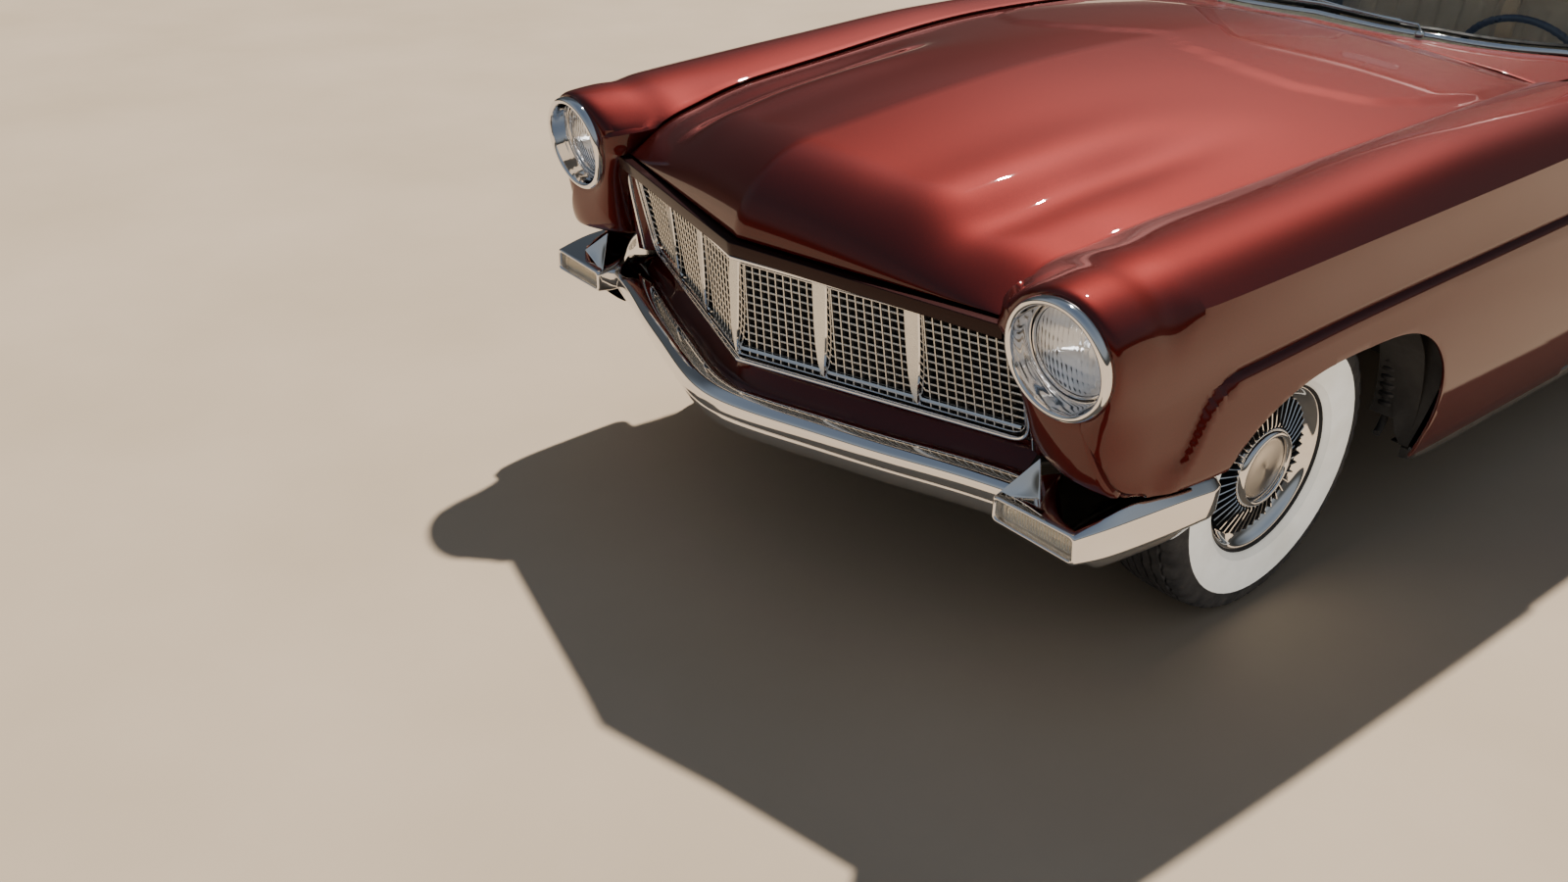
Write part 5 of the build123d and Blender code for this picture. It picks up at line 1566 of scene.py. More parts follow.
# ================================================================ cowl, deck, tail
def spread(y0, y1, zf, w0, w1, n=81, k=25, ease=1.0):
    """Crowned skin between two lines across the car."""
    rows = []
    for t in np.linspace(-1, 1, n):
        a, b = y0(t), y1(t)
        rows.append([(t * (w0 + (w1 - w0) * q), a + (b - a) * q, 0) for q in np.linspace(0, 1, k) ** ease])
    p = np.array(rows, float)
    p[..., 2] = zf(p[..., 0], p[..., 1])
    return p


def cowl_y(t):
    x = abs(t) * 745
    return green_front(min(x, 706), 1020) - 1.5 if x < 704 else 1628.0


def cowl_top(x, y):
    z = cowl_z(x)
    return z - np.where(np.abs(x) > 690, 0.0, 0.0) + 0 * y


COWL = spread(lambda t: 1134.0, cowl_y, cowl_top, 700, 745, n=121)
m = Mesh()
m.grid(COWL)
o = m.make("skin_cowl", PAINT, "car_body", "body_paint", ["cowl"], weld=0.02)
if sum(p.normal.z * p.area for p in o.data.polygons) < 0:
    o.data.flip_normals()
panel(o, 7.0, 1.6)

# firewall below the cowl
m = Mesh()
fw = np.array([(-690, 392), (-186, 392), (-145, 558), (145, 558), (186, 392), (690, 392), (690, 985), (600, 998), (350, 1016), (0, 1026), (-350, 1016), (-600, 998), (-690, 985)], float)
fw = resample(fw, 220, closed=True)
m.add(np.c_[fw[:, 0], np.full(len(fw), 1135.0), fw[:, 1]], [list(range(len(fw)))])
o = m.make("wall_firewall", ENAMEL, "car_body", "body_paint", ["cowl"])
if sum(p.normal.y for p in o.data.polygons) > 0:
    o.data.flip_normals()
mod = None
m2 = Mesh()
m2.lathe([(-30, 0.01), (-30, 30), (30, 30), (30, 0.01)], (370, 1140, 556), (0, 1, 0), 40)
panel(o, 9.0, 1.0, [m2])

# deck behind the rear window
def deck_z(x, y):
    s = side(np.clip(y.ravel(), 3150, 3487))["s"]
    w, zs = s[:, 0] - 8, s[:, 1]
    out = []
    for xx, ww, zz in zip(np.abs(x.ravel()), w, zs):
        out.append(np.interp(xx, [0, 300, 500, ww], [1046, 1040, 1030, zz]))
    return np.array(out).reshape(x.shape)


def deck_y(t):
    x = abs(t) * 655
    return max(green_rear(min(x, 700), 1022) + 1.5, 3150.0)


DK = spread(deck_y, lambda t: 3487.0, deck_z, 682, 649, n=121)
m = Mesh()
m.grid(DK)
o = m.make("skin_deck", PAINT, "car_body", "body_paint", ["deck_panel"], weld=0.02)
if sum(p.normal.z * p.area for p in o.data.polygons) < 0:
    o.data.flip_normals()
panel(o, 7.0, 1.6)


# ================================================================ doors and quarters
HINGE_X = 905.0


def clip_top(row, x0):
    """Top points from x0 outwards, keeping their number."""
    if row[0, 0] >= x0:
        return row
    s = np.linspace(0, 1, len(row))
    t0 = np.interp(x0, row[:, 0], s)
    t = np.linspace(t0, 1, len(row))
    return np.stack([np.interp(t, s, row[:, i]) for i in range(row.shape[1])], 1)


def door_mesh():
    ys = np.r_[1133, 1137, 1150, np.arange(1175, 1626, 25), 1631.9, 1640.1, np.arange(1660, 2500, 28), 2510, 2527]
    g = side_grid(ys, lambda y: 306.0)
    nt = 16
    rows = []
    s = side(ys)
    for i, y in enumerate(ys):
        r = g[i].copy()
        lim = 752.0 if y < 1636 else s["s"][i][0] + 0.0
        r[:nt] = clip_top(r[:nt], lim)
        sz = s["s"][i][1]
        bottom = r[-1]
        gx = green_x(y, 1000.0)
        slot = [(690, sz - 6), (gx - 23, sz - 5), (gx - 23, 938), (gx - 11.5, 938), (gx - 11.5, min(sz - 0.5, 1003))] if y > 1636 else [(752, sz - 8), (752, sz - 8), (752, sz - 8), (752, sz - 8), (752, sz - 4)]
        inner = [(bottom[0] - 30, 306), (bottom[0] - 90, 306), (852, 420), (848, 600), (822, 740), (800, 850), (745, 900), (702 if y > 1636 else 752, 932), (694 if y > 1636 else 752, 960)] + slot
        inner = [(max(x, 752.0) if y < 1636 else x, z) for x, z in inner]
        sec = np.vstack([r, np.array([(x, y, z) for x, z in inner])])
        if i == len(ys) - 1:
            sec[:, 1] = np.minimum(2527, 2527 - (HINGE_X - sec[:, 0]) * 0.2)
        elif y > 2495:
            sec[:, 1] = np.minimum(sec[:, 1], 2527 - (HINGE_X - sec[:, 0]) * 0.2 - 6)
        rows.append(sec)
    rows = np.array(rows)
    m = Mesh()
    n = rows.shape[1]
    k0 = g.shape[1]
    for j in range(n):
        j2 = (j + 1) % n
        inside = k0 + 1 <= j < k0 + 8
        m.grid(rows[:, [j, j2]], mat=1 if inside else 0)
    m.add(rows[0], [list(range(n))])
    m.add(rows[-1], [list(range(n))[::-1]])
    return m


def door_post(o, sg):
    fix(o)
    mod = o.modifiers.new("edge", "BEVEL")
    mod.width, mod.segments, mod.limit_method, mod.angle_limit = 0.0016, 2, "ANGLE", math.radians(58)
    mod.use_clamp_overlap = False
    bpy.context.view_layer.update()
    dg = bpy.context.evaluated_depsgraph_get()
    new = bpy.data.meshes.new_from_object(o.evaluated_get(dg))
    o.modifiers.clear()
    o.data = new
    finish_mesh(o)


make_pair(door_mesh, "skin_door", ["door"], body=("door_left", "door_right"), mats=[PAINT, CREAM], weld=0.02, post=door_post)


def quarter_mesh():
    ys = np.r_[2533, 2538, np.arange(2555, 2790, 20), np.arange(2790, 3630, 12), np.arange(3640, 4520, 22), 4532, 4540]
    def low(y):
        return 300 + (y > 3400) * 0.0 + max(0, (y - 3490)) * 0.08
    g = side_grid(ys, low)
    for i, y in enumerate(ys):
        if y < 3300:
            g[i, :16] = clip_top(g[i, :16], green_x(min(y, 3289), 1022.0) - 6)
    m = Mesh()
    m.grid(g)
    # points for a closing face at the tail, which are not added to the mesh
    last = g[-1]
    c = last + np.array([0, 6, 0])
    inn = []
    ctr = np.array([770.0, 0, 760.0])
    for k in (0.0, 0.04, 0.10):
        q = last.copy()
        q[:, 0] = last[:, 0] + (np.clip(last[:, 0] - 30, 700, 900) - last[:, 0]) * k
        q[:, 1] = 4540 + 1.5 * min(1, k * 20)
        q[:, 2] = last[:, 2] + (np.clip(last[:, 2], 560, 930) - last[:, 2]) * k
        inn.append(q)
    return m


TAIL_CUT = [(800, 4322), (1100, 4322), (1100, 4600), (560, 4600), (560, 4536), (800, 4536)]


def quarter_post(o, sg):
    a = prism([(sg * x, y) for x, y in TAIL_CUT], 100, 582, "z")
    panel(o, 9.0, 1.6, [sided(ARCH_R, sg), a])


make_pair(quarter_mesh, "skin_quarter", ["quarter_panel"], weld=0.02, post=quarter_post)


# ================================================================ luggage lid
LID = {0: [(3490, 1046), (3800, 1040), (4100, 1016), (4330, 960), (4480, 860), (4545, 740), (4560, 640)],
       300: [(3490, 1040), (3800, 1032), (4100, 1004), (4320, 945), (4465, 845), (4530, 730), (4545, 640)],
       500: [(3490, 1030), (3800, 1018), (4100, 985), (4310, 922), (4445, 825), (4508, 715), (4522, 640)],
       700: [(3490, 1016), (3800, 998), (4100, 958), (4300, 895), (4425, 800), (4485, 700), (4500, 640)]}


def lid_mesh():
    cols = []
    for x in (0, 300, 500, 700):
        p = np.array(LID[x], float)
        p[0, 0] = 3493
        cols.append(through(p, 90))
    C = np.array(cols)                                   # 4 x 90 x 2
    xs = np.array([-700, -500, -300, 0, 300, 500, 700.0])
    full = C[[3, 2, 1, 0, 1, 2, 3]]
    f = spline(xs, full.reshape(7, -1))
    t = np.linspace(-1, 1, 81)
    rows = []
    for u in range(90):
        yc = full[3, u, 0]
        ye = full[0, u, 0]
        w = (side(min(ye, 4440))["s"][0][0] - 6) if ye < 4440 else np.interp(ye, [4440, 4500], [side(4440)["s"][0][0] - 6, 611])
        q = f(t * w).reshape(81, 90, 2)[:, u]
        rows.append(np.c_[t * w, q[:, 0], q[:, 1]])
    p = np.array(rows)
    n = unit(np.cross(np.gradient(p, axis=0), np.gradient(p, axis=1)))
    if n[40, 40, 2] + n[40, 40, 1] < 0:
        n = -n
    a = math.radians(46)
    ax = np.array([0, math.cos(a), math.sin(a)])
    rel = p - np.array([0, 4374, 818])
    d = np.linalg.norm(rel - (rel @ ax)[..., None] * ax, axis=-1)
    h = 35 * smoothstep(323 - d, 0, 30) * smoothstep(p[..., 2], 644, 668)
    h -= 5 * smoothstep(232 - d, 0, 14) * (1 - smoothstep(200 - d, 0, 14))
    return p + n * h[..., None]


m = Mesh()
m.grid(lid_mesh())
o = m.make("skin_luggage_lid", PAINT, "luggage_lid", "body_paint", ["luggage_lid"], weld=0.02)
if sum((p.normal.z + p.normal.y) * p.area for p in o.data.polygons) < 0:
    o.data.flip_normals()
panel(o, 9.0, 1.8)


# ================================================================ pan, side strips, arch linings
def bar_back(x):
    """Station of the front bar's rear edge at x."""
    p = bar_line(FRONT_BAR, 131)
    t = unit(np.gradient(p[:, :2], axis=0))
    q = p[:, :2] + np.stack([-t[:, 1], t[:, 0]], 1) * 92
    return np.interp(x, q[:, 0], q[:, 1])


m = Mesh()
rows = []
for x in np.linspace(-676, 676, 91):
    f = float(front_face(x, 548)) + 12
    b = float(bar_back(x * 0.985))
    b = min(b, f - 4)
    rows.append([(x, f, 549), (x, f + 1, 540), (x, f - 0.35 * (f - b), 528), (x, f - 0.75 * (f - b), 512), (x, b - 4, 497), (x, b - 5, 488), (x, b + 2, 470), (x, b + 20, 448), (x, b + 60, 432)])
m.grid(np.array(rows))
o = m.make("pan_front", PAINT, "car_body", "chassis_black", ["front_valance"], angle=40)
if sum(p.normal.y * p.area for p in o.data.polygons) > 0:
    o.data.flip_normals()
panel(o, 3.0, 0)

# painted return of the fender beside the grille, with its bright upright
for sg, tag in ((1, "left"), (-1, "right")):
    m = Mesh()
    rows = []
    for z in np.linspace(552, 806, 24):
        t = (z - 552) / 254
        y0 = float(front_face(668, z)) + 4
        e = 706 - 22 * smoothstep(z, 690, 806)
        yo = -636 - 38 * t
        rows.append([(664, y0 + 30, z), (667, y0 - 1, z), (672, y0 - 7, z), (680, 0.5 * (y0 + yo) - 5, z), (e, yo, z), (e + 16, yo + 22, z)])
    m.grid(np.array(rows))
    o = m.make(f"return_fender_{tag}", PAINT, "car_body", "body_paint", angle=40, mirror=sg < 0)
    panel(o, 3.0, 0)
    m = Mesh()
    zz = np.linspace(556, 796, 30)
    P = np.array([(686 - 6 * smoothstep(z, 690, 796), 0.5 * (float(front_face(668, z)) + 4 - 636 - 38 * (z - 552) / 254) - 9, z) for z in zz])
    m.ribbon(P, (0.25, -1, 0), rounded([(-5, -3), (-4, 4), (0, 7), (4, 4), (5, -3)], 1.5, 3))
    m.make(f"upright_grille_{tag}", CHROME, "car_body", "bright_chrome", angle=50, mirror=sg < 0)
    # dished chrome face where bar, pod and fender nose meet
    m = Mesh()
    A, B, C = np.array([707.0, -754, 505]), np.array([807.0, -744, 539]), np.array([760.0, -699, 590])
    nn = unit(np.cross(B - A, C - A))
    nn = nn if nn[1] < 0 else -nn
    rows = []
    for u in np.linspace(0, 1, 18):
        a = A + (C - A) * u
        b = B + (C - B) * u
        rows.append([a + (b - a) * v - nn * 7.0 * math.sin(PI * v) * (1 - u) ** 0.7 * math.sin(PI * min(1, 0.15 + u)) for v in np.linspace(0, 1, 16)])
    m.grid(np.array(rows))
    o = m.make(f"gusset_bumper_{tag}", CHROME, "car_body", "bright_chrome", angle=50, mirror=sg < 0, weld=0.5)
    panel(o, 2.5, 0.8)

# sill pieces, bright strip and inner closing of the arches
def rocker():
    m = Mesh()
    ys = np.r_[450, 458, np.arange(475, 650, 25), np.arange(660, 2720, 60), 2732]
    rows = []
    for i, y in enumerate(ys):
        k = 12 if i == 0 else 0
        xi = 802 + 96 * (1 - smoothstep(y, 450, 640))
        zl = 14 * (1 - smoothstep(y, 450, 560))
        rows.append(rounded([(xi, 247 + zl), (920 - k, 247 + zl), (932 - k, 262 + zl * 0.6), (934 - k, 283), (925 - k, 294 - k * 0.5), (xi, 294 - k * 0.5)], [3, 6, 6, 2, 2, 2], 3))
        rows[-1] = np.c_[rows[-1][:, 0], np.full(len(rows[-1]), y), rows[-1][:, 1]]
    m.grid(np.array(rows), close_v=True)
    n = len(rows[0])
    m.add(rows[0], [list(range(n))[::-1]])
    m.add(rows[-1], [list(range(n))])
    m.box(736, 800, 1127, 2541, 286, 385, r=3)
    # drain slots along the inner box are marked by small ribs
    for y in np.arange(560, 2700, 170):
        m.box(828, 890, y - 14, y + 14, 242.5, 247.5, r=1.5)
    return m


def strip_mesh():
    m = Mesh()
    ys = np.r_[448, 452, np.arange(470, 2725, 25), 2734, 2738]
    rows = []
    s = side(ys)
    for i, y in enumerate(ys):
        x = s["r"][i][0] - 8
        e = 5 if i in (0, len(ys) - 1) else 0
        rows.append([(x - 12, y, 287), (x - 1 - e, y, 286), (x + 1.5 - e, y, 289), (x + 2 - e, y, 293), (x - 1 - e, y, 297.5), (x - 12, y, 297.5)])
    m.grid(np.array(rows), close_v=True)
    n = 6
    m.add(rows[0], [list(range(n))[::-1]])
    m.add(rows[-1], [list(range(n))])
    return m


def arch_liner(front=True):
    """Inner closing skin of the wheel opening, a band set in from its edge."""
    m = Mesh()
    line = ARCH_F[8:59] if front else ARCH_R[3:63]
    c = np.array([0.0 if front else 3200.0, 350.0])
    q = c + (line - c) * 1.035 + np.array([0, 4])
    rows = []
    for y, z in q:
        r = math.hypot(y - c[0], z - c[1])
        k = 1.0 if front else max(1.0, 366.0 / r)             # the band clears the rear tyre inside its outer wall
        rows.append([(x, c[0] + (y - c[0]) * (k if x < 890 else 1), c[1] + (z - c[1]) * (k if x < 890 else 1)) for x in (922, 905, 880, 840, 812 if front else 800)])
    m.grid(np.array(rows))
    return m


def splash():
    """Sheet closing the fender behind the front wheel."""
    m = Mesh()
    rows = []
    for u in np.linspace(0, 1, 16):
        row = []
        for w in np.linspace(0, 1, 12):
            x = 700 + w * 232
            zb = 306 + 190 * (1 - smoothstep(x, 790, 915))
            z = zb + (700 - zb) * u
            y = 425 + 24 * math.sin(PI * (z - 306) / 420)
            x1 = float(side_x(np.array([y]), np.array([[z]]))[0, 0]) - 2
            row.append((700 + w * (x1 - 700), y + 2.5 * math.cos(x / 30.0), z))
        rows.append(row)
    m.grid(np.array(rows))
    return m


def bellows():
    m = Mesh()
    p = through([(832, 425, 600), (834, 440, 520), (838, 452, 440), (842, 458, 372)], 60)
    r = [22 + 5 * (i % 6 < 3) for i in range(60)]
    m.tube(p, r, 20)
    m.tube(through([(842, 458, 372), (846, 440, 336), (852, 410, 318)], 12), 9, 12)
    return m


for sg, tag in ((1, "left"), (-1, "right")):
    # sills in black enamel, painted shade under the chrome strip
    rocker().make(f"sill_{tag}", ENAMEL, "car_body", "body_paint", ["rockers"], mirror=sg < 0)
    strip_mesh().make(f"strip_sill_{tag}", CHROME, "car_body", "bright_chrome", angle=40, mirror=sg < 0)
    for nm, fr in (("front", True), ("rear", False)):
        o = arch_liner(fr).make(f"lining_arch_{nm}_{tag}", UNDER, "car_body", "underbody", mirror=sg < 0)
        panel(o, 2.0, 0)
    o = splash().make(f"splash_panel_{tag}", UNDER, "car_body", "underbody", mirror=sg < 0)
    panel(o, 2.5, 0)
    bellows().make(f"bellows_{tag}", RUBBER, "car_body", "chassis_black", angle=50, mirror=sg < 0)


# ================================================================ wipers, handles, small bright work
def along_screen(x, dz=8.0, dout=6.0):
    z = float(cowl_z(x)) + dz
    y = green_front(x, z)
    n = surf_normal_front((x, y, z))
    return np.array([x, y, z]) + n * dout


m = Mesh()
for px, tip in ((313, -178), (-313, -800)):
    tipx = tip if px > 0 else -690
    base = along_screen(px, 2, 22)
    m.lathe(through([(0, 13), (8, 13), (13, 10), (15, 4), (15.2, 0.2)], 14), base + np.array([0, -2, -14]), (0, -0.25, 1), 24)
    xs = np.linspace(px, tipx * 0.93 + px * 0.07, 26)
    arm = np.array([along_screen(x, 16 + 16 * i / 25, 15 - 4 * math.sin(i / 25 * PI)) for i, x in enumerate(xs)])
    arm[0] = base + np.array([0, -2, 0])
    m.tube(arm[::1], np.linspace(4.2, 2.4, 26), 8, squash=(1.0, 0.6))
    bl = np.array([along_screen(x, 22, 8) for x in np.linspace(px - 70 * np.sign(px) * (1 if px > 0 else -1), tipx, 30)]) if px > 0 else np.array([along_screen(x, 22, 8) for x in np.linspace(px - 70, tipx + 110, 30)])
    m.tube(bl, 3.2, 8, squash=(1.7, 0.6))
    m.tube(bl + np.array([0, 2.5, -5]), 2.0, 6, mat=1)
m.make("wipers", [CHROME, RUBBER], "car_body", "bright_chrome", angle=50)

for sg, tag in ((1, "left"), (-1, "right")):
    # push-button pull of the door
    m = Mesh()
    zc = 905.0
    ys = np.linspace(2318, 2452, 26)
    P = []
    for i, y in enumerate(ys):
        s_ = math.sin(PI * i / 25)
        x = float(side_x(np.array([y]), np.array([[zc]]))[0, 0])
        P.append((x + 2 + 12 * min(1, s_ * 1.6), y, zc))
    m.tube(np.array(P), [6 + 2.5 * math.sin(PI * i / 25) for i in range(26)], 14, squash=(1.25, 0.7))
    x = float(side_x(np.array([2470.0]), np.array([[zc]]))[0, 0])
    m.lathe(through([(-4, 15), (3, 15), (6, 12.5), (7, 10), (7, 8.5), (10, 8), (11, 5), (11.2, 0.2)], 22), (x, 2474, zc), (1, 0, 0), 32)
    m.lathe(through([(-3, 7), (3, 7), (4.5, 5), (4.6, 0.2)], 10), (x - 0.5, 2474, zc - 46), (1, 0, 0), 24)
    m.make(f"pull_door_{tag}", CHROME, "door_" + tag, "bright_chrome", angle=50, mirror=sg < 0)
    # belt moulding on the door
    m = Mesh()
    ys = np.arange(1662, 2496, 12.0)
    P = np.array([(green_x(y, 1003.0) - 2, y, side(y)["s"][0][1] + 1.5) for y in ys])
    m.sweep(P, rounded([(-6, -2.5), (-5, 3), (3, 4), (6, 0), (6, -2.5)], 1.2, 2))
    m.make(f"belt_door_{tag}", CHROME, "door_" + tag, "bright_chrome", angle=50, mirror=sg < 0)

# ================================================================ rear bumper, lamps, plate
REAR_BAR = [(0, 4611.7, 572, 505, 405), (220, 4607, 572, 505, 405), (440, 4594, 572, 505, 405), (620, 4578, 571.5, 504, 405), (760, 4560, 570, 503, 405), (872, 4524, 562, 500, 412), (914, 4450, 550, 498, 425), (924, 4330, 540, 498, 440)]


def rear_bar():
    r = np.array(REAR_BAR, float)
    full = np.vstack([r[:0:-1] * np.array([-1, 1, 1, 1, 1]), r])
    s = np.r_[0, np.cumsum(np.hypot(*np.diff(full[:, :2], axis=0).T))]
    p = spline(s, full)(np.linspace(0, s[-1], 181))
    p[:, 0] = np.clip(p[:, 0], -924, 924)
    t = unit(np.gradient(p[:, :2], axis=0))
    out = np.stack([t[:, 1], -t[:, 0]], 1)
    out = out * np.sign((out[:, 1] + 1e-9 + 0 * out[:, 0]))[:, None] if out[len(out) // 2, 1] < 0 else out
    if out[len(out) // 2, 1] < 0:
        out = -out
    rows = []
    for (x, y, zt, zc, zb), o_ in zip(p, out):
        sec = through([(-62, zt - 1), (-30, zt + 0.5), (-8, zt - 4), (-1, zt - 14), (3.5, 0.55 * zt + 0.45 * zc), (8.0, zc + 4)], 14).tolist()
        sec += [(8.5, zc - 1), (7.0, zc - 6), (2, zc - 8), (1.5, zc - 11)]
        sec += through([(3, zc - 13), (0, zc - 30), (-10, zb + 0.35 * (zc - zb)), (-30, zb + 6), (-62, zb)], 14).tolist()
        rows.append([(x + o_[0] * a, y + o_[1] * a, b) for a, b in sec])
    m = Mesh()
    a = np.array(rows)
    a[..., 1] = np.minimum(a[..., 1], 4600 + 60 * smoothstep(np.abs(a[..., 0]), 158, 176))
    m.grid(a, close_v=True)
    n = a.shape[1]
    m.add(a[0], [list(range(n))])
    m.add(a[-1], [list(range(n))[::-1]])
    return m


o = fix(rear_bar().make("bar_rear_bumper", CHROME, "car_body", "bright_chrome", ["rear_bumper"], angle=48, weld=0.02))

m = Mesh()
for sg in (-1, 1):
    # stand-off pads and plate lamps
    m.lathe(through([(-2, 10), (1.2, 10), (1.6, 8), (1.6, 4.2)], 8), (sg * 89, 4600, 548), (0, 1, 0), 28)
    m.tube(through([(sg * 150, 4596, 588), (sg * 150, 4604, 596), (sg * 138, 4608, 602), (sg * 118, 4608, 602)], 14), 6.5, 12)
m.make("lamps_plate", CHROME, "car_body", "bright_chrome", angle=50)

k = Mat("amber_edge", (0.7, 0.2, 0.02), Transmission_Weight=0.6, IOR=1.48)
k.rough(k.noise(60, 3), 0.06, 0.15)
for sg, tag in ((1, "left"), (-1, "right")):
    m = Mesh()
    o1 = rounded([(788, 638), (864, 638), (864, 872), (788, 872)], [14, 20, 34, 20], 7)
    rows = []
    for y, g in ((4534, 6), (4546, 6), (4552, 4), (4555, 0), (4555, -6), (4550, -8), (4540, -9)):
        c = np.array([826.0, 755.0])
        d_ = o1 - c
        k_ = 1 + g / np.linalg.norm(d_, axis=1)[:, None]
        q = c + d_ * k_
        rows.append(np.c_[q[:, 0], np.full(len(q), y), q[:, 1]])
    m.grid(np.array(rows), close_v=True)
    m.make(f"bezel_tail_{tag}", CHROME, "car_body", "bright_chrome", angle=50, mirror=sg < 0)
    m = Mesh()
    o2 = rounded([(796, 646), (857, 646), (857, 864), (796, 864)], [10, 14, 28, 14], 7)
    n = len(o2)
    rows = []
    for y, sc in ((4537, 1.0), (4556, 1.0), (4561, 0.97), (4564.5, 0.88), (4565.5, 0.7), (4565.8, 0.3)):
        q = np.array([826.0, 755.0]) + (o2 - np.array([826.0, 755.0])) * np.array([sc, 1 - (1 - sc) * 0.35])
        yy = np.full(n, y)
        rows.append(np.c_[q[:, 0], yy, q[:, 1]])
    m.grid(np.array(rows), close_v=True)
    m.add(rows[-1], [list(range(n))])
    m.add(rows[0], [list(range(n))[::-1]])
    for z in np.arange(662, 852, 9.0):
        m.tube([(802, 4563.0, z), (826, 4565.6, z), (851, 4563.0, z)], 1.5, 6)
    m.make(f"lens_tail_{tag}", RED, "car_body", "red_lens", ["tail_lamps"], angle=40, mirror=sg < 0)

# tail panel: pressed sheet with a swage and a bright garnish
prof = [(-636, 590), (636, 590)]
tp = np.array([(0, 590), (636, 590), (860, 588), (884, 640), (888, 752), (884, 880), (850, 925), (760, 944), (640, 878), (636, 640), (0, 640)], float)
m = Mesh()
half = rounded(tp[1:-1], [1, 12, 30, 40, 40, 40, 10, 10, 10], 5)
n = len(half)
rows = []
for y, ins in ((4518, 0), (4532, 0), (4534, 1.5), (4534.2, 10), (4531.5, 14), (4531.5, 22), (4534.2, 26), (4534.2, 34)):
    c = half.mean(0)
    d_ = half - c
    q = c + d_ * (1 - ins / np.maximum(np.linalg.norm(d_, axis=1), 60))[:, None]
    rows.append(np.c_[q[:, 0], np.full(n, y), q[:, 1]])
for sg in (1, -1):
    a = np.array(rows) * np.array([sg, 1, 1])
    m.grid(a, close_v=True, flip=sg < 0)
    m.add(a[-1], [list(range(n)) if sg > 0 else list(range(n))[::-1]])
    m.add(a[0], [list(range(n))[::-1] if sg > 0 else list(range(n))])
m.box(-640, 640, 4519, 4533, 590, 636, r=3)
m.make("skin_tail_panel", PAINT, "car_body", "body_paint", ["tail_panel"], angle=40)
m = Mesh()
xs = np.linspace(-600, 600, 60)
P = np.array([(x, float(np.interp(abs(x), [0, 300, 500, 700], [4557, 4541, 4518, 4496])) + 4, 652) for x in xs])
m.ribbon(P, (0, 1, 0), rounded([(-7, -3), (-5, 4), (5, 4), (7, -3)], 1.5, 3))
m.make("garnish_luggage_lid", CHROME, "luggage_lid", "bright_chrome", angle=50)
m = Mesh()
m.lathe(through([(-3, 26), (4, 26), (8, 22), (9, 16), (12, 12), (13, 5), (13.2, 0.2)], 20), (0, 4583, 700), (0, 0.97, 0.24), 48)
m.tube(through([(-26, 4590, 690), (-14, 4599, 684), (0, 4601, 682), (14, 4599, 684), (26, 4590, 690)], 16), 5, 10)
m.make("handle_luggage_lid", CHROME, "luggage_lid", "bright_chrome", angle=50)


# ================================================================ jambs, seals and inner walls of the tail
for sg, tag in ((1, "left"), (-1, "right")):
    m = Mesh()
    for y, a, b in ((1124.0, 1121.5, 1125.5), (2536.0, 2534.6, 2538.0)):
        s_ = side(np.array([y]))
        line = side_grid(np.array([y - 1, y + 1]), lambda q: 306.0)[0][:, [0, 2]]
        if y < 2000:
            line = line[(line[:, 0] > 752)]
        out = line - np.array([3.0, 3.0]) * np.array([1, 1])
        inner = np.array([(out[-1][0] - 86, 308), (800, 500), (760, 800), (max(out[0][0], 720), 940)])
        ring_ = np.vstack([out, inner])
        k_ = len(ring_)
        q = np.array([np.c_[ring_[:, 0], np.full(k_, a), ring_[:, 1]], np.c_[ring_[:, 0], np.full(k_, b), ring_[:, 1]]])
        m.grid(q, close_v=True)
        m.add(q[0], [list(range(k_))[::-1]])
        m.add(q[1], [list(range(k_))])
    m.make(f"jambs_{tag}", PAINT, "car_body", "body_paint", angle=30, mirror=sg < 0)
    m = Mesh()
    P = [(746.5, y, float(cowl_z(745)) - 14) for y in np.arange(1142, 1622, 20)]
    m.tube(P, 4.2, 8)
    m.make(f"seal_cowl_{tag}", RUBBER, "car_body", "chassis_black", mirror=sg < 0)
    # inner wall of the rear fender beside the lid
    m = Mesh()
    ys = np.r_[np.arange(3500, 4520, 24), 4530]
    s_ = side(ys)
    rows = []
    for i, y in enumerate(ys):
        x, zt = s_["s"][i]
        zb = zt - 70 if y < 4000 else zt - 70 - (y - 4000) / 530 * 220
        rows.append([(x + 0.5, y, zt - 1), (x + 1.5, y, zt - 6), (x + 2, y, 0.6 * zt + 0.4 * zb), (x + 2, y, zb)])
    m.grid(np.array(rows))
    o = m.make(f"wall_tail_{tag}", PAINT, "car_body", "body_paint", mirror=sg < 0)
    panel(o, 3.0, 0)

# rubber round the luggage opening
m = Mesh()
for sg in (1, -1):
    ys = np.arange(3520, 4470, 30)
    s_ = side(ys)
    P = []
    for i, y in enumerate(ys):
        x = s_["s"][i][0] - 30
        zl = float(np.interp(y, [p[0] for p in LID[700]], [p[1] for p in LID[700]]))
        P.append((sg * x, y, zl - 26))
    m.tube(P, 6, 8)
m.make("rubber_luggage_opening", RUBBER, "car_body", "chassis_black")

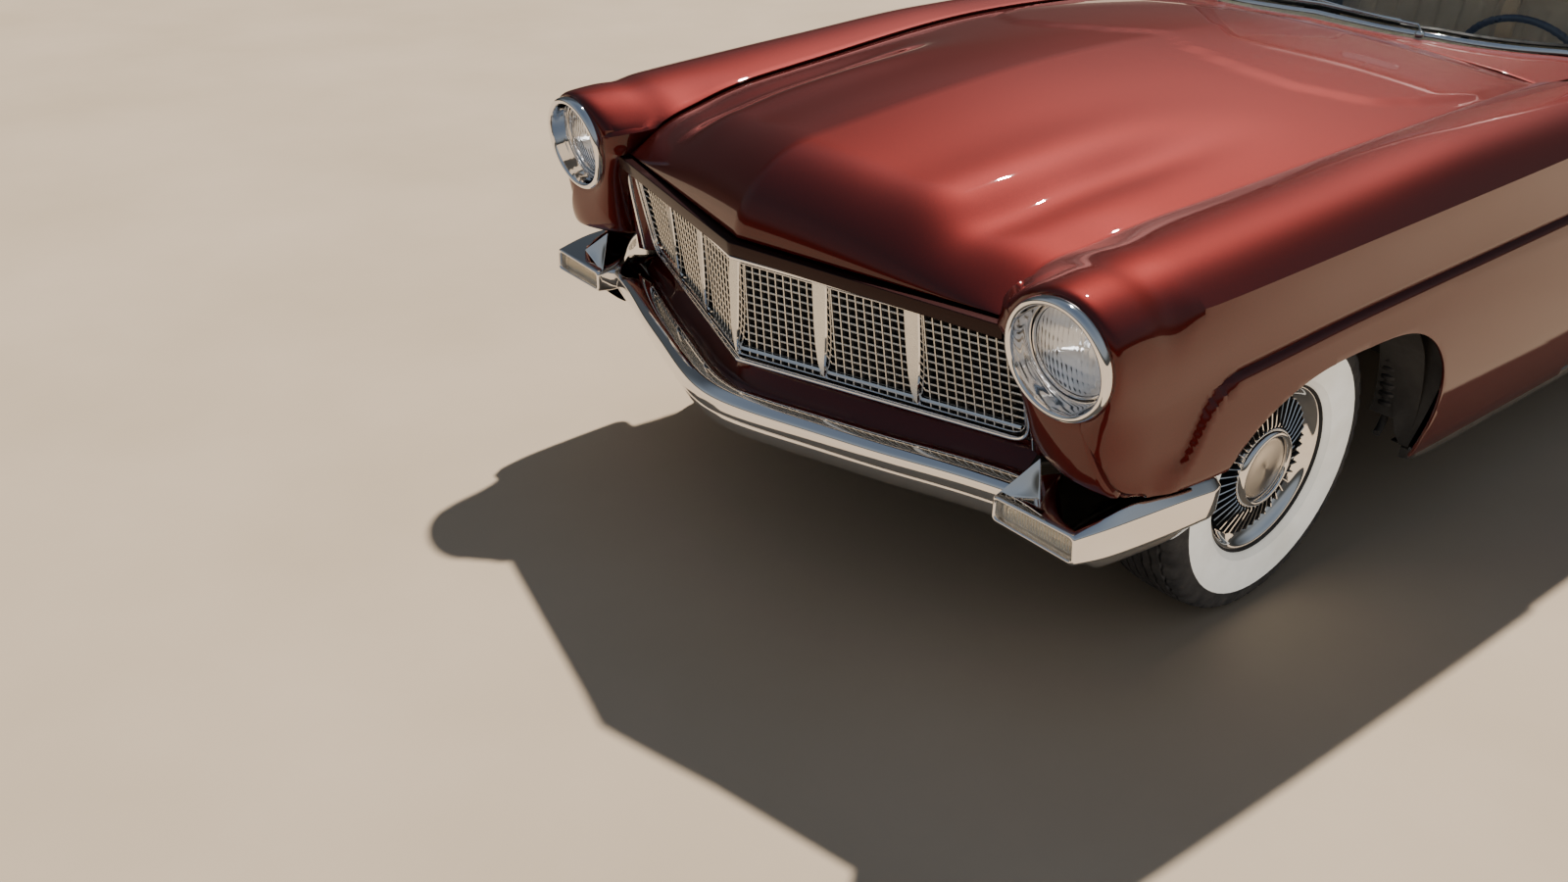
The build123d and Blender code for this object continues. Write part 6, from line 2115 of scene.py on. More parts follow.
# ================================================================ cabin: carpets, shelf, side trims, linings
m = Mesh()
prof = [(-728, 389), (-330, 389), (-200, 390), (-186, 396), (-150, 540), (-138, 556), (-120, 560), (120, 560), (138, 556), (150, 540), (186, 396), (200, 390), (330, 389), (728, 389)]
prof = rounded([(x, z) for x, z in prof], [0] + [6] * (len(prof) - 2) + [0], 3)
prof = prof[prof[:, 1] > 0]
ys = np.arange(968, 2452, 14.0)
rng = np.random.default_rng(7)
rows = []
for y in ys:
    rows.append([(x, y, z + 1.2 * math.sin(x / 37 + y / 53)) for x, z in resample(prof, 90)])
m.grid(np.array(rows))
o = m.make("carpet_front", CARPET, "car_body", "underbody", angle=60)
panel(o, 3.0, 0)
m = Mesh()
rows = []
for y in np.r_[np.arange(2462, 2650, 14.0)]:
    rows.append([(x, y, 563.5 + 1.0 * math.sin(x / 37 + y / 53)) for x in np.linspace(-624, 624, 70)])
m.grid(np.array(rows))
m.make("carpet_rear", CARPET, "car_body", "underbody", angle=60)
m = Mesh()
rows = []
for t in np.linspace(-1, 1, 61):
    row = []
    for q in np.linspace(0, 1, 12):
        x = t * 560
        y1 = min(green_rear(min(abs(x), 640), 1010, 44) - 6, 3395)
        row.append((x, 3165 + (y1 - 3165) * q, 986 + 4 * math.sin(PI * q) - 6 * abs(t) ** 2))
    rows.append(row)
m.grid(np.array(rows))
o = m.make("shelf_rear", LEATHER, "car_body", "seat_leather", angle=50)
if sum(p.normal.z for p in o.data.polygons) < 0:
    o.data.flip_normals()
panel(o, 12.0, 0)
for sg, tag in ((1, "left"), (-1, "right")):
    m = Mesh()
    rows = []
    for y in np.linspace(2556, 3150, 40):
        low = max(566.0, 350 + math.sqrt(max(0.0, 374.0 ** 2 - (y - 3200) ** 2)))        # over the wheelhouse
        rows.append([(min(688.0 - 4 * math.cos((y - 2556) / 594 * 8 * PI) * (1 if 620 < z < 880 else 0), green_x(min(y, 3100), 1000, 46) if z > 900 else 700), y, z) for z in low + (np.r_[566, 600, 640, 660, 700, 760, 820, 860, 880, 920, 950, 985] - 566) * (985 - low) / 419])
    m.grid(np.array(rows))
    o = m.make(f"trim_side_rear_{tag}", LEATHER, "car_body", "seat_leather", angle=40, mirror=sg < 0)
    panel(o, 4.0, 0)
    # armrest, crank and pull on the door
    m = Mesh()
    P = through([(812, 1880, 690), (806, 1960, 692), (804, 2080, 700), (808, 2190, 712), (816, 2250, 724)], 40)
    rr_ = [10 + 17 * math.sin(PI * min(1, max(0, (i + 1) / 41))) ** 0.35 for i in range(40)]
    m.tube(P, rr_, 18, squash=(0.75, 1.25))
    m.make(f"armrest_door_{tag}", LEATHER, "door_" + tag, "seat_leather", angle=60, mirror=sg < 0)
    m = Mesh()
    for y, z, L in ((1800, 640, 80), (1740, 760, 62)):
        xi = 834 if z < 700 else 818
        m.lathe(through([(0, 20), (-6, 20), (-10, 16), (-12, 12), (-18, 10), (-20, 0.2)], 18), (xi, y, z), (1, 0, 0), 28)
        m.tube(through([(xi - 16, y, z), (xi - 20, y + L * 0.5, z + 6), (xi - 18, y + L, z + 2)], 14), [6, 6, 5.6, 5.4, 5.2, 5, 4.8, 4.7, 4.6, 4.6, 4.6, 4.8, 5, 5], 10)
        m.tube([(xi - 18, y + L, z + 2), (xi - 34, y + L, z + 2)], [7, 6], 12)
    ys = np.linspace(1700, 2440, 30)
    P = [(817, y, 790) for y in ys]
    m.sweep(P, rounded([(-3, -5), (-6, 0), (-3, 5), (3, 5), (3, -5)], 1.2, 2))
    m.make(f"fittings_door_{tag}", CHROME, "door_" + tag, "bright_chrome", angle=50, mirror=sg < 0)
    m = Mesh()
    # stitched flutes of the door card
    for y in np.arange(1730, 2440, 38.0):
        m.tube(through([(845, y, 560), (848, y, 600), (826, y, 720), (818, y, 765)], 12), 3.4, 6)
    m.make(f"flutes_door_{tag}", LEATHER, "door_" + tag, "seat_leather", mirror=sg < 0)
    # sun visor
    m = Mesh()
    rows = []
    for x in np.linspace(70, 430, 30):
        yb = green_front(x, 1345, 40) + 12
        rows.append(np.array([(x, yb, 1352), (x, yb + 4, 1360), (x, yb + 90, 1374), (x, yb + 132, 1372), (x, yb + 136, 1366), (x, yb + 90, 1364), (x, yb + 6, 1350)]) - np.array([0, 0, 10]))
    a = np.array(rows)
    m.grid(a, close_v=True)
    m.add(a[0], [list(range(7))])
    m.add(a[-1], [list(range(7))[::-1]])
    m.make(f"visor_{tag}", LINER, "car_body", "seat_leather", angle=50, mirror=sg < 0)
m = Mesh()
m.tube([(0, 1648, 1352), (0, 1668, 1318), (0, 1676, 1296)], [6, 5, 5], 10)
rows = []
for y, sc in ((1672, 0.9), (1677, 1.0), (1686, 1.0), (1690, 0.96)):
    q = rounded([(-104, 1258), (104, 1258), (104, 1306), (-104, 1306)], 20, 6)
    c = q.mean(0)
    q = c + (q - c) * sc
    rows.append(np.c_[q[:, 0], np.full(len(q), y), q[:, 1]])
a = np.array(rows)
m.grid(a, close_v=True, flip=True)
n = a.shape[1]
m.add(a[-1], [list(range(n))[::-1]])
m.add(a[0], [list(range(n))])
m.make("mirror_inside", CHROME, "car_body", "bright_chrome", angle=50)

# ================================================================ dashboard
m = Mesh()
rows = []
for x in np.linspace(-652, 652, 121):
    yf = min(max(green_front(min(abs(x), 640), 1000, 46) + 2, 1206.0), 1478.0)
    yl = max(1372.0, yf)
    sec = rounded([(yf, 972), (yf, 985), (1500, 989), (1556, 984), (1578, 958), (1580, 930), (1571, 916), (1571, 858), (1584, 846), (1584, 826), (1560, 790), (1500, 800), (yl, 816), (yl, 960)],
                  [2, 4, 20, 26, 18, 10, 5, 5, 6, 12, 12, 8, 5, 5], 4)
    rows.append(np.c_[np.full(len(sec), x), sec])
a = np.array(rows)
m.grid(a, close_v=True)
n = a.shape[1]
m.add(a[0], [list(range(n))])
m.add(a[-1], [list(range(n))[::-1]])
hole = Mesh()
hole.lathe([(-260, 0.01), (-260, 29), (-60, 29), (-60, 0.01)], (370.0, 1790.0, 850.0), (0, 0.911, 0.4125), 32)
o = fix(m.make("skin_dashboard", CREAM, "car_body", "dash_cream", ["dashboard"], angle=40))
cut(o, hole)
finish_mesh(o, 40)
m = Mesh()
dials = ((250, 888, 34), (330, 889, 34), (412, 889, 34), (492, 888, 34))
for x, z, r in dials:
    m.lathe(through([(-2, r + 4), (5, r + 4), (9, r + 1), (8, r - 2), (2, r - 3)], 16), (x, 1570, z), (0, 1, 0), 56)
    m.lathe([(2, r - 3), (1.5, 0.3)], (x, 1570, z), (0, 1, 0), 40, mat=1)
    for i in range(25):
        a_ = math.radians(-130 + i * 260 / 24)
        c_ = np.array([math.sin(a_), 0, math.cos(a_)])
        L = 7 if i % 4 == 0 else 4
        p0 = np.array([x, 1572.6, z]) + c_ * (r - 6)
        m.tube([p0, p0 - c_ * L], 0.8 if i % 4 == 0 else 0.5, 4, mat=2)
    c_ = np.array([math.sin(-0.8 + x / 300), 0, math.cos(-0.8 + x / 300)])
    m.tube([np.array([x, 1574, z]) - c_ * 6, np.array([x, 1574, z]) + c_ * (r - 9)], [1.3, 0.5], 5, mat=3)
    m.lathe(through([(1, 4), (5, 4), (6, 2.5), (6.2, 0.2)], 8), (x, 1570, z), (0, 1, 0), 20)
for x in (-60, 20, 100, 150):
    m.lathe(through([(-2, 12), (3, 12), (6, 9), (16, 9.5), (19, 8), (19.4, 0.2)], 20), (x, 1571, 888), (0, 1, 0), 28)
P = [(x, 1572, 848) for x in np.linspace(-640, 200, 50)]
m.sweep(P, rounded([(-3, -4), (-6, 0), (-3, 4), (3, 4), (3, -4)], 1.2, 2))
P = [(x, 1573, 924) for x in np.linspace(-640, 640, 80)]
m.sweep(P, rounded([(-3, -3), (-5, 0), (-3, 3), (3, 3), (3, -3)], 1.0, 2))
q = rounded([(-560, 860), (-150, 860), (-150, 912), (-560, 912)], 8, 4)
loop = resample(q, 120, closed=True)
m.ribbon(np.c_[loop[:, 0], np.full(120, 1571.5), loop[:, 1]], (0, 1, 0), [(-1.2, -2), (-1.2, 1.4), (1.2, 1.4), (1.2, -2)], loop=True)
m.lathe(through([(-2, 11), (4, 11), (7, 8), (7.4, 0.2)], 10), (-355, 1571, 886), (0, 1, 0), 24)
for x in np.linspace(-60, 150, 22):
    m.box(x - 1.6, x + 1.6, 1568, 1574.5, 898, 912, mat=0)
k = Mat("dial_face", (0.012, 0.014, 0.02))
k.rough(k.noise(60, 3), 0.35, 0.45)
k2 = Mat("dial_marks", (0.8, 0.78, 0.7))
k2.rough(k2.noise(60, 3), 0.4, 0.5)
k3 = Mat("dial_needle", (0.6, 0.05, 0.02))
k3.rough(k3.noise(60, 3), 0.4, 0.5)
m.make("dials_and_controls", [CHROME, k.m, k2.m, k3.m], "car_body", "dash_cream", angle=50)

# ================================================================ steering wheel and column
WC, CA = np.array([370.0, 1790.0, 850.0]), unit(np.array([0.0, 0.911, 0.4125]))
U1 = np.array([1.0, 0, 0])
U2 = np.cross(CA, U1)


def on_wheel(r, a, h):
    return WC + (U1 * math.cos(a) + U2 * math.sin(a)) * r + CA * h


m = Mesh()
n = 180
P = [on_wheel(205, 2 * PI * i / n, 0) for i in range(n)]
rad = [10.4 + 1.1 * (1 if i % 3 else -0.4) * (1 if (i % 90 < 34 or i % 90 > 56) else 0.4) for i in range(n)]
m.tube(P, rad, 14, closed=True)
for a in (PI, 0.0, 1.5 * PI if U2[2] > 0 else 0.5 * PI):
    P = [on_wheel(r, a, h) for r, h in ((30, -16), (60, -11), (110, -5), (160, -2), (200, 0))]
    m.tube(through(P, 20), np.linspace(10.5, 7.5, 20), 12, squash=(0.62, 1.0))
m.lathe(through([(-52, 30), (-50, 35), (-20, 34), (-6, 33), (0, 30)], 20), WC, CA, 40)
o = m.make("rim_steering_wheel", BLUE, "steering_wheel", "wheel_blue", ["steering_wheel"], angle=50)
m = Mesh()
m.lathe(through([(-2, 31), (3, 30), (7, 24), (8, 22), (7.6, 20), (8, 10), (8.2, 0.3)], 30), WC, CA, 56)
P = [on_wheel(128, a, -2) for a in np.linspace(PI * 1.06, PI * 1.94, 60)] if U2[2] > 0 else [on_wheel(128, a, -2) for a in np.linspace(PI * 0.06, PI * 0.94, 60)]
m.tube(P, 3.6, 10)
m.make("horn_ring", CHROME, "steering_wheel", "bright_chrome", angle=50)


# ================================================================ seats
def pad_form(outline_at, x0, x1, r=30.0, n=64):
    """Closed form: an outline in (y, z) carried along x, its two ends rounded."""
    a = np.linspace(0, PI / 2, 7)[:-1]
    xs = np.r_[x0 + r * (1 - np.cos(a)), np.linspace(x0 + r, x1 - r, n), x1 - r * (1 - np.cos(a[::-1]))]
    ins = np.r_[r * (1 - np.sin(a)), np.zeros(n), r * (1 - np.sin(a[::-1]))]
    rows = []
    for x, i in zip(xs, ins):
        q = resample(outline_at(x), 72, closed=True)
        c = (q.max(0) + q.min(0)) / 2
        h = (q.max(0) - q.min(0)) / 2
        rows.append(np.c_[np.full(len(q), x), c + (q - c) * (1 - i / h)])
    m = Mesh()
    rows = np.array(rows)
    m.grid(rows, close_v=True)
    k = rows.shape[1]
    m.add(rows[0], [list(range(k))])
    m.add(rows[-1], [list(range(k))[::-1]])
    return m


def swollen(m, name, voxel, cap, pressure=4.0):
    """The form as evenly meshed cloth, blown up by pressure, each point's travel limited."""
    me = bpy.data.meshes.new(name)
    me.from_pydata(W(np.vstack(m.v)).tolist(), [], m.f)
    o = bpy.data.objects.new(name, me)
    bpy.context.scene.collection.objects.link(o)
    bm = bmesh.new()
    bm.from_mesh(me)
    bmesh.ops.remove_doubles(bm, verts=bm.verts, dist=1e-5)
    bmesh.ops.recalc_face_normals(bm, faces=bm.faces)
    bm.to_mesh(me)
    bm.free()
    mod = o.modifiers.new("voxels", "REMESH")
    mod.mode, mod.voxel_size = "VOXEL", voxel / 1000
    bpy.context.view_layer.update()
    new = bpy.data.meshes.new_from_object(o.evaluated_get(bpy.context.evaluated_depsgraph_get()))
    o.modifiers.clear()
    o.data = new
    rest = np.zeros(len(new.vertices) * 3)
    new.vertices.foreach_get("co", rest)
    rest = rest.reshape(-1, 3)
    nrm = np.zeros(len(new.vertices) * 3)
    new.vertices.foreach_get("normal", nrm)
    nrm = nrm.reshape(-1, 3)
    sc = bpy.context.scene
    mod = o.modifiers.new("cloth", "CLOTH")
    st = mod.settings
    st.use_pressure = True
    st.uniform_pressure_force = pressure
    st.effector_weights.gravity = 0.0
    st.quality = 4
    mod.point_cache.frame_start, mod.point_cache.frame_end = 1, 20
    for f in range(1, 21):
        sc.frame_set(f)
    ev = o.evaluated_get(bpy.context.evaluated_depsgraph_get())
    tmp = bpy.data.meshes.new_from_object(ev)
    moved = np.zeros(len(tmp.vertices) * 3)
    tmp.vertices.foreach_get("co", moved)
    moved = moved.reshape(-1, 3)
    o.modifiers.clear()
    bpy.data.meshes.remove(tmp)
    sc.frame_set(1)
    d = moved - rest
    L = np.linalg.norm(d, axis=1, keepdims=True)
    d = d * np.minimum(1.0, (cap / 1000) / np.maximum(L, 1e-9))
    new.vertices.foreach_set("co", (rest + d).ravel())
    mod = o.modifiers.new("smooth", "SUBSURF")
    mod.levels = mod.render_levels = 1
    bpy.context.view_layer.update()
    fine = bpy.data.meshes.new_from_object(o.evaluated_get(bpy.context.evaluated_depsgraph_get()))
    o.modifiers.clear()
    o.data = fine
    bpy.data.meshes.remove(new)
    fine.materials.clear()
    return o


def points_of(o):
    co = np.zeros(len(o.data.vertices) * 3)
    o.data.vertices.foreach_get("co", co)
    nr = np.zeros(len(o.data.vertices) * 3)
    o.data.vertices.foreach_get("normal", nr)
    p = co.reshape(-1, 3) * 1000.0
    p[:, 1] -= AXLE_Y
    return p, nr.reshape(-1, 3)


def put_points(o, p):
    o.data.vertices.foreach_set("co", W(p).ravel())
    o.data.update()


def nearest(o):
    """A function from free points to points on the pad's skin and their outward directions."""
    bm = bmesh.new()
    bm.from_mesh(o.data)
    t = BVHTree.FromBMesh(bm)
    bm.free()

    def f(pts):
        a, b = [], []
        for p in W(np.array(pts, float)):
            loc, nn, _, _ = t.find_nearest(Vector(p))
            a.append([loc.x * 1000, loc.y * 1000 - AXLE_Y, loc.z * 1000])
            b.append(list(nn))
        return np.array(a), np.array(b)
    return f


def seat_piece(m, name, node, outer, pleats, pleat_dir, field, voxel=13.0, cap=24.0, floor_z=None, welt=None):
    """One upholstered piece: swollen form, sewn channels over a field, and piping round its face."""
    o = swollen(m, name, voxel, cap)
    p, nr = points_of(o)
    face = nr @ pleat_dir
    w = smoothstep(face, 0.35, 0.8) * field(p)
    g = np.zeros(len(p))
    for x in pleats:
        g = np.maximum(g, np.exp(-((p[:, 0] - x) / 8.0) ** 2))
    crown = np.zeros(len(p))
    for a, b in zip(pleats[:-1], pleats[1:]):
        k = (p[:, 0] > a) & (p[:, 0] <= b)
        crown[k] = np.sin(PI * (p[k, 0] - a) / (b - a))
    p = p - nr * (w * (8.0 * g - 2.5 * crown))[:, None]
    if floor_z is not None:
        p[:, 2] = np.maximum(p[:, 2], floor_z)
    lo, hi = outer
    p = np.clip(p, np.array(lo, float), np.array(hi, float))
    put_points(o, p)
    o.data.materials.append(LEATHER)
    finish_mesh(o, 60)
    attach(o, "car_body")
    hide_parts(node)
    on = nearest(o)
    t = Mesh()
    for loop in welt or ():
        q, n_ = on(loop)
        q = q + n_ * 1.5
        for _ in range(3):
            q = (np.roll(q, 1, 0) + 2 * q + np.roll(q, -1, 0)) / 4
        t.tube(q, 4.2, 8, closed=True)
    for x, line in pleats_lines(pleats, field, p, nr, pleat_dir):
        q, n_ = on(line)
        t.tube(q + n_ * 0.6, 1.4, 6)
    t.make(name + "_seams", LEATHER, "car_body", "seat_leather", angle=60)
    return o


def pleats_lines(pleats, field, p, nr, dirn):
    """Points down the middle of each sewn channel, over the pleated field only."""
    for x in pleats:
        k = (np.abs(p[:, 0] - x) < 9) & (nr @ dirn > 0.55) & (field(p) > 0.5)
        q = p[k]
        if len(q) < 8:
            continue
        along = unit(np.cross(np.array([1.0, 0, 0]), dirn))
        s = q @ along
        a, b = s.min(), s.max()
        u = np.linspace(a, b, 26)
        pts = []
        for c in u:
            j = np.abs(s - c) < max(9.0, (b - a) / 25)
            if j.any():
                m_ = q[j].mean(0)
                pts.append([x, m_[1], m_[2]])
        if len(pts) > 5:
            yield x, np.array(pts)


UP = np.array([0.0, 0.0, 1.0])


def cushion_outline(y0, y1, z0, z1, lift=0.0, crown=0.0):
    def f(x):
        raised = z0 + lift * (1 - smoothstep(abs(x), 192, 238))
        return rounded([(y0, raised), (y1, raised), (y1, z1 - 8), ((y0 + y1) / 2, z1 + crown), (y0, z1 - 14)], [20, 20, 26, 200, 44], 6)
    return f


def back_outline(yb, zb, zt, lean, thick, foot):
    def f(x):
        return rounded([(yb, zb), (yb + foot, zb), (yb + foot + lean, zt - 10), (yb + lean + foot - thick, zt)], [24, 24, 30, 30], 6)
    return f


def ring(x0, x1, pts, n=150, r=34.0):
    """Closed loop in the plane of a seat face: across, then along pts (y, z) low and high."""
    (ya, za), (yb, zb) = pts
    q = rounded([(x0, 0), (x1, 0), (x1, 1000), (x0, 1000)], [r] * 4, 5)
    s = q[:, 1] / 1000.0
    a = np.c_[q[:, 0], ya + (yb - ya) * s, za + (zb - za) * s]
    return resample(a, n, closed=True)


pl = np.arange(-525, 526, 75.0)
seat_piece(pad_form(cushion_outline(1931, 2298, 486, 628, lift=88), -594, 594), "cushion_front_seat", "front_seat",
           ((-616, 1908, 472), (616, 2340, 664)), pl, UP, lambda p: smoothstep(p[:, 1], 1975, 1990) * (1 - smoothstep(p[:, 1], 2300, 2330)) * (1 - smoothstep(np.abs(p[:, 0]), 528, 540)),
           floor_z=472.0, welt=[ring(-596, 596, ((1924, 632), (2300, 640)))])
for tag, a, b in (("left", 6, 594), ("right", -594, -6)):
    f = unit(np.array([0.0, -520, 110.0]))
    pb = np.arange(a + 66, b - 60, (b - a - 132) / 6.0 - 1e-3)
    seat_piece(pad_form(back_outline(2336, 530, 1014, 62, 58, 84), a + 6, b - 6), "back_front_seat_" + tag, "front_seat",
               ((-616, 2306, 508), (616, 2506, 1036)), pb, f, lambda p: smoothstep(p[:, 2], 590, 605) * (1 - smoothstep(p[:, 2], 930, 946)),
               welt=[ring(a + 8, b - 8, ((2322, 540), (2398, 1008)))])
pl = np.arange(-487.5, 488, 75.0)
seat_piece(pad_form(cushion_outline(2656, 3040, 580, 668), -584, 584), "cushion_rear_seat", "rear_seat",
           ((-606, 2634, 567), (606, 3090, 704)), pl, UP, lambda p: smoothstep(p[:, 1], 2700, 2716) * (1 - smoothstep(np.abs(p[:, 0]), 492, 504)),
           floor_z=567.0, welt=[ring(-586, 586, ((2650, 670), (3030, 680)))])
f = unit(np.array([0.0, -395, 100.0]))
seat_piece(pad_form(back_outline(3066, 640, 984, 66, 62, 88), -584, 584), "back_rear_seat", "rear_seat",
           ((-606, 3040, 604), (606, 3246, 1004)), pl, f, lambda p: smoothstep(p[:, 2], 700, 712) * (1 - smoothstep(p[:, 2], 906, 920)) * (1 - smoothstep(np.abs(p[:, 0]), 492, 504)),
           welt=[ring(-586, 586, ((3056, 650), (3130, 980)))])
# the bench stands on a pressed base and two runners
m = Mesh()
for sg in (-1, 1):
    for x in (300, 540):
        m.box(sg * x - 16, sg * x + 16, 1945, 2345, 391, 399, r=2)
        m.box(sg * x - 11, sg * x + 11, 1950, 2340, 400, 412, r=2)
        for y in (1975, 2310):
            m.box(sg * x - 14, sg * x + 14, y - 14, y + 14, 410, 452, r=3)
            m.lathe(through([(0, 7), (4, 7), (5, 5), (5.4, 0.2)], 8), (sg * x, y + 22, 399), (0, 0, 1), 12)
    q = rounded([(sg * 232, 1936), (sg * 590, 1936), (sg * 590, 2340), (sg * 232, 2340)], 26, 6)
    q = resample(q, 90, closed=True)
    rows = [np.c_[q, np.full(90, z)] for z in (446, 450, 470)]
    c = q.mean(0)
    rows[0][:, :2] = c + (q - c) * 0.975
    m.grid(np.array(rows), close_v=True)
    m.add(rows[-1], [list(range(90))])
    m.add(rows[0], [list(range(90))[::-1]])
fix(m.make("base_front_seat", ENAMEL, "car_body", "chassis_black", angle=40))


# ================================================================ channels under the hood's edges
m = Mesh()
hs = hood_surface()
row = resample(hs[-1], 90)
low = np.array([np.c_[row[:, 0], np.full(90, y), row[:, 2] + dz] for y, dz in ((1092, -30), (1098, -37), (1140, -37), (1150, -32), (1154, -11))])
m.grid(low)
for sg in (1, -1):
    ys = np.r_[np.arange(-660, 1120, 20), 1126]
    sp = seam_at(ys)
    rows = []
    for y, (x, z) in zip(ys, sp):
        rows.append([(sg * (x + 9), y, z - 10), (sg * (x + 5), y, z - 30), (sg * (x - 2), y, z - 34), (sg * (x - 30), y, z - 33), (sg * (x - 33), y, z - 26)])
    m.grid(np.array(rows))
o = m.make("channels_hood", ENAMEL, "car_body", "chassis_black", angle=40)
panel(o, 2.0, 0)

# pressed stiffeners under the hood
def hat(path, w, h):
    """Hat section hanging below a skin: rows across a path."""
    p = np.array(path, float)
    t = unit(np.gradient(p, axis=0))
    s = unit(np.cross(t, np.array([0, 0, 1.0])))
    sec = [(-w - 12, 0), (-w, 0), (-w + 7, -h), (w - 7, -h), (w, 0), (w + 12, 0)]
    return p[:, None] + np.array([a for a, _ in sec])[None, :, None] * s[:, None] + np.array([(0, 0, b) for _, b in sec])[None]


m = Mesh()
ns, nt2 = hs.shape[:2]
hn = unit(np.cross(np.gradient(hs, axis=0), np.gradient(hs, axis=1)))
hn = hn * np.sign(hn[..., 2:])
inn = hs - hn * 15.0
for j in (int(nt2 * 0.35), int(nt2 * 0.65)):
    P = resample(inn[52:-8, j], 50)
    m.grid(hat(P, 24, 14))
for i in (60, 98):
    P = resample(inn[i, int(nt2 * 0.14):int(nt2 * 0.86)], 50)
    m.grid(hat(P, 24, 14))
o = m.make("stiffeners_hood", PAINT, "hood", "body_paint", angle=30)
panel(o, 1.5, 0)


# ================================================================ engine bay
def bolt(m, p, axis=(0, 0, 1), r=7.0, h=6.0, mat=0):
    m.lathe([(-2, r * 1.35), (1.2, r * 1.35), (1.2, r * 0.98), (h, r * 0.98), (h + 1, r * 0.7), (h + 1, 0.1)], p, axis, 6 if r < 9 else 12, mat=mat)


for sg, tag in ((1, "left"), (-1, "right")):
    m = Mesh()
    base = rounded([(264, 742), (298, 610), (352, 622), (362, 650), (330, 756), (300, 772)], [4, 4, 12, 16, 16, 10], 4)
    c = base.mean(0)
    rows = []
    for y, k in [(-322, 0.80), (-318, 0.93), (-308, 1.0)] + [(y, 1.0) for y in range(-280, 421, 35)] + [(436, 1.0), (446, 0.93), (450, 0.80)]:
        q = c + (base - c) * k
        rows.append(np.c_[q[:, 0], np.full(len(q), y), q[:, 1]])
    m.grid(np.array(rows), close_v=True)
    n = len(base)
    m.add(rows[0], [list(range(n))[::-1]])
    m.add(rows[-1], [list(range(n))])
    for i in range(5):                                  # pressed ribs along the cover
        a = np.array([336.0, 0, 752]) * (1 - i / 4) + np.array([362.0, 0, 640]) * (i / 4)
        m.tube([(a[0] - 1, y, a[2] - 2) for y in (-290, -284, 0, 412, 418)], [1, 4.5, 4.5, 4.5, 1], 8)
    for y in (-300, -120, 60, 240, 428):
        bolt(m, (354, y, 628), (0.9, 0, -0.2), 6, 6)
        bolt(m, (300, y, 768), (0.2, 0, 1), 6, 6)
    m.lathe(through([(0, 24), (16, 24), (18, 20), (26, 26), (34, 26), (38, 20), (38.5, 0.2)], 26), (306, -230, 762), (0.35, 0, 1), 24)
    o = fix(m.make(f"cover_valves_{tag}", CASTING, "car_body", "cast_parts", angle=35, mirror=sg < 0))
    # exhaust manifold and its down pipe
    m = Mesh()
    P = through([(322, -262, 596), (328, -180, 590), (330, 0, 584), (328, 200, 574), (322, 380, 540), (306, 470, 430), (284, 520, 320), (266, 556, 250), (262, 606, 232)], 70)
    m.tube(P, np.r_[np.linspace(17, 27, 12), np.full(58, 27)], 16)
    for y in (-250, -70, 110, 290):
        m.tube(through([(290, y, 606), (308, y, 602), (327, y + 12, 590)], 8), 19, 12)
        m.box(284, 296, y - 30, y + 30, 580, 632, r=3)
        for dy in (-23, 23):
            bolt(m, (296, y + dy, 606), (1, 0, 0), 6, 6)
    q = P[52]
    m.lathe([(-6, 27), (-6, 44), (6, 44), (6, 27)], q, unit(P[53] - P[51]), 20)
    fix(m.make(f"manifold_exhaust_{tag}", CASTING, "car_body", "cast_parts", angle=40, mirror=sg < 0))
    # plug leads
    m = Mesh()
    for i, y in enumerate((-250, -70, 110, 290)):
        P = through([(10 + 6 * i, 372, 872), (60 + 18 * i, 350, 880 + 5 * i), (215, (y + 330) / 2 + 60, 800 + 6 * i), (268, y + 34, 772), (300, y + 34, 782), (352, y + 34, 742), (358, y + 34, 655)], 46)
        m.tube(P, 3.8, 8)
        m.tube(P[-5:], 7.5, 10)
    m.make(f"plug_leads_{tag}", RUBBER, "car_body", "chassis_black", angle=60, mirror=sg < 0)

m = Mesh()
m.lathe(through([(762, 150), (764, 176), (768, 191), (776, 192.5), (800, 193.4), (840, 193.4), (862, 192.6), (872, 196), (878, 196), (882, 190), (886, 176)], 50), (0, 60, 0), (0, 0, 1), 120)
m.lathe(through([(886, 176), (889, 168), (888, 150), (890, 120), (893.5, 80), (895, 40), (892, 22), (893, 0.4)], 40), (0, 60, 0), (0, 0, 1), 120)
for i in range(48):
    a = 2 * PI * i / 48
    c_, s_ = math.cos(a), math.sin(a)
    m.tube([(193.0 * c_, 60 + 193.0 * s_, 790), (194.2 * c_, 60 + 194.2 * s_, 796), (194.2 * c_, 60 + 194.2 * s_, 852), (193.0 * c_, 60 + 193.0 * s_, 858)], 2.2, 6)
P = through([(60, -110, 826), (100, -190, 822), (150, -268, 812), (168, -300, 806)], 24)
m.tube(P, np.linspace(40, 52, 24), 24, squash=(0.62, 1.15))
m.tube([(0, 60, 890), (0, 60, 903)], [7, 6], 12)
m.box(-26, 26, 56, 64, 899, 906, r=2)
fix(m.make("cleaner_air", ENGINE, "car_body", "engine_iron", angle=35))

m = Mesh()
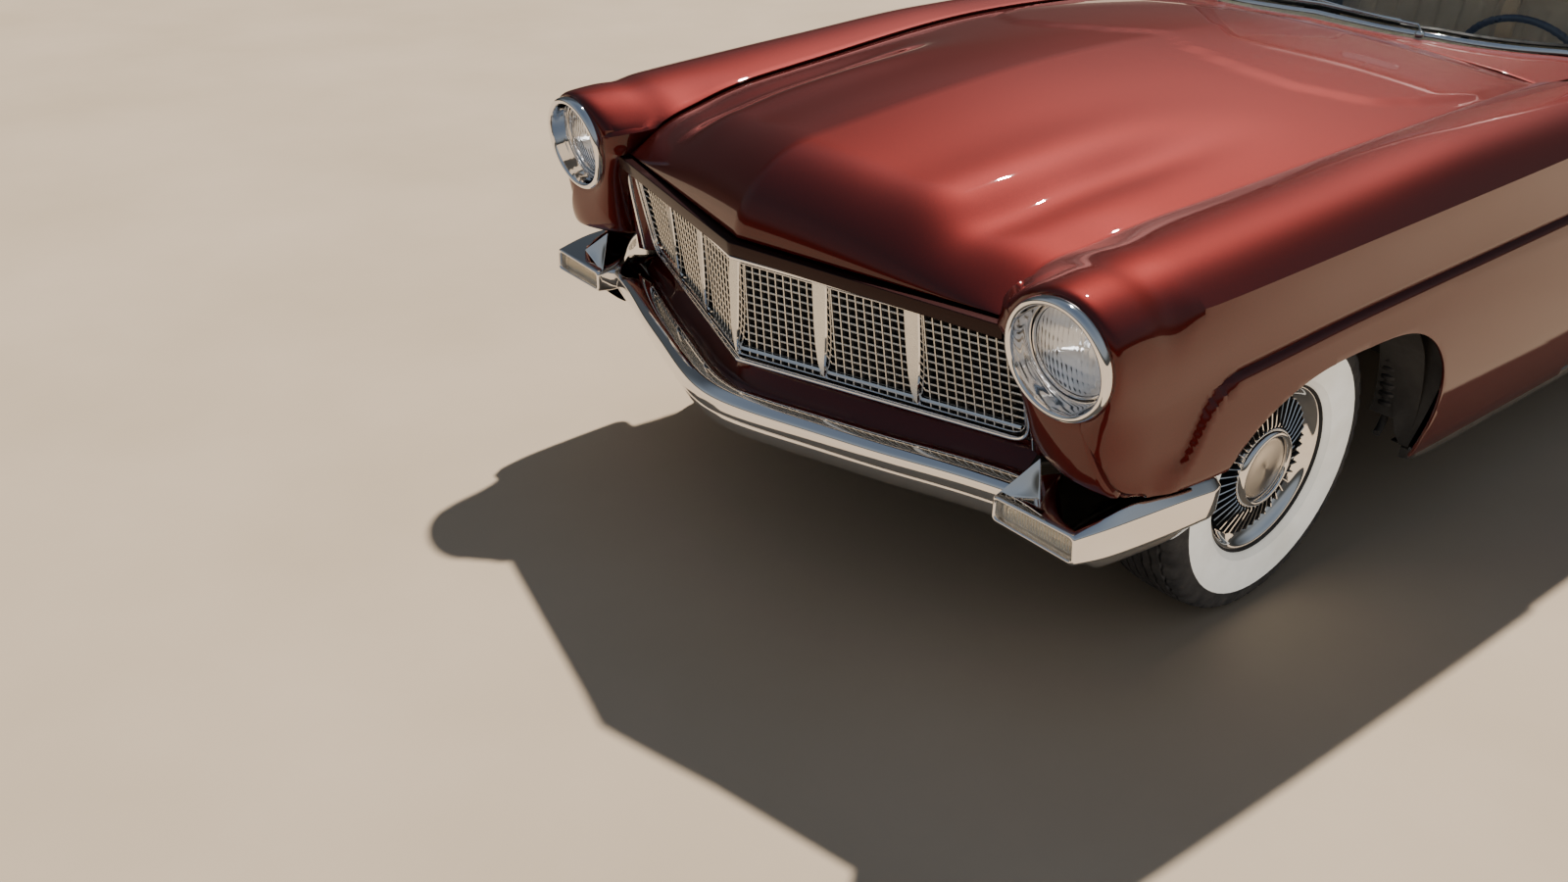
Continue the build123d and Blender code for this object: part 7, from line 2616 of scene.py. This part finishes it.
# thermostat housing, distributor, fuel pump, filter, oil pan flange and bolts
m.lathe(through([(756, 56), (770, 56), (772, 46), (790, 42), (806, 36), (816, 28)], 24), (40, -262, 0), (0, 0, 1), 32)
m.lathe(through([(756, 44), (790, 42), (798, 50), (826, 50), (832, 46), (862, 44), (870, 30), (872, 0.4)], 40), (0, 372, 0), (0, 0, 1), 40, mat=1)
for i in range(9):
    a = 2 * PI * i / 8 if i < 8 else 0
    r_ = 31 if i < 8 else 0
    m.tube([(r_ * math.cos(a), 372 + r_ * math.sin(a), 860), (r_ * math.cos(a), 372 + r_ * math.sin(a), 880)], [8, 6.5], 10, mat=1)
m.lathe(through([(0, 48), (8, 52), (60, 52), (120, 52), (134, 44), (138, 20)], 30), (232, -348, 700), (0, 1, 0), 36)
for i in range(14):
    a = 2 * PI * i / 14
    m.tube([(232 + 52 * math.cos(a), -336, 700 + 52 * math.sin(a)), (232 + 52 * math.cos(a), -240, 700 + 52 * math.sin(a))], 2.4, 6)
m.lathe(through([(0, 44), (6, 50), (30, 52), (80, 50), (96, 38), (100, 14)], 30), (-226, -344, 690), (0, 1, 0), 36)
m.lathe(through([(0, 46), (14, 47), (110, 47), (124, 38), (128, 10)], 30), (-176, -300, 470), (0.2, 0, -1), 32)
for y in np.arange(-330, 470, 66):
    for sg in (-1, 1):
        bolt(m, (sg * 146, y, 316), (0, 0, -1), 6, 5)
m.box(-166, 166, -356, 486, 326, 334, r=2)
rows = []
for y, z, k in ((-342, 326, 1.0), (-338, 296, 0.96), (-60, 292, 0.95), (0, 262, 0.9), (420, 256, 0.9), (470, 300, 0.95), (480, 326, 1.0)):
    q = rounded([(-148 * k, 330), (148 * k, 330), (138 * k, z), (-138 * k, z)], [2, 2, 16, 16], 3) if z < 320 else rounded([(-148, 330), (148, 330), (148, 325), (-148, 325)], 1, 3)
    rows.append(np.c_[q[:, 0], np.full(len(q), y), q[:, 1]])
m.grid(np.array(rows), close_v=True)
for x, z in ((-172, 470), (172, 470), (0, 690)):
    m.box(x - 18, x + 18, -356, -348, z - 18, z + 18, r=2)
for y in np.linspace(530, 1180, 9):                     # ribs of the gearbox case
    m.ribbon([(-113, y, 340), (-120, y, 466), (-76, y, 520), (76, y, 520), (120, y, 466), (113, y, 340)], (0, 1, 0), [(-3, -3), (3, -3), (3, 3), (-3, 3)])
for a in np.linspace(0.15, PI - 0.15, 9):
    bolt(m, (168 * math.cos(a), 646, 420 + 150 * math.sin(a)), (0, 1, 0), 8, 8)
fix(m.make("fittings_engine", [ENGINE, BLACK], "car_body", "engine_iron", angle=38))

m = Mesh()
# fan, pulleys and belts
FC = np.array([0.0, -404.0, 612.0])
for k in range(5):
    a = 2 * PI * k / 5
    u = np.array([math.cos(a), 0, math.sin(a)])
    w_ = np.array([-math.sin(a), 0, math.cos(a)])
    rows = []
    for r_ in np.linspace(34, 186, 12):
        half = 18 + 30 * min(1, (r_ - 34) / 60)
        rows.append([FC + u * r_ + w_ * half * q + np.array([0, 1, 0]) * (15 * q + 5 * (1 - q * q)) for q in np.linspace(-1, 1, 7)])
    m.grid(np.array(rows))
m.lathe(through([(-14, 0.3), (-14, 26), (-6, 30), (6, 32), (14, 30)], 20), FC, (0, 1, 0), 30)
for (x, z, r_) in ((0, 612, 74), (0, 420, 88), (232, 700, 40), (-226, 690, 52)):
    m.lathe(through([(-376, r_ * 0.35), (-374, r_ * 0.7), (-372, r_), (-366, r_ - 2), (-362, r_ - 9), (-358, r_ - 2), (-352, r_)], 30), (x, 0, z), (0, 1, 0), 56)
o = m.make("fan_engine", CASTING, "car_body", "cast_parts", angle=40)
panel(o, 2.4, 0)
m = Mesh()


def belt(cs, y):
    """Closed line round circles (x, z, r), a V belt."""
    pts = []
    for x, z, r_ in cs:
        a = np.linspace(0, 2 * PI, 72, endpoint=False)
        pts += [(x + r_ * math.cos(t), z + r_ * math.sin(t)) for t in a]
    pts = np.array(pts)
    order = []
    c = pts.mean(0)
    i = int(np.argmax(pts[:, 0]))
    cur, d_ = i, 0.0
    for _ in range(400):
        order.append(cur)
        v = pts - pts[cur]
        ang = (np.arctan2(v[:, 1], v[:, 0]) - d_) % (2 * PI)
        dist = np.hypot(v[:, 0], v[:, 1])
        ang[dist < 1e-6] = 9
        nxt = int(np.lexsort((-dist, np.round(ang, 5)))[0])
        d_ = math.atan2(pts[nxt, 1] - pts[cur, 1], pts[nxt, 0] - pts[cur, 0])
        cur = nxt
        if cur == i:
            break
    q = resample(pts[order], 140, closed=True)
    return np.c_[q[:, 0], np.full(len(q), y), q[:, 1]]


for cs, y in (([(0, 612, 70), (0, 420, 84), (232, 700, 36)], -361), ([(0, 420, 84), (-226, 690, 48), (0, 612, 70)], -373)):
    P = belt(cs, y)
    m.ribbon(P, (0, 1, 0), [(-4.5, -5), (4.5, -5), (3, 5), (-3, 5)], loop=True)
# radiator and heater hoses
P = through([(40, -292, 812), (30, -340, 832), (60, -400, 850), (120, -440, 846), (150, -474, 838)], 30)
m.tube(P, 21, 18)
m.tube(through([(-120, -352, 410), (-140, -400, 404), (-180, -440, 430), (-190, -472, 446)], 24), 22, 18)
m.tube(through([(-110, 1130, 742), (-120, 1000, 752), (-130, 760, 700), (-150, 560, 690), (-190, 470, 712)], 40), 11, 12)
m.tube(through([(-160, 1130, 742), (-172, 1000, 756), (-190, 760, 712), (-200, 560, 700), (-230, 440, 730)], 40), 11, 12)
m.make("hoses_and_belts", RUBBER, "car_body", "chassis_black", angle=50)

m = Mesh()
q = rounded([(-326, -540), (326, -540), (326, -462), (-326, -462)], 26, 6)
for z0, z1 in ((826, 868), (404, 444)):
    rows = []
    c = q.mean(0)
    for z, k in ((z0, 0.90), (z0 + 6, 0.985), (z0 + 12, 1.0), (z1 - 12, 1.0), (z1 - 6, 0.985), (z1, 0.90)):
        p_ = c + (q - c) * np.array([1 - (1 - k) * 0.25, k])
        rows.append(np.c_[p_, np.full(len(q), z)])
    m.grid(np.array(rows), close_v=True)
    n = len(q)
    m.add(rows[0], [list(range(n))[::-1]])
    m.add(rows[-1], [list(range(n))])
for sg in (-1, 1):
    m.box(sg * 331 - 9, sg * 331 + 9, -536, -466, 420, 860, r=3)
m.lathe(through([(864, 26), (874, 26), (876, 34), (884, 34), (888, 26), (889, 0.3)], 24), (-120, -501, 0), (0, 0, 1), 30)
a = np.linspace(0, 2 * PI, 96, endpoint=False)           # fan shroud
sq = np.array([(318 * max(-1, min(1, 1.35 * math.cos(t))), 640 + 205 * max(-1, min(1, 1.35 * math.sin(t)))) for t in a])
ci = np.array([(204 * math.cos(t), 612 + 204 * math.sin(t)) for t in a])
rows = [np.c_[sq[:, 0], np.full(96, -466), sq[:, 1]], np.c_[sq[:, 0], np.full(96, -456), sq[:, 1]], np.c_[ci[:, 0] * 1.03, np.full(96, -446), 612 + (ci[:, 1] - 612) * 1.03], np.c_[ci[:, 0], np.full(96, -440), ci[:, 1]], np.c_[ci[:, 0], np.full(96, -412), ci[:, 1]]]
m.grid(np.array(rows), close_v=True)
for x in np.arange(-300, 301, 12.0):                      # core tubes in front
    m.tube([(x, -531.5, 446), (x, -531.5, 826)], 1.6, 6)
m.make("tanks_radiator", ENAMEL, "car_body", "chassis_black", angle=40)

m = Mesh()
# booster, master cylinder, horns, washer jar, support bars
m.lathe(through([(1131, 60), (1120, 70), (1102, 76), (1084, 76), (1070, 68), (1062, 40), (1060, 22)], 30), (318, 0, 700), (0, 1, 0), 48)
m.lathe(through([(1062, 22), (930, 22), (926, 16), (925, 0.3)], 12), (318, 0, 700), (0, 1, 0), 24)
m.lathe(through([(718, 26), (750, 28), (756, 32), (762, 30), (764, 8), (764.4, 0.3)], 16), (318, 980, 0), (0, 0, 1), 24)
for x in (-396, 396):
    m.lathe(through([(-620, 46), (-600, 34), (-570, 22), (-520, 14), (-480, 20), (-470, 24), (-460, 20), (-458, 0.3)], 40), (x, 0, 760), (0, 1, 0), 32)
for sg in (-1, 1):
    m.tube(through([(sg * 420, -520, 880), (sg * 300, -505, 896), (sg * 120, -496, 902), (0, -496, 903)], 20), 9, 10)
m.box(-436, 436, -566, -548, 414, 432, r=3)
m.box(-436, 436, -566, -548, 876, 894, r=3)
for sg in (-1, 1):
    m.box(sg * 410 - 26, sg * 410 + 26, -562, -552, 430, 878, r=2)
fix(m.make("fittings_bay", ENAMEL, "car_body", "chassis_black", angle=40))
# beads and bolts on the aprons, the brightest edge of the wheel wells
for sg, tag in ((1, "left"), (-1, "right")):
    m = Mesh()
    for y in np.arange(-500, 1000, 125.0):
        zt = 856 + (y + 560) / 1560 * 92 - 40
        m.tube([(438.6, y, 470), (438, y, 486), (438, y, zt - 16), (438.6, y, zt)], [3, 8, 8, 3], 8)
    for y in np.arange(-540, 1000, 62.5):
        zt = 856 + (y + 560) / 1560 * 92
        bolt(m, (470, y, zt + 10), (0, 0, 1), 6, 5)
    for y in (2860, 3000, 3140, 3280, 3420, 3540):
        m.tube([(629, y, 580), (628.4, y, 590), (628.4, y, 750), (629, y, 762)], [3, 7, 7, 3], 8)
    m.make(f"beads_wheelhouse_{tag}", UNDER, "car_body", "underbody", angle=40, mirror=sg < 0)


# ================================================================ underside
for sg, tag in ((1, "left"), (-1, "right")):
    m = Mesh()
    t = np.linspace(0, 1, 190)
    a = t * 6.2 * 2 * PI
    z = 240 + 232 * np.clip((t - 0.03) / 0.94, 0, 1)
    m.tube(np.stack([512 + 46 * np.cos(a), 46 * np.sin(a), z], 1), 7.2, 10)
    m.lathe(through([(234, 18), (240, 22), (360, 22), (362, 27), (470, 27), (474, 16)], 30), (512, 0, 0), (0, 0, 1), 24)
    m.lathe(through([(232, 60), (236, 62), (242, 60), (244, 40)], 14), (512, 0, 0), (0, 0, 1), 40)
    m.lathe(through([(468, 40), (472, 60), (478, 62), (480, 60)], 14), (512, 0, 0), (0, 0, 1), 40)
    for y in (-80, 80):
        for z_, x in ((220, 404), (490, 366)):
            m.lathe([(-16, 0.3), (-16, 17), (16, 17), (16, 0.3)], (x + 12, y * 0.9, z_), (0, 1, 0), 20)
    m.tube(through([(0, -264, 262), (330, -264, 262), (392, -250, 262), (428, -190, 262), (436, -110, 254), (440, -40, 244)], 50), 10, 12)
    m.make(f"springs_front_{tag}", ENAMEL, "car_body", "chassis_black", angle=45, mirror=sg < 0)
    # leaf pack with clips, shackles, clamp plate, damper
    m = Mesh()
    line = through([(2730, 356), (2840, 331), (2950, 314), (3200, 311), (3450, 314), (3640, 336), (3764, 358)], 80)
    for k, (a_, b_) in enumerate(((2726, 3766), (2790, 3690), (2880, 3560), (2970, 3450))):
        q = line[(line[:, 0] >= a_) & (line[:, 0] <= b_)]
        P = np.c_[np.full(len(q), 529.0), q[:, 0], q[:, 1] + 11 - 7.6 * k]
        m.sweep(P, rounded([(-31, -2.9), (31, -2.9), (31, 2.9), (-31, 2.9)], 1.4, 2))
    for y in (2860, 3040, 3360, 3540):
        zc = float(np.interp(y, line[:, 0], line[:, 1]))
        m.box(494, 564, y - 9, y + 9, zc - 18, zc + 18, r=2)
    for y in (3150, 3250):
        P = [(497, y, 268), (497, y, 366), (505, y, 392), (529, y, 400), (553, y, 392), (561, y, 366), (561, y, 268)]
        m.tube(through(P, 40), 5.5, 8)
        for x in (497, 561):
            bolt(m, (x, y, 280), (0, 0, -1), 8, 8)
    m.box(486, 572, 3132, 3268, 280, 288, r=2)
    for y, z_ in ((2722, 358), (3768, 358)):
        m.lathe([(-38, 0.3), (-38, 11), (-33, 11), (-33, 20), (33, 20), (33, 11), (38, 11), (38, 0.3)], (529, y, z_), (1, 0, 0), 20)
    m.box(490, 496, 3752, 3784, 340, 410, r=2)
    m.box(562, 568, 3752, 3784, 340, 410, r=2)
    A_, B_ = np.array([470.0, 3270, 300]), np.array([452.0, 3420, 505])
    ax = B_ - A_
    L_ = float(np.linalg.norm(ax))
    m.lathe(through([(0, 14), (10, 18), (L_ * 0.45, 19), (L_ * 0.47, 27), (L_ - 14, 27), (L_ - 4, 16), (L_, 10)], 40), A_, ax, 24)
    m.make(f"springs_rear_{tag}", ENAMEL, "car_body", "chassis_black", angle=40, mirror=sg < 0)
    # frame rail: lips, holes and body mounts
    m = Mesh()
    rail_lo = [(-600, 330), (-350, 300), (500, 300), (750, 262), (2500, 262), (2850, 424), (3550, 424), (3800, 330), (4380, 330)]
    rail_hi = [(-600, 412), (-350, 400), (500, 400), (760, 370), (2470, 370), (2810, 520), (3600, 520), (3820, 415), (4380, 412)]
    for ln in (rail_lo, rail_hi):
        P = resample(np.array(ln, float), 160)
        for x in (343.5, 436.5):
            m.tube(np.c_[np.full(160, x), P], 3.2, 6)
    for y in np.arange(-480, 4300, 240):
        zm = (np.interp(y, [p[0] for p in rail_lo], [p[1] for p in rail_lo]) + np.interp(y, [p[0] for p in rail_hi], [p[1] for p in rail_hi])) / 2
        if 420 < y < 480 or 1140 < y < 1240 or 2350 < y < 2450:
            continue
        m.lathe([(435, 16), (437, 17), (438.6, 15), (436.2, 13), (435.4, 0.3)], (0, y, zm), (1, 0, 0), 20)
    for y in (700, 1190, 1740, 2400):
        m.lathe(through([(0, 26), (4, 30), (10, 30), (14, 24)], 12), (390, y, 370), (0, 0, 1), 24)
    for y0, y1, z0, z1, x1_ in ((1150, 1230, 270, 366, 734), (2360, 2440, 270, 366, 734)):
        for x in np.arange(470, x1_ - 20, 70):
            m.lathe([(0, 15), (2, 16), (3, 13), (0.6, 11), (0.4, 0.3)], (x, y0 - 1, (z0 + z1) / 2), (0, -1, 0), 18)
    m.make(f"details_frame_{tag}", ENAMEL, "car_body", "chassis_black", angle=40, mirror=sg < 0)

# exhaust: pipes, oval silencers with seams, hangers and bright ends
m = Mesh()
for sg in (1, -1):
    x = sg * 262
    for y0, y1 in ((500, 1886), (2434, 4470)):
        m.tube([(x, y, 232) for y in np.linspace(y0, y1, 24)], 25, 24, cap=False)
    sec = [(93 * abs(math.cos(a)) ** 0.62 * (1 if math.cos(a) >= 0 else -1), 43 * abs(math.sin(a)) ** 0.62 * (1 if math.sin(a) >= 0 else -1)) for a in np.linspace(0, 2 * PI, 64, endpoint=False)]
    sec = np.array(sec)
    rows = []
    for y, k in ((1880, 0.3), (1880.5, 0.86), (1884, 0.93), (1890, 1.0), (1896, 1.0), (1898, 0.975), (1980, 0.975), (2150, 0.975), (2340, 0.975), (2422, 0.975), (2424, 1.0), (2430, 1.0), (2436, 0.93), (2439.5, 0.86), (2440, 0.3)):
        rows.append(np.c_[x + sec[:, 0] * k, np.full(64, y), 216 + sec[:, 1] * k])
    m.grid(np.array(rows), close_v=True)
    m.tube([(x + sg * 60, y, 216 + 31) for y in (1900, 2160, 2420)], 2.5, 6)
    for y in (1860, 2460, 3200, 4000):
        m.lathe([(-9, 25), (-9, 29), (9, 29), (9, 25)], (x, y, 232), (0, 1, 0), 24)
        m.tube([(x, y, 258), (x + sg * 10, y, 275), (x + sg * 70, y, 285 if y < 2600 else 330)], 5, 8)
o = m.make("pipes_exhaust", PIPE, "car_body", "exhaust_steel", ["exhaust"], angle=40)
m = Mesh()
for sg in (1, -1):
    m.lathe([(4440, 25.4), (4446, 28.5), (4540, 29.5), (4556, 30), (4560, 29), (4558, 27), (4530, 25.6), (4450, 25.2)], (sg * 262, 0, 232), (0, 1, 0), 40)
m.make("tips_exhaust", CHROME, "car_body", "bright_chrome", angle=40)

# fuel tank with its seam, ribs, straps and filler
m = Mesh()
q0 = rounded([(-322, 3704), (322, 3704), (322, 4226), (-322, 4226)], 46, 8)
c = q0.mean(0)
rows = []
for z, k in ((416, 0.90), (418, 0.955), (426, 0.985), (440, 0.995), (472, 1.0), (474, 1.012), (480, 1.012), (482, 1.0), (514, 0.995), (528, 0.985), (536, 0.955), (538, 0.90)):
    p_ = c + (q0 - c) * k
    rows.append(np.c_[p_, np.full(len(q0), z)])
m.grid(np.array(rows), close_v=True)
n = len(q0)
m.add(rows[0], [list(range(n))[::-1]])
m.add(rows[-1], [list(range(n))])
for x in (-230, -76, 76, 230):
    for z, s_ in ((416, -1), (538, 1)):
        m.tube([(x, 3760, z), (x, 3776, z + 2 * s_), (x, 4150, z + 2 * s_), (x, 4168, z)], [3, 9, 9, 3], 8)
for x in (-150, 150):
    P = resample(rounded([(3696, 409), (4234, 409), (4234, 545), (3696, 545)], 40, 5), 90, closed=True)
    m.ribbon(np.c_[np.full(90, x), P], np.c_[np.zeros(90), P - P.mean(0)], [(-16, -1), (16, -1), (16, 1.2), (-16, 1.2)], loop=True)
m.lathe(through([(0, 40), (4, 42), (8, 40), (9, 16), (20, 14), (21, 0.3)], 16), (0, 3960, 538), (0, 0, 1), 32)
m.tube(through([(200, 4200, 500), (212, 4290, 520), (230, 4380, 560), (236, 4470, 566)], 30), 24, 16)
fix(m.make("tank_fuel", ENAMEL, "car_body", "chassis_black", ["fuel_tank"], angle=35))

# propeller shaft with its joints, axle cover and brake pipes
m = Mesh()
A_, B_ = np.array([0.0, 1256, 428]), np.array([0.0, 3030, 373])
ax = unit(B_ - A_)
L_ = float(np.linalg.norm(B_ - A_))
m.lathe([(0, 0.3), (0, 30), (40, 34), (48, 22), (84, 22), (92, 34), (110, 35), (L_ - 110, 35), (L_ - 92, 34), (L_ - 84, 22), (L_ - 48, 22), (L_ - 40, 34), (L_, 30), (L_, 0.3)], A_, ax, 40)
for d_ in (66, L_ - 66):
    p0 = A_ + ax * d_
    for v in (np.array([1.0, 0, 0]), np.cross(ax, np.array([1.0, 0, 0]))):
        m.lathe([(-38, 0.3), (-38, 12), (-20, 15), (20, 15), (38, 12), (38, 0.3)], p0, v, 16)
m.lathe([(160, 35.5), (165, 38), (185, 38), (190, 35.5)], A_, ax, 32)
fix(m.make("shaft_propeller", ENAMEL, "car_body", "chassis_black", ["driveshaft"], angle=40))
m = Mesh()
m.lathe(through([(96, 112), (102, 117), (108, 117), (112, 104), (124, 84), (132, 50), (134, 0.4)], 40), (0, 3200, 350), (0, 1, 0), 64)
for i in range(12):
    a = 2 * PI * i / 12
    bolt(m, (110 * math.cos(a), 3304, 350 + 110 * math.sin(a)), (0, 1, 0), 6, 5)
for sg in (-1, 1):
    m.tube(through([(sg * 120, 3236, 386), (sg * 300, 3230, 396), (sg * 560, 3226, 398), (sg * 640, 3224, 400)], 30), 3.2, 6)
    for x in (112, 300, 480, 620):
        m.lathe([(-8, 42), (-8, 47), (8, 47), (8, 42)], (sg * x, 3200, 350), (1, 0, 0), 32)
    rows = []
    for i in range(6):
        m.tube([(sg * 110, 3200 + 100 * math.cos(i * PI / 5), 350 - 100 * math.sin(i * PI / 5)), (-sg * 0 + sg * 20, 3200 + 112 * math.cos(i * PI / 5), 350 - 112 * math.sin(i * PI / 5))], 5, 6)
fix(m.make("fittings_rear_axle", CASTING, "car_body", "cast_parts", angle=40))

# ribs and drain plugs pressed in the floor, seen from below
m = Mesh()
for sg in (-1, 1):
    for x in (240, 500, 560, 620, 690):
        m.tube([(sg * x, y, 370) for y in (1010, 1030, 1130)], [2, 7, 2], 8)
        m.tube([(sg * x, y, 370) for y in (1260, 1290, 1650, 2280, 2330)], [2, 8, 8, 8, 2], 8)
    for y in (1330, 2200):
        m.lathe([(0, 34), (3, 34), (4, 28), (1, 24), (1, 0.3)], (sg * 560, y, 371), (0, 0, -1), 28)
for x in np.arange(-560, 561, 140):
    m.tube([(x, y, 544) for y in (2500, 2530, 2740)], [2, 8, 2], 8)
    m.tube([(x, y, 544) for y in (3640, 3680, 4360, 4400)], [2, 9, 9, 2], 8)
m.make("ribs_floor", UNDER, "car_body", "underbody", angle=50)


# ================================================================ door hardware, column and pedals
for sg, tag in ((1, "left"), (-1, "right")):
    m = Mesh()
    for z in (440, 760):
        m.box(828, 884, 1121.6, 1125.0, z - 34, z + 34, r=1)
        m.lathe([(-30, 0.3), (-30, 6.5), (30, 6.5), (30, 0.3)], (886, 1119, z), (0, 0, 1), 16)
        for dz in (-22, 22):
            bolt(m, (846, 1124.6, z + dz), (0, 1, 0), 5, 2.4)
    m.box(800, 838, 2539.5, 2543.5, 612, 690, r=1)
    m.make(f"hinges_door_{tag}", ENAMEL, "car_body", "chassis_black", angle=40, mirror=sg < 0)
m = Mesh()
def on_axis(t, r, a):
    return WC + CA * t + (U1 * math.cos(a) + U2 * math.sin(a)) * r
m.lathe(through([(-330, 25), (-326, 33), (-300, 34), (-200, 34), (-120, 34), (-112, 37), (-84, 37), (-70, 35), (-62, 30), (-60, 25)], 60), WC, CA, 40)
m.lathe([(-420, 25), (-416, 29), (-404, 29), (-400, 25)], WC, CA, 30)
for t_, a_, L_ in ((-96, PI, 150), (-104, 0.0, 190)):
    e = 0.35
    P = [on_axis(t_, 34, a_), on_axis(t_ + 6, 34 + L_ * 0.4, a_), on_axis(t_ + 26, 34 + L_ * 0.85, a_ + 0.02), on_axis(t_ + 34, 34 + L_, a_ + 0.02)]
    m.tube(through(P, 26), np.r_[np.linspace(5.5, 4, 20), np.linspace(6, 9, 5), 6], 12)
m.make("sleeve_column", BLUE, "car_body", "wheel_blue", angle=45)
m = Mesh()
for x, w_ in ((352, 34), (448, 24)):
    q = rounded([(x - w_, -30), (x + w_, -30), (x + w_, 30), (x - w_, 30)], 8, 4)
    nrm_ = unit(np.array([0, 1.0, 0.55]))
    upv = unit(np.array([0, -0.55, 1.0]))
    o_ = np.array([0, 1262.0, 500.0 if w_ > 30 else 470.0])
    rows = [[o_ + np.array([a, 0, 0]) + upv * b * (1 if w_ > 30 else 1.9) + nrm_ * h for a, b in q] for h in (0, 9, 12)]
    m.grid(np.array(rows), close_v=True)
    m.add(rows[-1], [list(range(len(q)))])
    m.add(rows[0], [list(range(len(q)))[::-1]])
    m.tube(through([tuple(o_ + np.array([x, 0, 0]) * 1.0), (x, 1240, o_[2] + 90), (x, 1190, 700), (x, 1150, 760)], 20), 7, 8)
m.make("pedals", RUBBER, "car_body", "chassis_black", angle=45)


# ================================================================ closing sheets of the bay and the luggage room
for sg, tag in ((1, "left"), (-1, "right")):
    m = Mesh()
    m.box(728, 806, 958, 1127, 378, 385, r=2)
    rows = []
    for x in (438, 520, 640, 728, 804):
        rows.append([(x, 1001 + (1.5 if i % 2 else 0), z) for i, z in enumerate((392, 470, 560, 650, 740, 830, 900, 938))])
    m.grid(np.array(rows))
    q = [[(x, y, 372) for x in (735, 760, 804)] for y in (1127, 1600, 2100, 2541)]
    m.grid(np.array(q))
    o = m.make(f"closing_sheets_{tag}", UNDER, "car_body", "underbody", angle=40, mirror=sg < 0)
    panel(o, 2.0, 0)
    # trimmed side of the luggage room
    m = Mesh()
    ys = np.arange(3420, 4510, 30.0)
    s_ = side(ys)
    rows = []
    for i, y in enumerate(ys):
        xs_, zt = s_["s"][i]
        zb = zt - 70 if y < 4000 else zt - 70 - (y - 4000) / 530 * 220
        xb = float(side_x(np.array([y]), np.array([[600.0]]))[0, 0]) - 26
        out = 627 if y < 3640 else 627 + (min(xb, 800) - 627) * smoothstep(y, 3640, 3720)
        rows.append([(618, y, 566), (out - 4, y, 567), (out + 2, y, 575), (out + 3, y, 650), (out + 3, y, min(786, zb - 40)), (0.5 * (out + xs_), y, min(800, zb - 24)), (xs_ + 1, y, zb + 3)])
    m.grid(np.array(rows))
    o = m.make(f"trim_luggage_{tag}", CARPET, "car_body", "underbody", angle=50, mirror=sg < 0)
    panel(o, 3.0, 0)
m = Mesh()
rows = []
for y in np.r_[np.arange(3300, 4420, 26.0), 4440, 4480, 4512]:
    rows.append([(x, y, 565 + 0.9 * math.sin(x / 31 + y / 47)) for x in np.linspace(-624, 624, 60)])
m.grid(np.array(rows))
rows = [[(x, 3296, 566), (x, 3290, 600), (x, 3262, 780), (x, 3240, 900), (x, 3236, 985)] for x in np.linspace(-622, 622, 40)]
m.grid(np.array(rows))
m.make("mat_luggage", CARPET, "car_body", "underbody", angle=60)


# ================================================================ lighter meshes, and nothing outside the CAD box
def thin(name, ratio, angle=40):
    """Takes out triangles where a mesh is finer than any view needs."""
    o = bpy.data.objects[name]
    mod = o.modifiers.new("thin", "DECIMATE")
    mod.ratio = ratio
    bpy.context.view_layer.update()
    dg = bpy.context.evaluated_depsgraph_get()
    new = bpy.data.meshes.new_from_object(o.evaluated_get(dg))
    o.modifiers.clear()
    old = o.data
    o.data = new
    bpy.data.meshes.remove(old)
    finish_mesh(o, angle)


for name, ratio, angle in (("cushion_front_seat", 0.36, 70), ("cushion_rear_seat", 0.36, 70), ("back_rear_seat", 0.36, 70),
                           ("back_front_seat_left", 0.4, 70), ("back_front_seat_right", 0.4, 70), ("carpet_front", 0.3, 60),
                           ("fan_engine", 0.3, 40), ("skin_dashboard", 0.6, 32), ("details_frame_left", 0.5, 40), ("details_frame_right", 0.5, 40),
                           ("springs_rear_left", 0.5, 40), ("springs_rear_right", 0.5, 40), ("springs_front_left", 0.5, 40), ("springs_front_right", 0.5, 40),
                           ("lens_headlamp_left", 0.4, 60), ("lens_headlamp_right", 0.4, 60), ("trim_grille_frame", 0.6, 40),
                           ("dials_and_controls", 0.6, 32), ("pipes_exhaust", 0.5, 40), ("fittings_bay", 0.6, 40), ("fittings_rear_axle", 0.6, 40),
                           ("fittings_engine", 0.6, 40), ("trim_rear_window", 0.7, 32)) + tuple(
                               (f"rubber_{e}_{t}", q, 28) for e, t, q in (("front", "left", 0.75), ("front", "right", 0.5), ("rear", "left", 0.38), ("rear", "right", 0.38))) + tuple(
                                   (f"cover_{e}_{t}", 0.7, 35) for e, t in (("front", "right"), ("rear", "left"), ("rear", "right"))):
    thin(name, ratio, angle)


def tuck(o):
    """Eases the last millimetres of a skin in, so that it ends inside the CAD box."""
    p = np.zeros(len(o.data.vertices) * 3)
    o.data.vertices.foreach_get("co", p)
    p = p.reshape(-1, 3)
    for k, lim in ((0, CAD_BOX[1][0]), (1, CAD_BOX[1][1])):
        a, s_, w = np.abs(p[:, k]), lim - 0.012, 0.0116
        if a.max() > (s_ if k == 0 else lim):
            p[:, k] = np.sign(p[:, k]) * np.where(a > s_, s_ + w * (1 - np.exp(-np.maximum(a - s_, 0) / w)), a)
    o.data.vertices.foreach_set("co", p.ravel())
    o.data.update()


for o in list(bpy.context.scene.objects):
    if o.type == "MESH" and o.name not in frame["nodes"] and o.name != "floor":
        tuck(o)


# the two low fills light the car and not the floor
lit = bpy.data.collections.new("lit_by_fills")
for o in bpy.context.scene.objects:
    if o.type == "MESH" and o.name != "floor":
        lit.objects.link(o)
for o in bpy.context.scene.objects:
    if o.type == "LIGHT" and o.name.startswith("fill_"):
        o.light_linking.receiver_collection = lit
